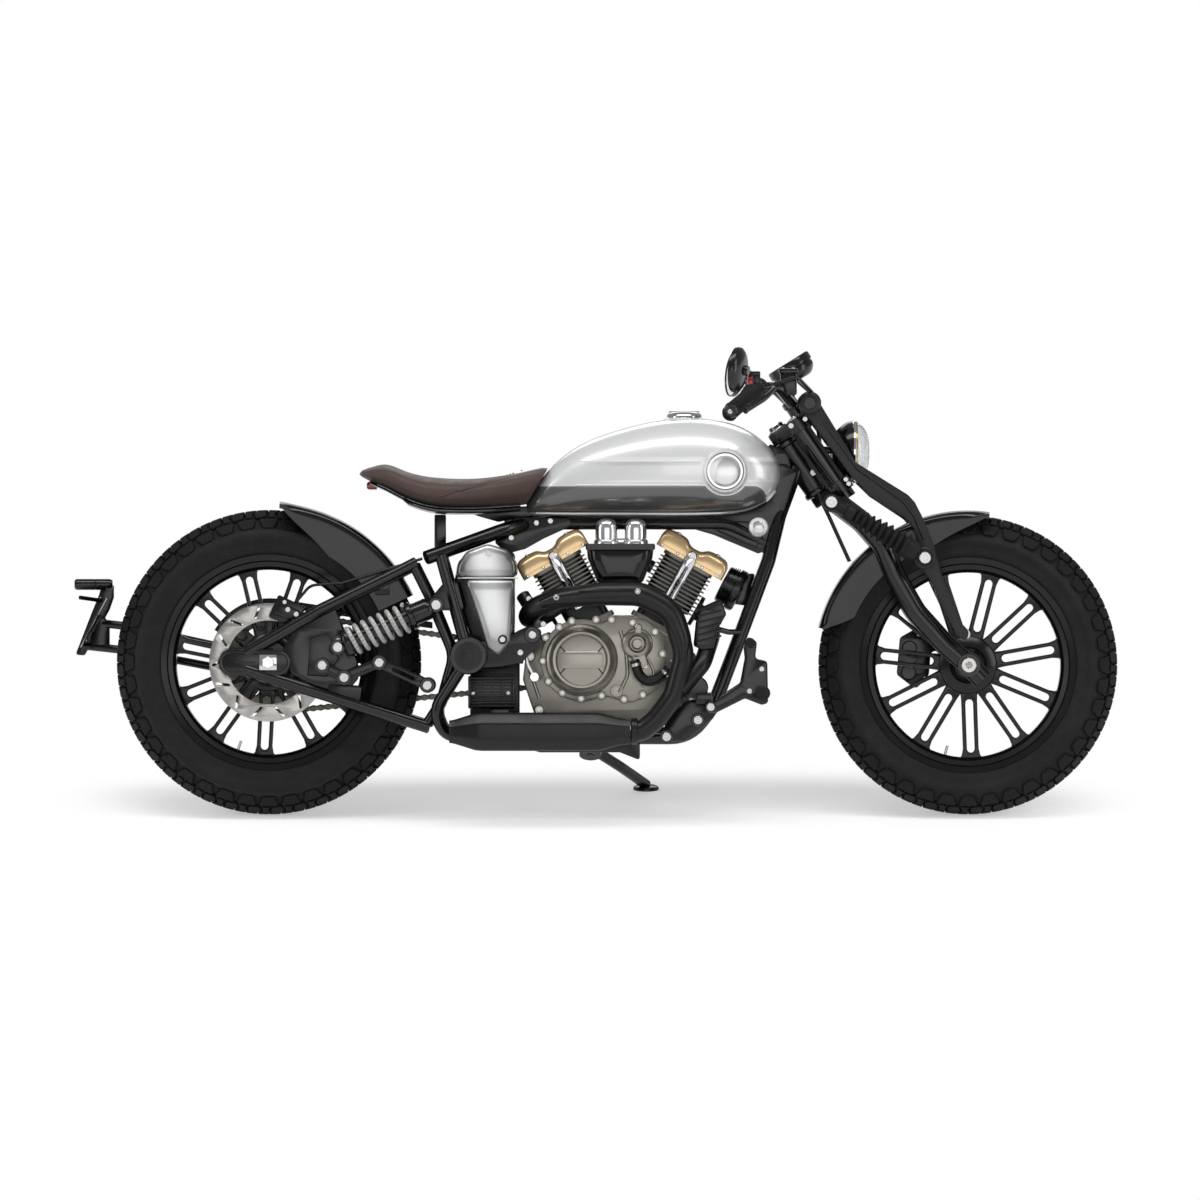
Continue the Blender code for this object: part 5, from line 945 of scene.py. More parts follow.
def swingHalf(s):
    y, shapes = s * links["armY"], []
    upper = [(-0.432, 0.54), (-0.469, 0.521), fromAxle(0.109, 0.11), fromAxle(-0.05, 0.018)]
    lower = [fromAxle(-0.05, -0.015), fromAxle(0.11, -0.065), (-0.405, 0.188)]
    for route in (upper, lower):
        shapes.append(tube([(x, y, z) for x, z in route], links["armRadius"], bend=0.09))
    shapes.append(tube([(-0.438, y, 0.536), (-0.405, y, 0.47), (-0.352, y, 0.342), (-0.38, y, 0.24),
        (-0.41, y, 0.194)], 0.012, bend=0.07))
    outline = arc(fromAxle(-0.078, 0.0), 0.028, 90, 270, 16) + arc(fromAxle(0.02, 0.0), 0.028, -90, 90, 16)
    recess = arc(fromAxle(-0.078, 0.0), 0.02, 90, 270, 12) + arc(fromAxle(0.02, 0.0), 0.02, -90, 90, 12)
    shapes.append(plate(outline, s * 0.101, s * 0.1255, soft=0.002))
    shapes.append(tube([(rearAxle.x + ahead, s * 0.1256, rearAxle.z) for ahead in (-0.072, -0.026)], 0.0016,
        bend=0, sides=10))
    shapes.append(plate(outline, s * 0.124, s * 0.127, [recess], soft=0.0012))
    gusset = [fromAxle(*p) for p in ((0.05, -0.024), (0.11, -0.055), (0.165, -0.065), (0.19, -0.037),
        (0.19, 0.003), (0.16, 0.071), (0.142, 0.12), (0.056, 0.075), (0.03, 0.024))]
    shapes.append(plate([fromAxle(*p) for p in ((0.07, -0.034), (0.16, -0.034), (0.16, 0.072), (0.07, 0.06))],
        s * 0.1085, s * 0.112, soft=0.0005))
    window = [fromAxle(*p) for p in ((0.085, -0.027), (0.125, -0.029), (0.15, 0.008), (0.128, 0.063),
        (0.09, 0.053))]
    shapes.append(plate(gusset, s * 0.1068, s * 0.1193, [window], soft=0.002, rounding=0.008))
    x, z = fromAxle(0.15, 0.045)
    shapes.append(rod((x, s * 0.104, z), (x, s * 0.128, z), 0.014, 32, 0.0015))
    for i, (start, end, out) in enumerate(zip(links["pins"], links["pins"][1:], links["out"])):
        hole = []
        if i == 2:
            a, b = Vector(start), Vector(end)
            hole = [slotOutline(a.lerp(b, 0.3), a.lerp(b, 0.7), 0.0038)]
        shapes.append(plate(slotOutline(start, end, 0.0112, 12), s * (out - 0.01), s * out, hole, soft=0.0016))
    for x, z in links["pins"]:
        shapes.append(rod((x, s * 0.113, z), (x, s * 0.1405, z), 0.0165, 36, 0.0018))
    # plate that steadies the link below
    shapes.append(plate([(-0.623, 0.28), (-0.549, 0.276), (-0.553, 0.246), (-0.588, 0.24), (-0.618, 0.252)],
        s * 0.12, s * 0.1245, rounding=0.008))
    return shapes


def makeSwingarm():
    cross = rod((-0.345, -0.115, pivot[1]), (-0.345, 0.115, pivot[1]), 0.02)
    piece("swingarmTubes", [cross] + both(swingHalf), black, "chassis", "black", ("swingarm",))
    spots = []
    for s in (-1, 1):
        spots += [at(x, s * 0.1405, z, (0, s, 0), 0.0098) for x, z in links["pins"]]
        spots.append(at(rearAxle.x + 0.15, s * 0.128, rearAxle.z + 0.045, (0, s, 0), 0.007))
    bolts("linkBolts", spots, "chassis", kind="cap")
    x, z = rearAxle.x, rearAxle.z
    shapes = [rod((x, -0.147, z), (x, 0.147, z), 0.011)]
    for s in (-1, 1):
        shapes.append(sideBox(s, (x - 0.019, 0.126, z - 0.017), (x + 0.019, 0.134, z + 0.017), 0.0022))
        shapes.append(stud(0.014, 0.012, 0.001, 0.002, (x, s * 0.1335, z), (0, s, 0), 6))
        shapes.append(stud(0.0068, 0.0165, 0.0008, 0.0015, (x, s * 0.1335, z), (0, s, 0), 24))
        shapes.append(rod((x, s * 0.0793, z), (x, s * 0.1007, z), 0.018, 32, 0.0008))
    piece("rearAxle", shapes, chrome, "chassis", "chrome", ("rear_axle",))


makeSwingarm()


# Fuel tank
tank = {"rows": ((-0.1955, 0.645, 0.671, 0.04), (-0.183, 0.6405, 0.693, 0.056), (-0.164, 0.64, 0.722, 0.07),
    (-0.125, 0.639, 0.764, 0.086), (-0.061, 0.6385, 0.804, 0.104), (0.046, 0.638, 0.838, 0.13),
    (0.141, 0.638, 0.851, 0.146), (0.218, 0.641, 0.845, 0.15), (0.277, 0.649, 0.8255, 0.138),
    (0.321, 0.672, 0.793, 0.11), (0.341, 0.7, 0.765, 0.074), (0.3485, 0.722, 0.745, 0.04)), "power": 2.5,
    "ridges": (0.757, 0.707)}


def tankSide(x, z, rows):
    # half width of the tank at a point of its side
    for a, b in zip(rows, rows[1:]):
        if a[0] <= x <= b[0]:
            share = (x - a[0]) / (b[0] - a[0])
            _, low, high, half = [p + (q - p) * share for p, q in zip(a, b)]
            up = min(abs(z - (low + high) / 2) / ((high - low) / 2), 1)
            return half * (1 - up ** tank["power"]) ** (1 / tank["power"])
    return 0.0


def makeTank():
    rows = smoothRows([list(row) for row in tank["rows"]], 6)
    rear, front = rows[0], rows[-1]
    closing = [rear[0] - 0.002, rear[1] + 0.005, rear[2] - 0.005, rear[3] * 0.75]
    ending = [front[0] + 0.0012, front[1] + 0.006, front[2] - 0.006, front[3] * 0.6]
    rings = []
    for x, bottom, top, half in [closing, *rows, ending]:
        middle, rise = (bottom + top) / 2, (top - bottom) / 2
        rings.append([(x, half * a, middle + rise * b) for a, b in oval(72, tank["power"])])
    x, z = badge
    shapes = [loft(rings)]
    for s in (-1, 1):
        shapes.append(turned([(0.0395, 0.03), (0.041, 0.0345), (0.044, 0.035), (0.0478, 0.029), (0.05, 0.018),
            (0.051, 0), (0.0395, 0)], (x, s * 0.12, z), (0, s, 0), 72, loop=True))
    # seams along the sides and the lip round the bottom
    for level in tank["ridges"]:
        for s in (-1, 1):
            line = [(u / 1000, s * (tankSide(u / 1000, level, rows) - 0.0007), level)
                for u in range(-90, 182, 8)]
            shapes.append(tube(line, 0.0016, sides=10))
    for s in (-1, 1):
        lip = []
        for u in range(-176, 344, 8):
            before = [row for row in rows if row[0] <= u / 1000][-1]
            level = max(0.6445, before[1] + 0.0075)
            lip.append((u / 1000, s * (tankSide(u / 1000, level + 0.003, rows) + 0.0008), level))
        shapes.append(tube(lip, 0.003, sides=12))
    shapes.append(turned([(0, 0.851), (0.04, 0.851), (0.044, 0.8485), (0.048, 0.843), (0.049, 0.83), (0, 0.83)],
        (0.141, 0, 0), (0, 0, 1), 64))
    piece("tankShell", shapes, silver, "chassis", "silver", ("fuel_tank",), 40)
    face, ring = [], []
    for s in (-1, 1):
        face.append(turned([(0, 0.0318), (0.008, 0.0316), (0.016, 0.0308), (0.024, 0.0295), (0.03, 0.0278),
            (0.032, 0.0262), (0, 0.02)], (x, s * 0.12, z), (0, s, 0), 64))
        ring.append(turned([(0.0322, 0.027), (0.0335, 0.0325), (0.038, 0.0325), (0.0398, 0.028), (0.0398, 0.02),
            (0.0322, 0.02)], (x, s * 0.12, z), (0, s, 0), 72, loop=True))
    piece("tankBadge", face, badgeSilver, "chassis", "chrome")
    piece("tankBadgeRing", ring, chrome, "chassis", "chrome")
    cap = turned([(0, 0.014), (0.018, 0.0136), (0.028, 0.0124), (0.0345, 0.0092), (0.0372, 0.005),
        (0.038, 0.002), (0.038, 0), (0, 0)], (0.141, 0, 0.8513), (0, 0, 1), 64)
    grip = box((0.108, -0.005, 0.86), (0.174, 0.005, 0.8664), 0.0022)
    piece("fuelCap", [cap, grip], chrome, "chassis", "chrome", ("fuel_cap",))


makeTank()


# Seat
seat = {"rows": ((-0.549, 0.724, -0.549, 0.739, 0.085), (-0.533, 0.7155, -0.529, 0.746, 0.11),
    (-0.5, 0.701, -0.495, 0.751, 0.132), (-0.45, 0.676, -0.445, 0.733, 0.143),
    (-0.392, 0.66, -0.39, 0.723, 0.145), (-0.31, 0.658, -0.308, 0.721, 0.135),
    (-0.25, 0.661, -0.226, 0.731, 0.112), (-0.21, 0.664, -0.171, 0.743, 0.092),
    (-0.203, 0.665, -0.158, 0.744, 0.086)), "power": 2.8, "seamDepth": 0.0022, "seamLow": 0.6745,
    "thread": 0.0008, "stitch": 0.0062, "pan": 0.014}


def seatSeam(x):
    # height of the welt between top pad and flank
    return max(seat["seamLow"], seat["seamLow"] + (x + 0.395) * 0.317, 0.723 + (x + 0.545) * -0.62)


def seatRing(row):
    lowX, lowZ, highX, highZ, half = row
    middle = (lowX + highX) / 2
    share = min(max((seatSeam(middle) - lowZ) / max(highZ - lowZ, 0.001), 0.12), 0.93)
    lift = 2 * share - 1
    turn = math.asin(math.copysign(abs(lift) ** (seat["power"] / 2), lift))
    steps = [-0.16, -0.09, -0.045, -0.02, 0.0, 0.02, 0.045, 0.09, 0.16]
    right = [math.pi / 2 * k / 12 for k in range(-12, 13)]
    right = sorted([a for a in right if abs(a - turn) > 0.2] + [turn + d for d in steps])
    while len(right) < 34:
        gaps = [(b - a, (a + b) / 2) for a, b in zip(right, right[1:])
            if min(abs(a - turn), abs(b - turn)) > 0.1]
        right = sorted(right + [max(gaps)[1]])
    right = right[:34]
    ring = []
    for angle in right + [math.pi - a for a in reversed(right[1:-1])]:
        c, s = math.cos(angle), math.sin(angle)
        across = math.copysign(abs(c) ** (2 / seat["power"]), c)
        up = math.copysign(abs(s) ** (2 / seat["power"]), s)
        near = min(abs(angle - turn), abs(math.pi - angle - turn))
        dent = seat["seamDepth"] * math.exp(-(near / 0.022) ** 2)
        swell = 0.0016 * max(0.0, math.sin(min(near / 0.9, 1) * math.pi))
        part = (up + 1) / 2
        ring.append((lowX + (highX - lowX) * part, (half + swell) * across
            - math.copysign(dent, across) * abs(across), lowZ + (highZ - lowZ) * part
            - (dent * 0.5 if up > 0 else 0)))
    return ring


def makeSeat():
    rows = smoothRows([list(r) for r in seat["rows"]], 6)
    tail = rows[0]
    ends = [[tail[0] - 0.004, tail[1] + 0.003, tail[2] - 0.003, tail[3] - 0.003, tail[4] * 0.86], [tail[0]
        - 0.006, tail[1] + 0.005, tail[2] - 0.005, tail[3] - 0.005, tail[4] * 0.6]]
    rings = [seatRing(row) for row in ends[::-1] + rows]
    rings.append([(x + 0.0062, y * 0.94, z - 0.0005 if z > 0.7 else z + 0.001) for x, y, z in rings[-1]])
    pad = piece("seatPad", [loft(rings)], seatLeather, "chassis", "leather", ("seat",), 55)
    # stitches just above the welt
    spots = []
    for s in (-1, 1):
        x = -0.505
        while x < -0.205:
            z = seatSeam(x) + 0.0045
            row = next((p for p in rows if (p[0] + p[2]) / 2 >= x), rows[-1])
            up = (z - row[1]) / (row[3] - row[1]) * 2 - 1
            if abs(up) < 0.97:
                across = row[4] * (1 - abs(up) ** seat["power"]) ** (1 / seat["power"])
                spots.append(((x, s * (across + 0.0006), z), (0, s, 0.2), 1.0))
            x += seat["stitch"]
    thread = turned([(0, -0.0022), (0.0006, -0.0019), (0.0008, 0), (0.0006, 0.0019), (0, 0.0022)], (0, 0, 0),
        (1, 0, 0), 8)
    piece("seatStitches", [onSpots(thread, spots)], finish("seatThread", (0.13, 0.095, 0.08), 0.7), "chassis",
        "leather")
    rings = []
    for lowX, lowZ, _, _, half in smoothRows([list(r) for r in seat["rows"][1:-1]], 4):
        thick = seat["pan"] if lowZ < 0.68 else 0.007
        rings.append([(lowX, (half - 0.012) * a, lowZ - 0.0003 - thick * (1 - b) / 2) for a,
            b in oval(40, 3.0)])
    bracket = plate([(-0.345, 0.656), (-0.19, 0.662), (-0.182, 0.642), (-0.226, 0.634), (-0.258, 0.628),
        (-0.3, 0.64)], -0.032, 0.032, rounding=0.006)
    piece("seatPan", [loft(rings), bracket], black, "chassis", "black", ("seat_pan",), 40)
    lamp = loft([[(x, 0.03 * a, 0.7055 + 0.0095 * b * k) for a, b in oval(28, 3)] for x, k in ((-0.518, 1),
        (-0.534, 1), (-0.538, 0.9), (-0.54, 0.6))])
    piece("tailLens", [lamp], lensRed, "chassis", "black")


makeSeat()
print("frame, tank and seat made")


# Fenders, chain, shocks and what hangs on the frame
def fenderShape(axle, inner, half, thick, start, end, skirt, steps, points, tip=0.0):
    def section(deep):
        halfArch = [[half, inner - deep], [half, inner - deep * 0.75], [half, inner - deep * 0.5],
            [half * 0.985, inner - min(deep * 0.4, 0.0105)], [half * 0.92, inner - min(deep * 0.3, 0.0045)],
            [half * 0.8, inner - 0.0015], [half * 0.45, inner], [0.0, inner + 0.0005]]
        arch = smoothRows(halfArch, 3)
        arch += [[-y, r] for y, r in arch[-2::-1]]
        outer = []
        for i, (y, r) in enumerate(arch):
            before, after = arch[max(i - 1, 0)], arch[min(i + 1, len(arch) - 1)]
            along = Vector((after[0] - before[0], after[1] - before[1])).normalized()
            out = Vector((-along.y, along.x))
            if out.dot(Vector((y, 0.02))) < 0:
                out = -out
            outer.append([y + out.x * thick, r + out.y * thick])
        return arch + outer[::-1]

    # the skirt runs out to a point at each end over the given shares of the arc
    rings = []
    for i in range(steps + 1):
        share = i / steps
        a = math.radians(start + (end - start) * share)
        first, last = points
        deep = skirt * min(1, (share / first) ** 0.62 if first else 1, ((1 - share) / last) ** 0.62 if last
            else 1)
        flare = tip * max(0, (share - 0.8) / 0.2) ** 2
        rings.append([(axle.x + (r + flare) * math.cos(a), y, axle.z + (r + flare) * math.sin(a)) for y,
            r in section(max(deep, 0.012))])
    return loft(rings)


def makeFenders():
    shapes = [fenderShape(frontAxle, 0.329, 0.0715, 0.0025, 82, 166, 0.064, 56, (0.3, 0.1))]
    rear = [fenderShape(rearAxle, 0.339, 0.0815, 0.0025, 25, 86, 0.078, 48, (0, 0.42), 0.004)]
    for s in (-1, 1):
        x, z = arc((frontAxle.x, frontAxle.z), 0.296, 126, 126, 1)[0]
        shapes.append(sideBox(s, (x - 0.015, 0.073, z - 0.012), (x + 0.015, 0.0762, z + 0.012), 0.001))
        x, z = arc((rearAxle.x, rearAxle.z), 0.293, 33.5, 33.5, 1)[0]
        rear.append(sideBox(s, (x - 0.015, 0.083, z - 0.0175), (x + 0.015, 0.1007, z + 0.0175), 0.002))
    piece("frontFender", shapes, gloss, "fork", "black", ("front_fender",), 45)
    piece("rearFender", rear, gloss, "chassis", "black", ("rear_fender",), 45)


makeFenders()


def makeChain(c):
    rear, front = Vector((rearAxle.x, rearAxle.z)), Vector(c["front"])
    span = front - rear
    lift = math.acos((c["rearRadius"] - c["frontRadius"]) / span.length)
    heading = math.atan2(span.y, span.x)
    top, bottom = heading + lift, heading - lift
    straight = span.length * math.sin(lift)
    lengths = [c["rearRadius"] * (2 * math.pi - 2 * lift), straight, c["frontRadius"] * 2 * lift, straight]
    total = sum(lengths)
    count = 2 * round(total / c["pitch"] / 2)

    def spot(distance):
        distance %= total
        if distance < lengths[0]:
            a = top + distance / c["rearRadius"]
            return rear + Vector((math.cos(a), math.sin(a))) * c["rearRadius"]
        distance -= lengths[0]
        out = Vector((math.cos(bottom), math.sin(bottom)))
        if distance < straight:
            return rear + out * c["rearRadius"] + Vector((-out.y, out.x)) * distance
        distance -= straight
        if distance < lengths[2]:
            a = bottom + distance / c["frontRadius"]
            return front + Vector((math.cos(a), math.sin(a))) * c["frontRadius"]
        distance -= lengths[2]
        out = Vector((math.cos(top), math.sin(top)))
        return front + out * c["frontRadius"] + Vector((-out.y, out.x)) * distance

    def linkShape(length, offset):
        ends = []
        for s in (-1, 1):
            outline = arc((-length / 2, 0), 0.007, 90, 270, 6) + [(0, -0.0048)]
            outline += arc((length / 2, 0), 0.007, -90, 90, 6) + [(0, 0.0048)]
            a, b = sorted((s * offset, s * (offset + 0.0016)))
            ends.append(plate(outline, a, b, soft=0.0003))
        return together(ends)

    roller = rod((0, -0.007, 0), (0, 0.007, 0), 0.0042, 12, 0.0003)
    roller = moved(roller, Matrix.Translation((-c["pitch"] / 2, 0, 0)))
    links = [together([linkShape(c["pitch"], offset), roller]) for offset in (0.0052, 0.0033)]
    shapes = []
    for i in range(count):
        a, b = spot(total * i / count), spot(total * (i + 1) / count)
        turn = math.atan2(b.y - a.y, b.x - a.x)
        place = Matrix.Translation(((a.x + b.x) / 2, c["y"], (a.y + b.y) / 2)) @ Matrix.Rotation(-turn, 4, "Y")
        shapes.append(moved(links[i % 2], place))
    piece("driveChain", shapes, chainSteel, "chassis", "steel", ("drive_chain",))
    guard = c["rearRadius"] + 0.0115
    outer = [(-0.4, 0.413)] + arc(rear, guard + 0.018, 76, 150, 28)
    inner = arc(rear, guard, 150, 78, 28) + [(-0.4, 0.399)]
    piece("chainGuard", [plate(outer + inner, 0.084, 0.1007, soft=0.0016)], black, "chassis", "black",
        ("chain_guard",))


makeChain(chain)


def makeRearShock(s, side):
    y = s * 0.172
    x, z = fromAxle(0.15, 0.033)
    top, bottom = Vector((-0.39, y, 0.45)), Vector((x, y, z))
    down = (bottom - top).normalized()
    length = (bottom - top).length
    dark = [turned([(0, 0.01), (0.016, 0.01), (0.0215, 0.016), (0.0235, 0.022), (0.0235, 0.052), (0.03, 0.054),
        (0.0308, 0.056), (0.0308, 0.062), (0.029, 0.064), (0.017, 0.066), (0.017, length - 0.036),
        (0.0285, length - 0.03), (0.03, length - 0.027), (0.03, length - 0.019), (0.028, length - 0.016),
        (0.014, length - 0.012), (0.013, length), (0, length)], top, down, 40)]
    dark += [sleeve(0.008, 0.0165, 0.012, 0.0015, 0.002, p, (0, s, 0), 32) for p in (top, bottom)]
    dark += [rod((top.x, s * 0.1463, top.z), (top.x, y, top.z), 0.008), rod((bottom.x, s * 0.1283, bottom.z),
        (bottom.x, y, bottom.z), 0.008)]
    piece("rearShockBody_" + side, dark, black, "chassis", "black", ("rear_shock_" + side,))
    axis = towardsMatrix(top, down)
    turns, start, end = 7.0, 0.0665, length - 0.0315
    line = []
    for i in range(int(turns * 24) + 1):
        a = 2 * math.pi * i / 24
        line.append(axis @ Vector((0.0285 * math.cos(a), 0.0285 * math.sin(a), start
            + (end - start) * i / (turns * 24))))
    piece("rearSpring_" + side, [tube(line, 0.005, sides=14, bend=0)], springGrey, "chassis", "spring",
        smooth=60)
    heads = [at(p.x, p.y + s * 0.0115, p.z, (0, s, 0), 0.0105) for p in (top, bottom)]
    bolts("rearShockBolts_" + side, heads, "chassis", kind="cap")


def makeRearBrake():
    x, z, y = rearAxle.x, rearAxle.z, -0.08
    turn = Matrix.Rotation(math.radians(25), 4, "Y")
    turn = Matrix.Translation((x + 0.04, y, z + 0.108)) @ turn @ Matrix.Translation((-x - 0.04, -y, -z - 0.108))
    # two halves with the disc free between them and a bridge over its edge
    body = together([moved(box((x + 0.008, y + a, z + low), (x + 0.072, y + b, z + 0.134), 0.0035), turn) for a,
        b, low in ((-0.0207, -0.0045, 0.082), (0.0045, 0.0207, 0.082), (-0.01, 0.01, 0.1235))])
    ridge = moved(box((x + 0.014, y - 0.024, z + 0.094), (x + 0.066, y - 0.006, z + 0.122), 0.004), turn)
    lug = box((x + 0.038, -0.1007, z + 0.065), (x + 0.066, y - 0.011, z + 0.098), 0.003)
    shapes = [body, ridge, lug, tube([(x + 0.06, y - 0.012, z + 0.13), (x + 0.09, y - 0.014, z + 0.165),
        (x + 0.16, -0.108, z + 0.17), (x + 0.33, -0.12, z + 0.222)], 0.0032, bend=0.03, sides=12)]
    piece("rearCaliper", shapes, black, "chassis", "black", ("rear_caliper",))
    bolts("caliperBolts", [at(-0.708, y - 0.024, 0.44, size=0.0055), at(-0.69, y - 0.024, 0.43, size=0.0055),
        at(-0.715, y - 0.0225, 0.456, size=0.0045), at(-0.69, -0.1007, 0.408, size=0.0055)], "chassis",
        kind="cap")


for s, side in sides:
    makeRearShock(s, side)
makeRearBrake()


def makePlateHolder():
    y = 0.16
    outline = [(-1.113, 0.494), (-1.087, 0.494), (-1.087, 0.466), (-1.096, 0.44), (-1.15, 0.341),
        (-1.1705, 0.342), (-1.134, 0.436), (-1.12, 0.47)]
    shapes = [plate(outline, y - 0.006, y + 0.006, soft=0.0015, rounding=0.006)]
    shapes.append(plate([(-1.13, 0.424), (-1.106, 0.424), (-1.096, 0.4), (-1.096, 0.352), (-1.14, 0.352)], y
        - 0.011, y + 0.011, soft=0.0025, rounding=0.006))
    shapes.append(rod((-1.16, 0.112, 0.466), (-1.105, 0.15, 0.458), 0.0045))
    routes = (((-1.126, 0.412), (-1.06, 0.404), fromAxle(-0.1, 0.031), fromAxle(-0.035, 0.023)),
        ((-1.152, 0.362), (-1.06, 0.352), fromAxle(-0.1, -0.015), fromAxle(-0.035, -0.018)))
    for route in routes:
        places = [(x, across, z) for (x, z), across in zip(route, (y, 0.149, 0.1385, 0.1385))]
        shapes.append(tube(places, 0.009, bend=0.05))
    slant = Matrix.Rotation(math.radians(28), 4, "Y") @ Matrix.Translation((1.138, 0, -0.416))
    slant = Matrix.Translation((-1.127, 0, 0.416)) @ slant
    shapes.append(moved(box((-1.14, -0.02, 0.352), (-1.136, 0.153, 0.472), 0.0012), slant))
    shapes.append(moved(box((-1.1365, 0.14, 0.392), (-1.13, 0.158, 0.432), 0.0012), slant))
    shapes.append(turned([(0, 0), (0.0085, 0), (0.012, 0.004), (0.012, 0.044), (0.0112, 0.045), (0.012, 0.046),
        (0.012, 0.076), (0.009, 0.082), (0, 0.082)], (-1.171, 0.12, 0.494), (1, 0, 0), 32))
    shapes.append(rod((-1.1, 0.118, 0.487), (-1.1, 0.161, 0.487), 0.007))
    piece("plateHolder", shapes, black, "chassis", "black", ("plate_holder",))
    bolts("plateBolts", [at(-1.116, y - 0.006, 0.462, size=0.0045), at(-1.148, y - 0.006, 0.376, size=0.0045)],
        "chassis")


makePlateHolder()

sideCover = {"cap": ((-0.348, 0.5085), (-0.216, 0.5085), (-0.218, 0.54), (-0.236, 0.568), (-0.28, 0.581),
    (-0.326, 0.564), (-0.346, 0.535)), "tongue": ((-0.33, 0.5068), (-0.221, 0.5068), (-0.226, 0.44),
    (-0.231, 0.372), (-0.256, 0.34), (-0.281, 0.356), (-0.296, 0.41)), "split": 0.508, "outer": 0.162}


def makeSideCover(s, side):
    c = sideCover
    shapes = [pillow(c["cap"], s * 0.1393, s * c["outer"], 0.026), pillow(c["tongue"], s * 0.1393,
        s * (c["outer"] - 0.0012), 0.01)]
    shapes.append(sideBox(s, (-0.308, 0.1213, 0.44), (-0.242, 0.145, 0.535), 0.002))
    piece("sideCover_" + side, shapes, silverCoverPaintedSheen, "chassis", "silver", ("side_cover_" + side,), 40)
    low, high = c["split"] - 0.0016, c["split"] + 0.0012
    strip = plate([(-0.344, low), (-0.217, low), (-0.217, high), (-0.344, high)], s * 0.1393, s * 0.1555,
        soft=0.0004)
    piece("coverStrip_" + side, [strip], chrome, "chassis", "chrome")
    spots = [at(-0.278, s * 0.1596, 0.56, (0, s, 0), 0.0062), at(-0.248, s * 0.16, 0.376, (0, s, 0), 0.0062)]
    bolts("coverBolts_" + side, spots, "chassis", kind="cap")
    rims = [turned([(0.0064, 0.001), (0.0095, 0.0014), (0.0105, 0), (0.0064, 0)], place, (0, s, 0), 28,
        loop=True) for place, aim, size in spots]
    piece("coverBoltRings_" + side, rims, gloss, "chassis", "gloss")


def makeElectrics():
    outline = [(-0.3, 0.345), (-0.262, 0.331), (-0.225, 0.345), (-0.222, 0.412), (-0.222, 0.56), (-0.25, 0.574),
        (-0.3, 0.562), (-0.342, 0.545), (-0.352, 0.5), (-0.332, 0.42)]
    piece("electricsBox", [plate(outline, -0.121, 0.121, soft=0.004, rounding=0.01), plate([(-0.33, 0.33),
        (-0.226, 0.33), (-0.222, 0.414), (-0.33, 0.414)], -0.1, 0.1, soft=0.004)], gloss, "chassis", "gloss",
        ("electrics_box",))
    body = box((-0.322, -0.12, 0.228), (-0.221, -0.09, 0.298), 0.003)
    fin = box((-0.32, -0.1295, 0.232), (-0.223, -0.118, 0.2352), 0.0008)
    ridge = box((-0.32, -0.1285, 0.231), (-0.316, -0.118, 0.295), 0.0008)
    stay = box((-0.275, -0.103, 0.1823), (-0.235, -0.097, 0.235), 0.0015)
    piece("regulator", [body, rowOf(fin, 9, (0, 0, 0.0075)), rowOf(ridge, 5, (0.0233, 0, 0)), stay], black,
        "chassis", "black", ("regulator",))
    bolts("regulatorBolts", [at(-0.311, -0.129, 0.261, size=0.005), at(-0.236, -0.129, 0.261, size=0.005)],
        "chassis")
    centre, forward = Vector((0.251, 0.0, 0.482)), Vector((0.88, 0, -0.47)).normalized()
    profile = [(0, 0.01), (0.014, 0.011), (0.015, 0.013), (0.04, 0.013), (0.044, 0.011), (0.046, 0.006),
        (0.046, -0.006)]
    for i in range(5):
        h = -0.0075 - i * 0.0046
        profile += [(0.04, h), (0.04, h - 0.0012), (0.045 - i * 0.0012, h - 0.0016),
            (0.045 - i * 0.0012, h - 0.004)]
    core = turned(profile + [(0.036, -0.032), (0, -0.033)], centre, forward, 48)
    stay = plate([(0.245, 0.452), (0.255, 0.512), (0.296, 0.52), (0.286, 0.492), (0.284, 0.462),
        (0.276, 0.448)], -0.02, 0.02, soft=0.002, rounding=0.008)
    piece("oilCooler", [core, stay, rod((0.294, -0.0552, 0.47), (0.294, 0.0552, 0.47), 0.006),
        rod(centre, (0.294, 0, 0.47), 0.008)], black, "chassis", "black", ("oil_cooler",))


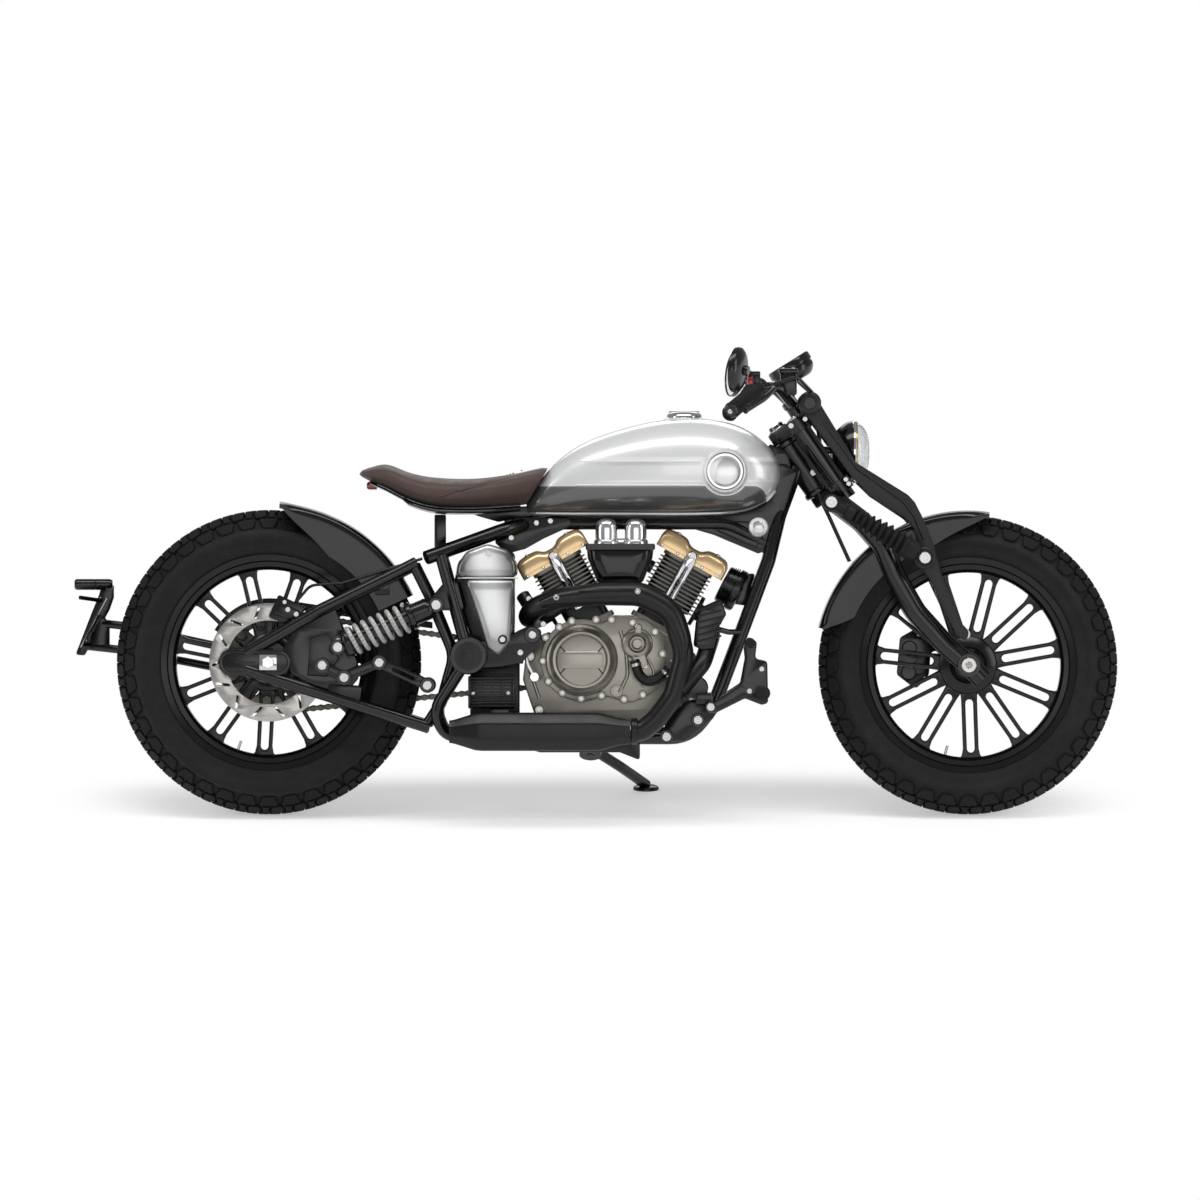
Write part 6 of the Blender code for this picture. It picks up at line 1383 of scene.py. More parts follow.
def makeFootControl(s, side):
    inner, outer = s * 0.178, s * 0.19
    outline = [(0.268, 0.372), (0.283, 0.382), (0.296, 0.37), (0.292, 0.335), (0.318, 0.33), (0.32, 0.24),
        (0.306, 0.236), (0.27, 0.25), (0.212, 0.221), (0.192, 0.218), (0.185, 0.234), (0.21, 0.248),
        (0.262, 0.282), (0.272, 0.335)]
    shapes = [plate(outline, inner, outer, soft=0.003, rounding=0.009), rod((0.197, s * 0.1133, 0.232),
        (0.197, s * 0.194, 0.232), 0.012, soft=0.0015), turned([(0, 0.0), (0.024, 0.0), (0.025, 0.002),
        (0.025, 0.01), (0.022, 0.013), (0.012, 0.014), (0, 0.014)], (0.167, s * 0.15, 0.273), (0, s, 0), 40),
        sideBox(s, (0.165, 0.152, 0.238), (0.2, 0.176, 0.262), 0.003)]
    piece("footControl_" + side, shapes, black, "chassis", "black", ("foot_control_" + side,))
    start, stop = s * 0.19, s * 0.3
    rib = turned([(0, 0.0), (0.0135, 0.0), (0.0155, 0.0015), (0.0155, 0.005), (0.0135, 0.0065), (0, 0.0065)],
        (0, 0, 0), (0, s, 0), 28)
    peg = [moved(rowOf(rib, 15, (0, s * 0.0073, 0)), Matrix.Translation((0.308, start, 0.262))),
        rod((0.308, start - s * 0.01, 0.262), (0.308, stop, 0.262), 0.0125),
        moved(rowOf(rib, 7, (0, s * 0.0073, 0)), Matrix.Translation((0.282, start, 0.368))
        @ Matrix.Diagonal((0.66, 1, 0.66, 1))), rod((0.282, s * 0.18, 0.368), (0.282, s * 0.24, 0.368), 0.0085)]
    piece("footPegs_" + side, peg, rubber, "chassis", "rubber")
    spots = ((0.283, outer, 0.369, 0.006), (0.306, outer, 0.313, 0.0055), (0.28, outer, 0.266, 0.0055),
        (0.197, s * 0.194, 0.232, 0.0085))
    bolts("footBolts_" + side, [at(x, y, z, (0, s, 0), size) for x, y, z, size in spots], "chassis", kind="cap")


def makeRightSidePacks():
    # battery case behind the regulator, coil pack by the down tube, and the plate that carries the foot control
    case = box((-0.318, -0.0885, 0.1835), (-0.212, 0.078, 0.329), 0.005)
    ribs = [box((-0.314, -0.0905, z), (-0.216, -0.088, z + 0.003), 0.0008) for z in (0.3, 0.31, 0.32)]
    piece("batteryCase", [case] + ribs, darkGrey, "chassis", "black")
    coil = plate([(0.175, 0.444), (0.2185, 0.464), (0.231, 0.43), (0.212, 0.397), (0.203, 0.357),
        (0.179, 0.354), (0.16, 0.362), (0.165, 0.412)], -0.146, -0.116, soft=0.004, rounding=0.008)
    coilFins = [tube([(0.17 + 0.05 * k, -0.1466, 0.372 + 0.0135 * i + 0.012 * k) for k in (0, 1)], 0.0022,
        bend=0, sides=8) for i in range(6)]
    arm = tube([(0.205, -0.128, 0.4), (0.235, -0.11, 0.392), (0.265, -0.088, 0.392)], 0.006, bend=0.02,
        sides=14)
    piece("coilPack", [coil, arm] + coilFins, black, "chassis", "black")
    foot = [(0.084, 0.158), (0.112, 0.215), (0.1435, 0.243), (0.183, 0.253), (0.219, 0.243), (0.203, 0.207),
        (0.142, 0.158)]
    plates = [plate(foot, s * 0.1155, s * 0.1215, soft=0.002, rounding=0.012) for s in (-1, 1)]
    places = [(s, x, z) for s in (-1, 1) for x, z in ((0.103, 0.168), (0.17, 0.204))]
    collars = [rod((x, s * 0.121, z), (x, s * 0.127, z), 0.015, 36, 0.0015) for s, x, z in places]
    piece("footPlates", plates + collars, black, "chassis", "black")
    bolts("footPlateBolts", [at(x, s * 0.127, z, (0, s, 0), 0.0095) for s, x, z in places], "chassis",
        kind="cap")


makeElectrics()
makeRightSidePacks()
for s, side in sides:
    makeSideCover(s, side)
    makeFootControl(s, side)
print("what hangs on the frame made")


# Engine
crank, vHalf, deck = (0.009, 0.2906), math.radians(29.5), 0.13
fins = {"count": 10, "start": 0.19, "pitch": 0.009, "thick": 0.004, "half": 0.061, "depth": 0.072, "top": 0.288}


def cylinderFrame(side):
    return Matrix.Translation((crank[0], 0, crank[1])) @ Matrix.Rotation(side * vHalf, 4, "Y")


def roundedSquare(halfX, halfY, corner, steps=6):
    ring = []
    for cx, cy, start in ((1, 1, 0), (-1, 1, 90), (-1, -1, 180), (1, -1, 270)):
        for i in range(steps + 1):
            a = math.radians(start + 90 * i / steps)
            ring.append((cx * (halfX - corner) + corner * math.cos(a), cy * (halfY - corner)
                + corner * math.sin(a)))
    return ring


def squareLoft(levels, corner):
    return loft([[(x, y, height) for x, y in roundedSquare(halfX, halfY, corner)] for height, halfX,
        halfY in levels])


def makeCylinder(side, end):
    place = cylinderFrame(side)
    base = deck + 0.0003
    core = squareLoft([(base, 0.046, 0.058), (0.186, 0.046, 0.058), (0.188, 0.0535, 0.064),
        (0.288, 0.0535, 0.064)], 0.018)
    t = fins["thick"]
    fin = squareLoft([(0, 0.053, 0.063), (0.0006, fins["half"] - 0.0006, fins["depth"] - 0.0006),
        (t / 2, fins["half"], fins["depth"]), (t - 0.0006, fins["half"] - 0.0006, fins["depth"] - 0.0006),
        (t, 0.053, 0.063)], 0.018)
    stack = moved(rowOf(fin, fins["count"], (0, 0, fins["pitch"])), Matrix.Translation((0, 0, fins["start"])))
    head = squareLoft([(0.28, 0.056, 0.066), (0.2806, 0.058, 0.068), (0.287, 0.058, 0.068),
        (0.2882, 0.0565, 0.0665)], 0.018)
    foot = squareLoft([(base, 0.054, 0.062), (base + 0.01, 0.054, 0.062), (base + 0.012, 0.052, 0.06)], 0.016)
    piece("cylinder_" + end, [moved(s, place) for s in (stack, head, foot)], finMetal, "chassis", "alloy",
        ("cylinder_" + end,))
    # the core between the fins is dark grey: painted shade in the gaps between the fins
    piece("cylinderCore_" + end, [moved(core, place)], darkGrey, "chassis", "black")
    base = fins["top"]
    sections = [[-0.08, 0.02, 0.067], [-0.0792, 0.029, 0.072], [-0.0755, 0.0375, 0.0762],
        [-0.067, 0.0426, 0.0778], [-0.052, 0.0444, 0.078], [-0.034, 0.0441, 0.078], [-0.024, 0.0415, 0.078],
        [-0.015, 0.035, 0.078], [-0.008, 0.0322, 0.078], [0.0, 0.0318, 0.078]]
    sections = smoothRows(sections, 4)
    rows = sections + [[-x, h, w] for x, h, w in reversed(sections[:-1])]
    rings = []
    for x, height, half in rows:
        outline = [(1.0, 0.0), (1.0, 0.3), (0.985, 0.55), (0.95, 0.74), (0.88, 0.88), (0.76, 0.965), (0.6, 1.0),
            (0.3, 1.0)]
        outline += [(-a, b) for a, b in reversed(outline)]
        rings.append([(x, half * a, base + height * b) for a, b in outline])
    skirt = squareLoft([(base - 0.0003, 0.08, 0.079), (base + 0.007, 0.08, 0.079),
        (base + 0.0085, 0.0785, 0.0775)], 0.014)
    piece("rockerCover_" + end, [moved(loft(rings), place), moved(skirt, place)], goldPaint, "chassis", "gold",
        ("rocker_cover_" + end,), 38)
    heads = [(place @ Vector((x, y, base + h)), place.to_3x3() @ Vector((0, 0, 1)), 0.0052) for x,
        h in ((-0.048, 0.0435), (0.048, 0.0435)) for y in (-0.058, 0.058)]
    aim = (0, -1, 0)
    heads += [(place @ Vector((x, -0.0795, base + 0.0045)), aim, 0.0036) for x in (-0.068, -0.03, 0.03, 0.068)]
    bolts("rockerBolts_" + end, heads, "chassis", look=chrome)
    start, stop = deck + 0.05, 0.3
    tubes = []
    for offset in (-0.0068, 0.0068):
        line = [(0, start - 0.002), (0.0066, start - 0.002), (0.007, start + 0.003), (0.007, start + 0.012),
            (0.0054, start + 0.017), (0.0054, start + 0.06), (0.0062, start + 0.062), (0.0062, start + 0.072),
            (0.0058, start + 0.074), (0.0064, stop - 0.026), (0.007, stop - 0.022), (0.007, stop - 0.006),
            (0.005, stop), (0, stop + 0.001)]
        tubes.append(turned(line, (offset, -0.09, 0), (0, 0, 1), 32))
    cap = loft([[(0.0128 * a * k, -0.089 + 0.0105 * b * k, z) for a, b in oval(36, 2.4)] for z,
        k in ((stop - 0.022, 0.9), (stop - 0.01, 1.0), (stop + 0.004, 0.92), (stop + 0.01, 0.7),
        (stop + 0.013, 0.3))])
    shoe = loft([[(0.016 * a * k, -0.0905 + 0.01 * b * k, z) for a, b in oval(36, 4)] for z,
        k in ((start - 0.001, 1.0), (start + 0.009, 1.0), (start + 0.011, 0.93))])
    piece("pushrodTubes_" + end, [moved(s, place) for s in tubes + [cap, shoe]], chrome, "chassis", "chrome",
        ("pushrod_tubes_" + end,))
    nut = boltShape("hex")
    piece("headNuts_" + end, [onSpots(nut, [(place @ Vector((0, -0.1, stop + 0.004)), aim, 0.0058)])],
        boltSteel, "chassis", "chrome")


def caseOutline():
    points = []
    for side, reach in ((-1, 0.06), (-1, -0.05), (1, -0.05), (1, 0.06)):
        a = side * vHalf
        points.append((crank[0] + deck * math.sin(a) + side * reach * math.cos(a), crank[1] + deck * math.cos(a)
            - side * reach * math.sin(a)))
    return [(-0.195, 0.372), (-0.15, 0.392), *points, (0.165, 0.345), (0.178, 0.29), (0.165, 0.225),
        (0.115, 0.192), (-0.12, 0.188), (-0.18, 0.215), (-0.205, 0.29)]


def makeCase():
    shapes = [plate(caseOutline(), -0.081, 0.081, soft=0.004, rounding=0.012)]
    shapes.append(plate(caseOutline(), -0.0035, 0.0035, soft=0.0))
    shapes.append(rod((-0.17, 0.071, 0.315), (-0.17, 0.096, 0.315), 0.0318, 40))
    # webs and bosses on the right side
    for points, width in (([(0.11, 0.33), (0.172, 0.3)], 0.004), ([(0.112, 0.3), (0.17, 0.262)], 0.004),
            ([(0.108, 0.262), (0.15, 0.215)], 0.004), ([(-0.19, 0.31), (-0.17, 0.25)], 0.004)):
        shapes.append(tube([(x, -0.081, z) for x, z in points], width, sides=12))
    bosses = ((0.15, 0.33, 0.012), (0.16, 0.25, 0.011), (0.12, 0.205, 0.011), (-0.17, 0.225, 0.011),
        (-0.19, 0.34, 0.012))
    for x, z, r in bosses:
        shapes.append(turned([(0, 0.008), (r - 0.002, 0.008), (r, 0.006), (r + 0.001, 0), (0, 0)],
            (x, -0.08, z), (0, -1, 0), 28))
    piece("crankcase", shapes, alloy, "chassis", "alloy", ("crankcase",))
    bolts("caseBolts", [at(x, -0.088, z, size=r / 2) for x, z, r in bosses], "chassis", kind="hex")


cover = {"clutch": (-0.079, 0.332), "pump": (0.04, 0.367), "y": -0.112, "bolts": ((-0.156, 0.38),
    (-0.162, 0.33), (-0.15, 0.286), (-0.127, 0.402), (-0.1, 0.415), (-0.048, 0.418), (-0.015, 0.418),
    (0.03, 0.412), (0.078, 0.392), (0.094, 0.345), (0.088, 0.292), (0.052, 0.258), (0.012, 0.248),
    (-0.036, 0.256), (-0.08, 0.25), (-0.12, 0.262))}


def makeRightCover(c):
    outline = arc(c["clutch"], 0.088, 62, 300, 36) + [(0.03, 0.24), (0.085, 0.268), (0.102, 0.33),
        (0.096, 0.388), (0.06, 0.418), (0.005, 0.428)]
    outline = rounded(outline, 0.02, 6)
    x, z = c["clutch"]
    shapes = [plate(outline, c["y"], -0.0813, soft=0.003)]
    shapes.append(turned([(0, 0.036), (0.05, 0.036), (0.052, 0.0352), (0.054, 0.0368), (0.056, 0.0398),
        (0.06, 0.0402), (0.0625, 0.0385), (0.064, 0.0345), (0.067, 0.03), (0.07, 0.0255), (0.074, 0.0238),
        (0.076, 0.0215), (0.078, 0.005), (0.078, 0), (0, 0)], (x, c["y"] + 0.004, z), (0, -1, 0), 96))
    # raised bar across the dome, its ends round
    bar = arc((x, z), 0.047, -17, 17, 8) + [(x + 0.0365, z + 0.018), (x - 0.0365, z + 0.018)]
    bar += arc((x, z), 0.047, 163, 197, 8) + [(x - 0.035, z - 0.0185), (x + 0.035, z - 0.0185)]
    shapes.append(plate(bar, c["y"] - 0.0372, c["y"] - 0.03, soft=0.0016))
    x, z = c["pump"]
    shapes.append(turned([(0, 0.03), (0.009, 0.03), (0.0105, 0.032), (0.0135, 0.034), (0.015, 0.034),
        (0.0165, 0.03), (0.02, 0.025), (0.027, 0.023), (0.031, 0.02), (0.034, 0.004), (0.034, 0), (0, 0)],
        (x, c["y"] + 0.004, z), (0, -1, 0), 64))
    shapes.append(plate([(0.03, 0.372), (0.05, 0.372), (0.05, 0.41), (0.036, 0.41)], c["y"] - 0.02, c["y"]
        + 0.002, soft=0.003, rounding=0.006))
    shapes.append(plate([(0.026, 0.362), (0.052, 0.362), (0.064, 0.322), (0.05, 0.31), (0.03, 0.33)], c["y"]
        - 0.018, c["y"] + 0.002, soft=0.003, rounding=0.008))
    # bosses that carry the bolts, a filler ring and small steps
    for bx, bz in c["bolts"]:
        shapes.append(turned([(0, 0.005), (0.0072, 0.005), (0.0086, 0.0036), (0.0095, -0.02), (0, -0.02)],
            (bx, c["y"], bz), (0, -1, 0), 24))
    shapes.append(turned([(0, 0.0022), (0.0086, 0.0022), (0.0094, 0.004), (0.0124, 0.004), (0.0132, 0.0026),
        (0.0136, 0), (0, 0)], (-0.004, c["y"], 0.266), (0, -1, 0), 40))
    shapes.append(tube([(0.004, c["y"] - 0.001, 0.395), (0.016, c["y"] - 0.001, 0.352),
        (0.02, c["y"] - 0.001, 0.3), (0.002, c["y"] - 0.001, 0.262)], 0.0042, bend=0.03, sides=14))
    shapes.append(tube([(0.06, c["y"] - 0.001, 0.34), (0.08, c["y"] - 0.001, 0.3),
        (0.05, c["y"] - 0.001, 0.275)], 0.0034, bend=0.02, sides=14))
    piece("clutchCover", shapes, alloy, "chassis", "alloy", ("engine_cover_right",))
    chord = plate([(c["clutch"][0] - 0.035, c["clutch"][1] + 0.0186),
        (c["clutch"][0] + 0.035, c["clutch"][1] + 0.0186), (c["clutch"][0] + 0.035, c["clutch"][1] + 0.0166),
        (c["clutch"][0] - 0.035, c["clutch"][1] + 0.0166)], c["y"] - 0.0376, c["y"] - 0.032, soft=0.0004)
    piece("clutchChord", [chord], chrome, "chassis", "alloy")
    # dark lines at the edges of the two sunk fields: painted shade along the steps
    x, z = c["clutch"]
    steps = []
    for side in (-1, 1):
        reach = [(x - 0.046, z + side * 0.03), (x - 0.0345, z + side * 0.0165), (x + 0.0345, z + side * 0.0165),
            (x + 0.046, z + side * 0.03)]
        steps.append(tube([(a, c["y"] - 0.0322, b) for a, b in reach], 0.0013, bend=0.006, sides=8))
    piece("clutchSteps", steps, girderGrey, "chassis", "black")
    bolts("coverScrews", [at(bx, c["y"] - 0.005, bz, size=0.005) for bx, bz in c["bolts"]]
        + [at(0.04, c["y"] - 0.016, 0.404, size=0.0044), at(0.058, c["y"] - 0.014, 0.318, size=0.0044),
        at(0.014, c["y"] - 0.001, 0.378, size=0.0044), at(0.066, c["y"] - 0.001, 0.366, size=0.0044)],
        "chassis", kind="cap")
    y0 = 0.0813
    outline = arc((0.009, 0.3), 0.085, -100, 100, 36) + [(-0.07, 0.378), (-0.098, 0.33), (-0.095, 0.25),
        (-0.06, 0.215)]
    base = plate(outline, y0, y0 + 0.03, soft=0.003, rounding=0.01)
    dome = turned([(0, 0.032), (0.048, 0.032), (0.052, 0.0305), (0.062, 0.025), (0.068, 0.02), (0.072, 0.012),
        (0.074, 0), (0, 0)], (0.009, y0 + 0.026, 0.3), (0, 1, 0), 72)
    piece("leftCover", [base, dome], alloy, "chassis", "alloy", ("engine_cover_left",))
    spots = [(0.009 + 0.079 * math.cos(a), y0 + 0.03, 0.3 + 0.079 * math.sin(a))
        for a in [math.radians(k) for k in range(-90, 91, 30)]]
    bolts("leftCoverScrews", [(p, (0, 1, 0), 0.0048) for p in spots], "chassis", kind="cap")


def makeIntake():
    outline = [(-0.038, 0.495), (0.045, 0.495), (0.053, 0.5), (0.073, 0.55), (0.077, 0.58), (-0.069, 0.58),
        (-0.066, 0.55), (-0.046, 0.5)]
    shapes = [pillow(outline, -0.08, -0.152, 0.012)]
    shapes.append(plate([(-0.028, 0.508), (0.044, 0.508), (0.06, 0.56), (-0.048, 0.56)], -0.09, -0.01,
        soft=0.004))
    shapes.append(pillow([(-0.07, 0.568), (0.078, 0.568), (0.0786, 0.576), (0.077, 0.5812), (-0.069, 0.5812),
        (-0.0706, 0.576)], -0.08, -0.1518, 0.002, ((0, 1.0), (0.9, 1.0), (0.96, 0.985), (1.0, 0.955))))
    for side in (-1, 1):
        place = cylinderFrame(side)
        face = place @ Vector((-side * 0.0613, -0.045, 0.24))
        inward = place.to_3x3() @ Vector((-side, 0, 0))
        shapes.append(rod(face, face + inward * 0.03, 0.014))
    piece("intakeCover", shapes, gloss, "chassis", "gloss", ("intake_cover",))
    shapes = []
    for x in (-0.026, 0.0365):
        shapes.append(turned([(0, 0.0545), (0.006, 0.0543), (0.012, 0.0528), (0.0175, 0.0495), (0.0215, 0.044),
            (0.0233, 0.037), (0.0235, 0.03), (0.0235, 0.013), (0.0226, 0.012), (0.0226, 0.01), (0.025, 0.0085),
            (0.0268, 0.006), (0.027, 0), (0, 0)], (x, -0.114, 0.5803), (0, 0, 1), 64))
    shapes.append(box((-0.02, -0.122, 0.5803), (0.03, -0.106, 0.5923), 0.002))
    piece("carburettorCaps", shapes, softChrome, "chassis", "chrome", ("carburettors",))


exhaust = {"y": -0.178, "route": ((-0.18, -0.15, 0.444), (-0.13, None, 0.464), (-0.04, None, 0.474),
    (0.046, None, 0.474), (0.112, None, 0.44), (0.141, None, 0.345), (0.118, None, 0.255), (0.08, None, 0.205),
    (0.05, None, 0.18), (0.0256, None, 0.18))}


def makeExhaust(e):
    y = e["y"]
    rear, front = cylinderFrame(-1), cylinderFrame(1)
    route = [rear @ Vector((-0.0613, -0.02, 0.205)), rear @ Vector((-0.099, -0.02, 0.205)),
        (-0.194, -0.09, 0.424)]
    route += [(a, y if b is None else b, c) for a, b, c in e["route"]]
    shapes = [tube(route, 0.0225, bend=0.075, sides=36, steps=8)]
    shapes.append(tube([front @ Vector((0.0613, -0.01, 0.205)), front @ Vector((0.095, -0.01, 0.205)),
        (0.2, -0.09, 0.385), (0.18, -0.145, 0.325), (0.128, y, 0.265)], 0.019, bend=0.06, sides=28))
    for place, side in ((rear, -1), (front, 1)):
        shapes.append(turned([(0.02, 0), (0.034, 0), (0.034, 0.008), (0.02, 0.01)], place
            @ Vector((side * 0.0615, -0.015, 0.205)), place.to_3x3() @ Vector((side, 0, 0)), 32, loop=True))
    piece("exhaustHeader", shapes, darkGrey, "chassis", "black", ("exhaust_header",))
    # leaf-shaped shield over the pipe's top, open behind
    line = filleted([(-0.168, y, 0.452), (-0.13, y, 0.464), (-0.04, y, 0.474), (0.046, y, 0.474),
        (0.112, y, 0.44), (0.139, y, 0.372), (0.137, y, 0.33)], 0.075, 8)
    total = sum((b - a).length for a, b in zip(line, line[1:]))
    rings, gone = [], 0.0
    for i, here in enumerate(line):
        if i:
            gone += (here - line[i - 1]).length
        share = gone / total
        wide = 0.0262 * (math.sin(math.pi * min(max(share, 0.0), 1.0)) ** 0.28 if 0 < share < 1 else 0.35)
        wide = max(wide, 0.009)
        along = (line[min(i + 1, len(line) - 1)] - line[max(i - 1, 0)]).normalized()
        side = along.cross(Vector((0, 1, 0)))
        ring = []
        for k in range(17):
            a = math.radians(-82 + 164 * k / 16)
            ring.append(here + side * (math.sin(a) * wide) + Vector((0, -math.cos(a) * 0.0272, 0)))
        for k in reversed(range(17)):
            a = math.radians(-82 + 164 * k / 16)
            ring.append(here + side * (math.sin(a) * (wide - 0.0016)) + Vector((0, -math.cos(a) * 0.0256, 0)))
        rings.append(ring)
    shield = loft(rings)
    engraved = []
    for lift in (-0.009, 0.009):
        engraved.append(tube([(-0.085, y - 0.0262, 0.4705 + lift), (0.004, y - 0.0262, 0.4735 + lift)], 0.0011,
            sides=8))
    piece("heatShield", [shield], darkGrey, "chassis", "black", smooth=45)
    piece("shieldLines", engraved, girderGrey, "chassis", "black")
    bolts("shieldBolts", [at(-0.133, y - 0.025, 0.466, size=0.0068), at(0.041, y - 0.0262, 0.479, size=0.0068)],
        "chassis")
    half = ((0.0, 0.026, 0.028), (0.02, 0.0285, 0.031), (0.065, 0.0405, 0.045), (0.08, 0.041, 0.046),
        (0.318, 0.041, 0.046), (0.332, 0.0395, 0.044), (0.372, 0.027, 0.031), (0.382, 0.0245, 0.028),
        (0.387, 0.024, 0.0275))
    corners = [(1.0, 0.42), (0.62, 1.0), (-0.62, 1.0), (-1.0, 0.42), (-1.0, -0.42), (-0.62, -1.0), (0.62, -1.0),
        (1.0, -0.42)]
    section = rounded(corners, 0.28, 4)
    back, tall, wide = half[-1]
    mouth = ((back - 0.0005, tall * 0.72, wide * 0.72), (back - 0.03, tall * 0.7, wide * 0.7))
    rings = [[(0.025 - back, -0.18 + wide * a, 0.179 + tall * b) for a, b in section] for back, tall,
        wide in half + mouth]
    band = turned([(0.023, 0), (0.0275, 0.001), (0.0285, 0.003), (0.0285, 0.012), (0.0275, 0.014),
        (0.023, 0.015)], (0.041, -0.178, 0.18), (-1, 0, 0), 40, loop=True)
    piece("muffler", [loft(rings), band], darkGrey, "chassis", "black", ("muffler",), 30)


def makeHoses():
    y = -0.13
    lower = [(0.034, y, 0.332), (0.044, y, 0.3), (0.062, y - 0.004, 0.284), (0.086, y - 0.004, 0.292),
        (0.108, y, 0.312)]
    shapes = [tube(lower, 0.01075, bend=0.03, sides=24)]
    shapes.append(tube([(-0.205, -0.06, 0.47), (-0.186, -0.08, 0.44), (-0.15, -0.095, 0.43),
        (-0.12, -0.1, 0.452)], 0.015, bend=0.03, sides=24))
    shapes.append(tube([(-0.33, -0.096, 0.42), (-0.3, -0.1, 0.36), (-0.24, -0.104, 0.33),
        (-0.205, -0.096, 0.33)], 0.006, bend=0.04, sides=16))
    piece("hoses", shapes, hoseBlack, "chassis", "rubber")
    clips = [turned([(0.0105, -0.003), (0.0122, -0.003), (0.0122, 0.003), (0.0105, 0.003)], p, a, 24, loop=True)
        for p, a in (((0.037, y, 0.322), (0.3, 0, -1)), ((0.1, y - 0.001, 0.304), (1, 0, 0.9)))]
    piece("hoseClips", clips, boltSteel, "chassis", "steel")
    lever = [tube([(-0.2, -0.122, 0.345), (-0.193, -0.124, 0.32), (-0.18, -0.124, 0.296)], 0.0042, bend=0.02),
        turned([(0, 0), (0.009, 0), (0.01, 0.001), (0.01, 0.009), (0.009, 0.01), (0, 0.01)],
        (-0.18, -0.118, 0.296), (0, -1, 0), 24)]
    piece("shiftLever", lever, chrome, "chassis", "chrome")


makeCylinder(1, "front")
makeCylinder(-1, "rear")
makeCase()
makeRightCover(cover)
makeIntake()
makeExhaust(exhaust)
makeHoses()
print("engine made")


# Fork and front end
fork = {"tubeY": 0.088, "tubeAhead": 0.043, "tubeRadius": 0.018, "girderIn": 0.126, "girderOut": 0.138}


def makeYokes():
    up = (onSteering(-1) - onSteering(0)).normalized()
    shapes = [rod(onSteering(0.16), onSteering(0.16) + up * 0.194, 0.015)]
    halfPlan = ((-0.026, 0.02), (-0.012, 0.038), (0.018, 0.108), (0.064, 0.108), (0.064, 0.072), (0.03, 0.056))
    plan = list(halfPlan) + [(a, -y) for a, y in reversed(halfPlan)]
    plan = rounded(plan, 0.016, 5)
    middle = 0.02
    for top, bottom in ((-0.024, 0.0042), (0.1398, 0.1635)):
        rings = []
        for share, inset in ((0.0, 0.96), (0.08, 0.99), (0.16, 1.0), (0.84, 1.0), (0.92, 0.99), (1.0, 0.96)):
            down = top + (bottom - top) * share
            rings.append([onSteering(down, middle + (a - middle) * inset, y * inset) for a, y in plan])
        shapes.append(loft(rings))
        for s in (-1, 1):
            shapes.append(turned([(0.0182, 0), (0.024, 0), (0.025, 0.001), (0.025, 0.0265), (0.024, 0.0275),
                (0.0182, 0.0275)], onSteering(bottom + 0.002, fork["tubeAhead"], s * fork["tubeY"]), up, 40,
                loop=True))
    lug = [(0.378, 0.838), (0.412, 0.826), (0.424, 0.88), (0.409, 0.897), (0.396, 0.884)]
    for s in (-1, 1):
        shapes.append(plate(lug, s * 0.09, s * 0.102, soft=0.002, rounding=0.006))
    shapes.append(rod((0.409, -0.1257, 0.882), (0.409, 0.1257, 0.882), 0.011))
    piece("forkYokes", shapes, black, "fork", "black", ("fork_yokes",))
    nut = stud(0.0165, 0.012, 0.0025, 0.003, onSteering(-0.024), up, 6)
    washer = stud(0.021, 0.003, 0.001, 0.0015, onSteering(-0.024), up, 36)
    caps = [turned([(0, 0.005), (0.009, 0.005), (0.01, 0.0035), (0.0165, 0.003), (0.0178, 0.0015), (0.0178, 0),
        (0, 0)], onSteering(-0.0238, fork["tubeAhead"], s * fork["tubeY"]), up, 36) for s in (-1, 1)]
    piece("stemNut", [nut, washer] + caps, boltSteel, "fork", "steel")
    heads = [(onSteering(d, 0.06, s * 0.1085), (0, s, 0), 0.0052) for s in (-1, 1)
        for d in (-0.01, 0.146, 0.157)]
    heads += [(onSteering(-0.015, 0.027, s * 0.1085), (0, s, 0), 0.006) for s in (-1, 1)]
    bolts("yokeBolts", heads, "fork", kind="cap")


girderOutline = ((0.508, 0.755), (0.619, 0.686), (0.634, 0.67), (0.649, 0.641), (0.676, 0.575), (0.69, 0.52),
    (0.735, 0.41), (0.752, 0.392), (0.744, 0.372), (0.722, 0.385), (0.668, 0.5), (0.64, 0.54), (0.6415, 0.582),
    (0.632, 0.612), (0.614, 0.634), (0.54, 0.683), (0.5, 0.722), (0.398, 0.862), (0.392, 0.88), (0.402, 0.898),
    (0.42, 0.898), (0.432, 0.88))


def makeGirder(s, side):
    shapes = [plate(girderOutline, s * fork["girderIn"], s * fork["girderOut"], soft=0.003, rounding=0.02)]
    # raised rib along the plate's middle
    rib = [(0.44, 0.842), (0.512, 0.742), (0.61, 0.672), (0.634, 0.64), (0.654, 0.59)]
    shapes.append(tube([(x, s * 0.1375, z) for x, z in rib], 0.0042, bend=0.03, sides=14))
    for x, z in ((0.409, 0.882), (0.655, 0.551)):
        shapes.append(turned([(0, 0.0225), (0.013, 0.0225), (0.014, 0.024), (0.019, 0.024), (0.0225, 0.022),
            (0.0245, 0.019), (0.025, 0.004), (0.025, 0), (0, 0)], (x, s * 0.1265, z), (0, s, 0), 48))
    piece("girder_" + side, shapes, girderGrey, "fork", "black", ("girder_" + side,))
    piece("girderPin_" + side, [turned([(0, 0.0018), (0.012, 0.0018), (0.0136, 0.0004), (0.0136, -0.001),
        (0, -0.001)], (0.409, s * 0.15, 0.882), (0, s, 0), 36)], gloss, "fork", "black")


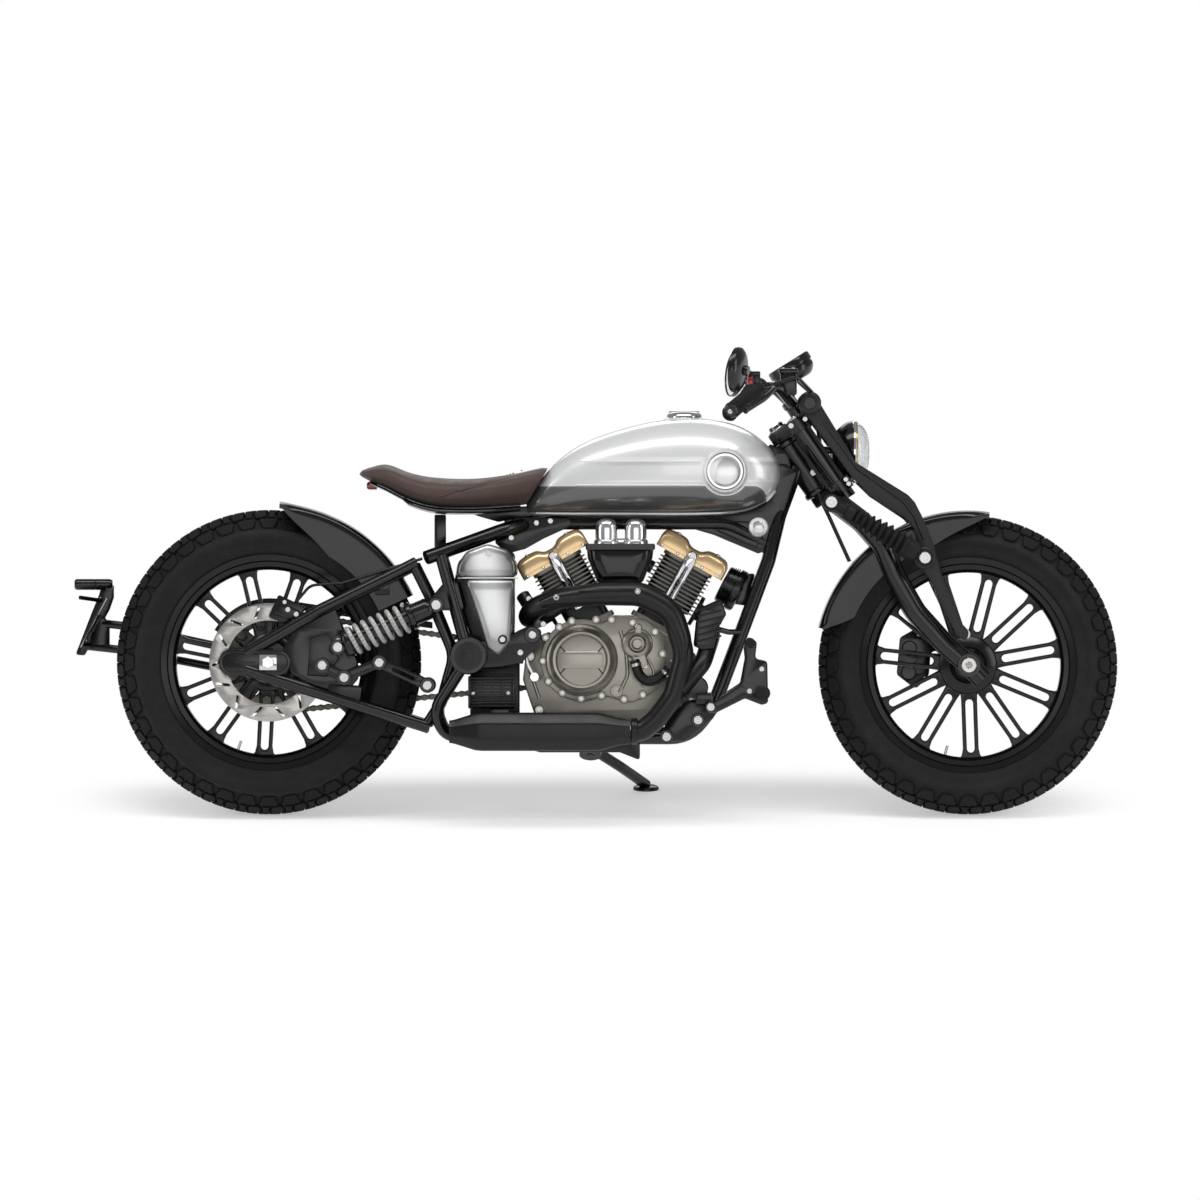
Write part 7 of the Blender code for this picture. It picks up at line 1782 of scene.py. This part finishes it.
def makeWheelFork():
    legs, tubes = [], []
    axleX, axleZ = frontAxle.x, frontAxle.z
    for s in (-1, 1):
        y = s * 0.1
        leg = [(0.47, 0.668), (0.523, 0.628), (0.566, 0.579), (0.592, 0.514), (0.637, 0.435), (0.701, 0.364),
            (0.75, 0.321), (0.78, 0.29)]
        legs.append(tube([(x, y, z) for x, z in leg], 0.0228, bend=0.1, sides=32))
        legs.append(turned([(0, 0.0), (0.0235, 0.0), (0.0255, 0.002), (0.0255, 0.045), (0.0235, 0.047),
            (0, 0.047)], (axleX, s * 0.0765, axleZ), (0, s, 0), 44))
        link = slotOutline((0.455, 0.67), (0.487, 0.656), 0.0185, 12)
        legs.append(plate(link, s * 0.1125, s * 0.1235, soft=0.002))
        ends = [onSteering(down, fork["tubeAhead"], s * fork["tubeY"]) for down in (-0.0238, 0.182)]
        tubes.append(rod(*ends, fork["tubeRadius"], 40))
    legs.append(rod((0.472, -0.1, 0.664), (0.472, 0.1, 0.664), 0.019))
    piece("wheelForkLegs", legs, black, "fork", "black", ("wheel_fork",))
    piece("forkTubes", tubes, tubeGloss, "fork", "gloss")
    shapes = [rod((axleX, -0.137, axleZ), (axleX, 0.137, axleZ), 0.0085)]
    for s in (-1, 1):
        shapes.append(turned([(0, 0.013), (0.015, 0.013), (0.017, 0.01), (0.018, 0.002), (0.018, 0), (0, 0)],
            (axleX, s * 0.124, axleZ), (0, s, 0), 40))
        shapes.append(rod((axleX, s * 0.0583, axleZ), (axleX, s * 0.0755, axleZ), 0.018, 32, 0.0008))
    piece("frontAxle", shapes, boltSteel, "fork", "steel", ("front_axle",))
    pinch = [at(0.742, s * 0.1262, 0.388, (0, s, 0), 0.011) for s in (-1, 1)]
    bolts("axlePinchBolts", pinch, "fork", kind="cap")


def makeFrontShock(s, side):
    y = s * 0.176
    top, bottom = Vector((0.455, y, 0.67)), Vector((0.655, y, 0.551))
    down = (bottom - top).normalized()
    length = (bottom - top).length
    profile = [(0, length - 0.012), (0.015, length - 0.016), (0.0215, length - 0.026), (0.022, length - 0.03),
        (0.022, length - 0.048)]
    ribs, first, last = 9, length - 0.05, 0.066
    for i in range(ribs):
        share = i / (ribs - 1)
        wide, height = 0.029 - 0.0085 * share, first + (last - first) * share
        pitch = (first - last) / (ribs - 1)
        profile += [(wide - 0.0085, height + pitch * 0.42), (wide - 0.0016, height + pitch * 0.16),
            (wide, height), (wide - 0.0016, height - pitch * 0.16), (wide - 0.0085, height - pitch * 0.42)]
    profile += [(0.018, 0.056), (0.0185, 0.054), (0.0185, 0.04), (0.017, 0.038), (0.012, 0.034), (0.012, 0.012),
        (0, 0.012)]
    shapes = [turned(profile, top, down, 44)]
    shapes += [sleeve(0.01, 0.018, 0.012, 0.0015, 0.002, p, (0, s, 0), 36) for p in (top, bottom)]
    shapes += [rod((top.x, s * 0.1238, top.z), (top.x, y, top.z), 0.01), rod((bottom.x, s * 0.1508, bottom.z),
        (bottom.x, y, bottom.z), 0.01)]
    piece("frontShock_" + side, shapes, rubber, "fork", "rubber", ("front_shock_" + side,), 42)
    bolts("frontShockBolts_" + side, [at(p.x, y + s * 0.011, p.z, (0, s, 0), 0.0125) for p in (top, bottom)],
        "fork", kind="cap")


def gripLine(s):
    inner, outer = Vector((0.3, s * 0.275, 0.915)), Vector((0.238, s * 0.392, 0.862))
    return inner, (outer - inner).normalized()


def makeBar():
    half = [(0.372, 0.12, 0.88), (0.34, 0.235, 0.915), (0.3, 0.275, 0.915), (0.238, 0.392, 0.862)]
    line = [(x, -y, z) for x, y, z in reversed(half)] + [(0.372, 0.0, 0.876)] + half
    shapes = [tube(line, 0.0111, bend=0.05, sides=24)]
    for s in (-1, 1):
        foot = onSteering(-0.0243, 0.0528, s * 0.0745)
        shapes.append(rod(foot, onSteering(-0.049, 0.0528, s * 0.0745), 0.014, 32, 0.0015))
        shapes.append(rod(onSteering(-0.062, 0.0528, s * 0.0745), onSteering(-0.047, 0.0528, s * 0.0745),
            0.0165, 32, 0.002))
    shapes.append(box((0.345, -0.207, 0.898), (0.381, -0.165, 0.945), 0.005))
    shapes.append(box((0.3425, -0.2095, 0.944), (0.3835, -0.1625, 0.955), 0.003))
    piece("handlebar", shapes, black, "fork", "black", ("handlebar",))
    heads = [((0.352, -0.2, 0.955), (0, 0, 1), 0.003), ((0.374, -0.172, 0.955), (0, 0, 1), 0.003)]
    heads += [(onSteering(-0.06, 0.0528 + d, s * 0.0745), (0.4, 0, 0.9), 0.004) for s in (-1, 1)
        for d in (-0.01, 0.01)]
    bolts("barBolts", heads, "fork", kind="cap")


def makeGrip(s, side):
    inner, out = gripLine(s)
    fore = Vector((0.86, 0, 0.2)).normalized()
    base = inner + out * 0.018
    profile = [(0.0125, -0.004), (0.0205, -0.004), (0.0215, -0.002), (0.0215, 0.0225), (0.0205, 0.024),
        (0.0192, 0.0262), (0.0192, 0.0285), (0.018, 0.0305), (0.016, 0.032)]
    for i in range(22):
        h = 0.0345 + i * 0.0037
        profile += [(0.0156, h - 0.001), (0.0166, h), (0.0156, h + 0.001)]
    profile += [(0.017, 0.116), (0.0178, 0.1175), (0.0165, 0.119), (0.0125, 0.119)]
    shapes = [turned(profile, base, out, 40, loop=True)]
    piece("grip_" + side, shapes, rubber, "fork", "rubber", ("grip_" + side,), 50)
    perch = inner + out * 0.026
    lever = [perch + fore * 0.016, perch + fore * 0.052 + out * 0.01, perch + fore * 0.056 + out * 0.06, perch
        + fore * 0.04 + out * 0.12]
    ball = lever[-1] - (lever[-1] - lever[-2]).normalized() * 0.001
    dark = [tube(lever, 0.0052, bend=0.03), turned([(0, 0.0068), (0.004, 0.0052), (0.0066, 0.001),
        (0.0062, -0.0034), (0, -0.006)], ball, out, 20)]
    clamp = sleeve(0.0118, 0.0198, 0.009, 0.001, 0.0015, inner + out * 0.003, out, 32)
    piece("lever_" + side, dark + [clamp], black, "fork", "black")
    # bar end weight
    end = base + out * 0.119
    weight = turned([(0, 0.0085), (0.0075, 0.0085), (0.014, 0.006), (0.0162, 0.002), (0.0162, 0), (0, 0)], end,
        out, 32)
    piece("barEnd_" + side, [weight], black, "fork", "black")
    cap = turned([(0, 0.0012), (0.005, 0.001), (0.0058, 0), (0, 0)], end + out * 0.0082, out, 24)
    piece("barEndCap_" + side, [cap], boltSteel, "fork", "steel")
    aim = Vector((-0.4, 0.9 * s, 0.2))
    spot = base + out * 0.01 + aim.normalized() * 0.0212
    switch = [turned([(0, 0.005), (0.006, 0.0048), (0.0072, 0.0035), (0.0078, 0), (0, -0.001)], spot, aim, 24)]
    piece("switch_" + side, switch, gloss, "fork", "black")


def makeKillSwitch():
    housing = [box((0.274, -0.305, 0.906), (0.302, -0.262, 0.948), 0.004), box((0.27, -0.308, 0.939),
        (0.302, -0.27, 0.948), 0.0025)]
    piece("switchHousing", housing, black, "fork", "black")
    piece("killSwitch", [box((0.2745, -0.315, 0.917), (0.2865, -0.304, 0.937), 0.002)], redPlastic, "fork",
        "black")


def makeMirror(s, side):
    facing = Vector((-0.93, -0.3 * s, 0.1)).normalized()
    centre = Vector((0.257, s * 0.43, 0.949))
    shell = turned([(0.045, 0.009), (0.0465, 0.0115), (0.0482, 0.0112), (0.0488, 0.008), (0.0486, 0.003),
        (0.047, 0), (0.04, -0.0058), (0.026, -0.0105), (0.012, -0.012), (0, -0.0122), (0, 0.0085),
        (0.045, 0.0085)], centre, facing, 56)
    inner, out = gripLine(s)
    up = (Vector((0, 0, 1)) - out * out.z).normalized()
    perch = inner + out * 0.028
    stem = tube([centre - facing * 0.01, perch + up * 0.044, perch + up * 0.0212], 0.0052, bend=0.03, sides=18)
    foot = stud(0.0095, 0.01, 0.001, 0.002, perch + up * 0.0212, up, 6)
    neck = turned([(0, -0.004), (0.01, -0.004), (0.011, 0.002), (0.01, 0.01), (0, 0.01)], centre
        - facing * 0.016, facing, 28)
    piece("mirrorShell_" + side, [shell, stem, foot, neck], black, "fork", "black", ("mirror_" + side,))
    glass = turned([(0, 0.0098), (0.0452, 0.0094), (0.0452, 0.008), (0, 0.008)], centre, facing, 56)
    piece("mirrorGlass_" + side, [glass], mirrorGlass, "fork", "chrome")


def makeHeadlamp():
    x, z = 0.5, 0.779
    axis = (1, 0, 0)
    bowl = turned([(0, -0.046), (0.018, -0.045), (0.034, -0.04), (0.048, -0.03), (0.0585, -0.018),
        (0.064, -0.008), (0.0655, 0.0), (0.0655, 0.004), (0.062, 0.004), (0.056, -0.015), (0.04, -0.033),
        (0, -0.04)], (x, 0, z), axis, 72)
    stayAt = onSteering(0.062, 0.049)
    stay = rod(stayAt - Vector((0, 0.0697, 0)), stayAt + Vector((0, 0.0697, 0)), 0.007)
    arm = box((stayAt.x - 0.002, -0.012, stayAt.z - 0.008), (0.47, 0.012, stayAt.z + 0.008), 0.002)
    piece("headlampBowl", [bowl, stay, arm], gloss, "fork", "glass", ("headlamp",))
    rim = turned([(0.061, 0.003), (0.0665, 0.003), (0.068, 0.005), (0.068, 0.0085), (0.0665, 0.0105),
        (0.064, 0.0115), (0.0615, 0.011)], (x, 0, z), axis, 72, loop=True)
    piece("headlampRim", [rim], chrome, "fork", "chrome")
    ring = turned([(0.064, 0.0095), (0.0662, 0.01), (0.0665, 0.012), (0.064, 0.0135), (0.062, 0.0125)],
        (x, 0, z), axis, 72, loop=True)
    piece("headlampRing", [ring], brass, "fork", "chrome")
    reflector = turned([(0.06, 0.008), (0.056, -0.004), (0.046, -0.017), (0.032, -0.026), (0.015, -0.03),
        (0, -0.031), (0, -0.033), (0.033, -0.0285), (0.048, -0.019), (0.059, -0.004), (0.0615, 0.008)],
        (x, 0, z), axis, 72, loop=True)
    bulb = turned([(0, 0.005), (0.01, 0.003), (0.013, -0.004), (0.012, -0.02), (0.006, -0.03), (0, -0.03)],
        (x, 0, z), axis, 36)
    piece("headlampReflector", [reflector, bulb], chrome, "fork", "chrome")
    lens = turned([(0.062, 0.01), (0.06, 0.017), (0.054, 0.025), (0.044, 0.032), (0.03, 0.037), (0.015, 0.0393),
        (0, 0.04), (0, 0.038), (0.029, 0.0352), (0.0428, 0.0303), (0.0524, 0.0238), (0.0585, 0.016),
        (0.06, 0.0095)], (x, 0, z), axis, 72, loop=True)
    piece("headlampGlass", [lens], lampGlass, "fork", "glass")


def makeGauge():
    aim = Vector((-0.532, 0, 0.847)).normalized()
    centre = Vector((0.384, 0.0, 0.937))
    can = turned([(0, -0.006), (0.03, -0.006), (0.036, -0.003), (0.043, 0.004), (0.047, 0.011), (0.0474, 0.018),
        (0.046, 0.0192), (0.046, 0.0212), (0.0492, 0.0222), (0.0496, 0.024), (0.0496, 0.036), (0.048, 0.0388),
        (0.0455, 0.0395), (0.044, 0.038), (0.044, 0.034), (0, 0.034)], centre, aim, 64)
    post = rod((0.372, 0, 0.8873), (0.372, 0, 0.95), 0.007)
    piece("gaugeCan", [can, post], black, "fork", "black", ("gauge",))
    face = turned([(0, 0.0348), (0.0438, 0.0348), (0.0438, 0.0335), (0, 0.0335)], centre, aim, 64)
    piece("gaugeFace", [face], dialFace, "fork", "black")
    tick = box((-0.0008, 0.0335, -0.00025), (0.0008, 0.0405, 0.00025), 0)
    place = towardsMatrix(centre + aim * 0.0352, aim)
    marks = []
    for k in range(21):
        a = math.radians(-130 + 13 * k)
        long = 1.0 if k % 5 == 0 else 0.55
        mark = moved(tick, Matrix.Translation((0, 0.0405 * (1 - long), 0)) @ Matrix.Diagonal((1, long, 1, 1)))
        marks.append(moved(mark, place @ Matrix.Rotation(a, 4, "Z")))
    piece("gaugeMarks", marks, dialMarks, "fork", "black")
    needle = moved(box((-0.0009, -0.008, 0.0004), (0.0009, 0.033, 0.001), 0), place
        @ Matrix.Rotation(math.radians(118), 4, "Z"))
    hub = moved(turned([(0, 0.0022), (0.004, 0.002), (0.0046, 0.0008), (0.0046, 0), (0, 0)], (0, 0, 0),
        (0, 0, 1), 24), place)
    piece("gaugeNeedle", [needle, hub], redPlastic, "fork", "black")
    glass = turned([(0, 0.039), (0.044, 0.0384), (0.044, 0.0376), (0, 0.0382)], centre, aim, 56)
    piece("gaugeGlass", [glass], lampGlass, "fork", "glass")


def makeFrontCaliper():
    spots = ((-0.152, -0.021), (-0.11, -0.053), (-0.082, -0.021), (-0.078, 0.029), (-0.038, 0.031),
        (-0.05, 0.054), (-0.11, 0.079), (-0.145, 0.059))
    axleX, axleZ = frontAxle.x, frontAxle.z
    outline = [(axleX + a, axleZ + b) for a, b in spots]
    shapes = [plate(outline, 0.066, 0.0762, soft=0.002, rounding=0.012)]
    for a, b in ((-0.126, -0.016), (-0.124, 0.036)):
        shapes.append(turned([(0, 0.006), (0.014, 0.006), (0.016, 0.0042), (0.0165, 0), (0, 0)],
            (axleX + a, 0.0662, axleZ + b), (0, -1, 0), 36))
    piece("frontCaliper", shapes, black, "fork", "black", ("front_caliper",))
    bolts("frontCaliperBolts", [at(axleX + a, 0.066, axleZ + b, size=0.0048) for a,
        b in ((-0.09, -0.03), (-0.06, 0.042), (-0.104, 0.066))], "fork", kind="cap")


def makeLines():
    # thin stays and lines on both sides of the fork
    shapes = []
    for s in (-1, 1):
        y = s * 0.11
        shapes.append(tube([(0.427, y, 0.691), (0.452, y, 0.64), (0.496, y, 0.543)], 0.0028, bend=0.04,
            sides=12))
        shapes.append(tube([(0.39, s * 0.104, 0.785), (0.425, s * 0.114, 0.734), (0.45, s * 0.118, 0.7)],
            0.0044, bend=0.05, sides=14))
        inner, out = gripLine(s)
        start = inner + out * 0.02 + Vector((0.03, 0, 0.01))
        shapes.append(tube([start, start + Vector((0.06, -0.06 * s, 0.02)), (0.42, s * 0.12, 0.9),
            (0.432, s * 0.075, 0.8), (0.44, s * 0.068, 0.7)], 0.0034, bend=0.06, sides=14, steps=8))
    piece("forkLines", shapes, hoseBlack, "fork", "rubber")


makeYokes()
makeWheelFork()
makeBar()
makeHeadlamp()
makeGauge()
makeFrontCaliper()
makeLines()
makeKillSwitch()
for s, side in sides:
    for make in (makeGirder, makeFrontShock, makeGrip, makeMirror):
        make(s, side)
print("front end made")


# Floor, light and camera
studio = {"middle": (-0.0396, 0.4605), "distance": 40.0, "seen": 2.5762, "overhead": 60, "front": 34,
    "sides": 22}


def makeStage(s):
    bm = bmesh.new()
    bmesh.ops.create_grid(bm, x_segments=2, y_segments=2, size=30)
    mesh = bpy.data.meshes.new("floor")
    bm.to_mesh(mesh)
    bm.free()
    floor = newObject("floor", mesh)
    look = Look("palePaper", (0.8, 0.8, 0.8), Roughness=0.9, Specular_IOR_Level=0.0)
    direct, mirroredRay, through = [look.node("ShaderNodeLightPath", out="Is %s Ray" % kind)
        for kind in ("Camera", "Glossy", "Transmission")]
    seen = look.maths("MAXIMUM", look.maths("MAXIMUM", direct, mirroredRay), through)
    bright = look.node("ShaderNodeEmission", None, {"Color": (1, 1, 1, 1), "Strength": 0.4})
    lit = Wire(look, look.shader.outputs[0])
    mixed = look.node("ShaderNodeAddShader", None, {0: lit, 1: bright})
    # clean white further out, soft contact shadows close to the wheels
    white = look.node("ShaderNodeEmission", None, {"Color": (1, 1, 1, 1), "Strength": 1.0})
    x, y, _ = look.parts(look.node("ShaderNodeTexCoord", out="Object"))
    beyond = look.maths("MAXIMUM", look.maths("ABSOLUTE", x) - 0.75, 0.0)
    away = look.maths("SQRT", beyond * beyond + y * y)
    shown = look.node("ShaderNodeMixShader", None, {0: look.ease(away, 0.12, 0.46), 1: mixed, 2: white})
    chosen = look.node("ShaderNodeMixShader", None, {0: seen, 1: lit, 2: shown})
    look.tree.links.new(chosen.socket, look.tree.nodes["Material Output"].inputs["Surface"])
    floor.data.materials.append(look.material)

    def lamp(name, place, size, power, target):
        light = bpy.data.lights.new(name, "AREA")
        light.shape = "RECTANGLE"
        light.size, light.size_y = size
        light.energy = power
        obj = newObject(name, light)
        obj.location = place
        obj.rotation_euler = (Vector(target) - Vector(place)).to_track_quat("-Z", "Y").to_euler()

    lamp("overhead", (0, -0.9, 3.4), (4.2, 0.9), s["overhead"], (0, 0, 0.4))
    lamp("frontFill", (0.6, -5.0, 1.6), (4.5, 1.6), s["front"], (0, 0, 0.5))
    lamp("leftStrip", (-3.6, -1.5, 1.6), (1.0, 2.4), s["sides"], (0, 0, 0.5))
    lamp("rightStrip", (3.6, -1.5, 1.6), (1.0, 2.4), s["sides"], (0, 0, 0.5))
    lamp("backFill", (0, 4.2, 2.2), (3.0, 1.6), s["sides"], (0, 0, 0.5))

    world = bpy.data.worlds.new("paleRoom")
    bpy.context.scene.world = world
    world.use_nodes = True
    nodes, links = world.node_tree.nodes, world.node_tree.links
    ground = nodes["Background"]
    ground.inputs["Color"].default_value = (0.62, 0.63, 0.64, 1)
    ground.inputs["Strength"].default_value = 0.5
    white = nodes.new("ShaderNodeBackground")
    white.inputs["Color"].default_value = (1, 1, 1, 1)
    path = nodes.new("ShaderNodeLightPath")
    blend = nodes.new("ShaderNodeMixShader")
    links.new(path.outputs["Is Camera Ray"], blend.inputs[0])
    links.new(ground.outputs[0], blend.inputs[1])
    links.new(white.outputs[0], blend.inputs[2])
    links.new(blend.outputs[0], nodes["World Output"].inputs["Surface"])

    camera = bpy.data.cameras.new("camera")
    camera.sensor_width = 36
    camera.lens = 36 * s["distance"] / s["seen"]
    camera.clip_end = 150
    obj = newObject("camera", camera)
    bpy.context.scene.camera = obj
    target = stance @ Vector((s["middle"][0], 0, s["middle"][1]))
    aim = upright.to_3x3() @ Vector((0, 1, 0))
    obj.location = target - aim * s["distance"]
    across = Vector((1, 0, 0))
    turn = Matrix((across, (-aim).cross(across), -aim)).transposed().to_4x4()
    obj.matrix_world = Matrix.Translation(obj.location) @ turn
    bpy.context.scene.view_settings.view_transform = "Standard"


makeStage(studio)
print("stage made")
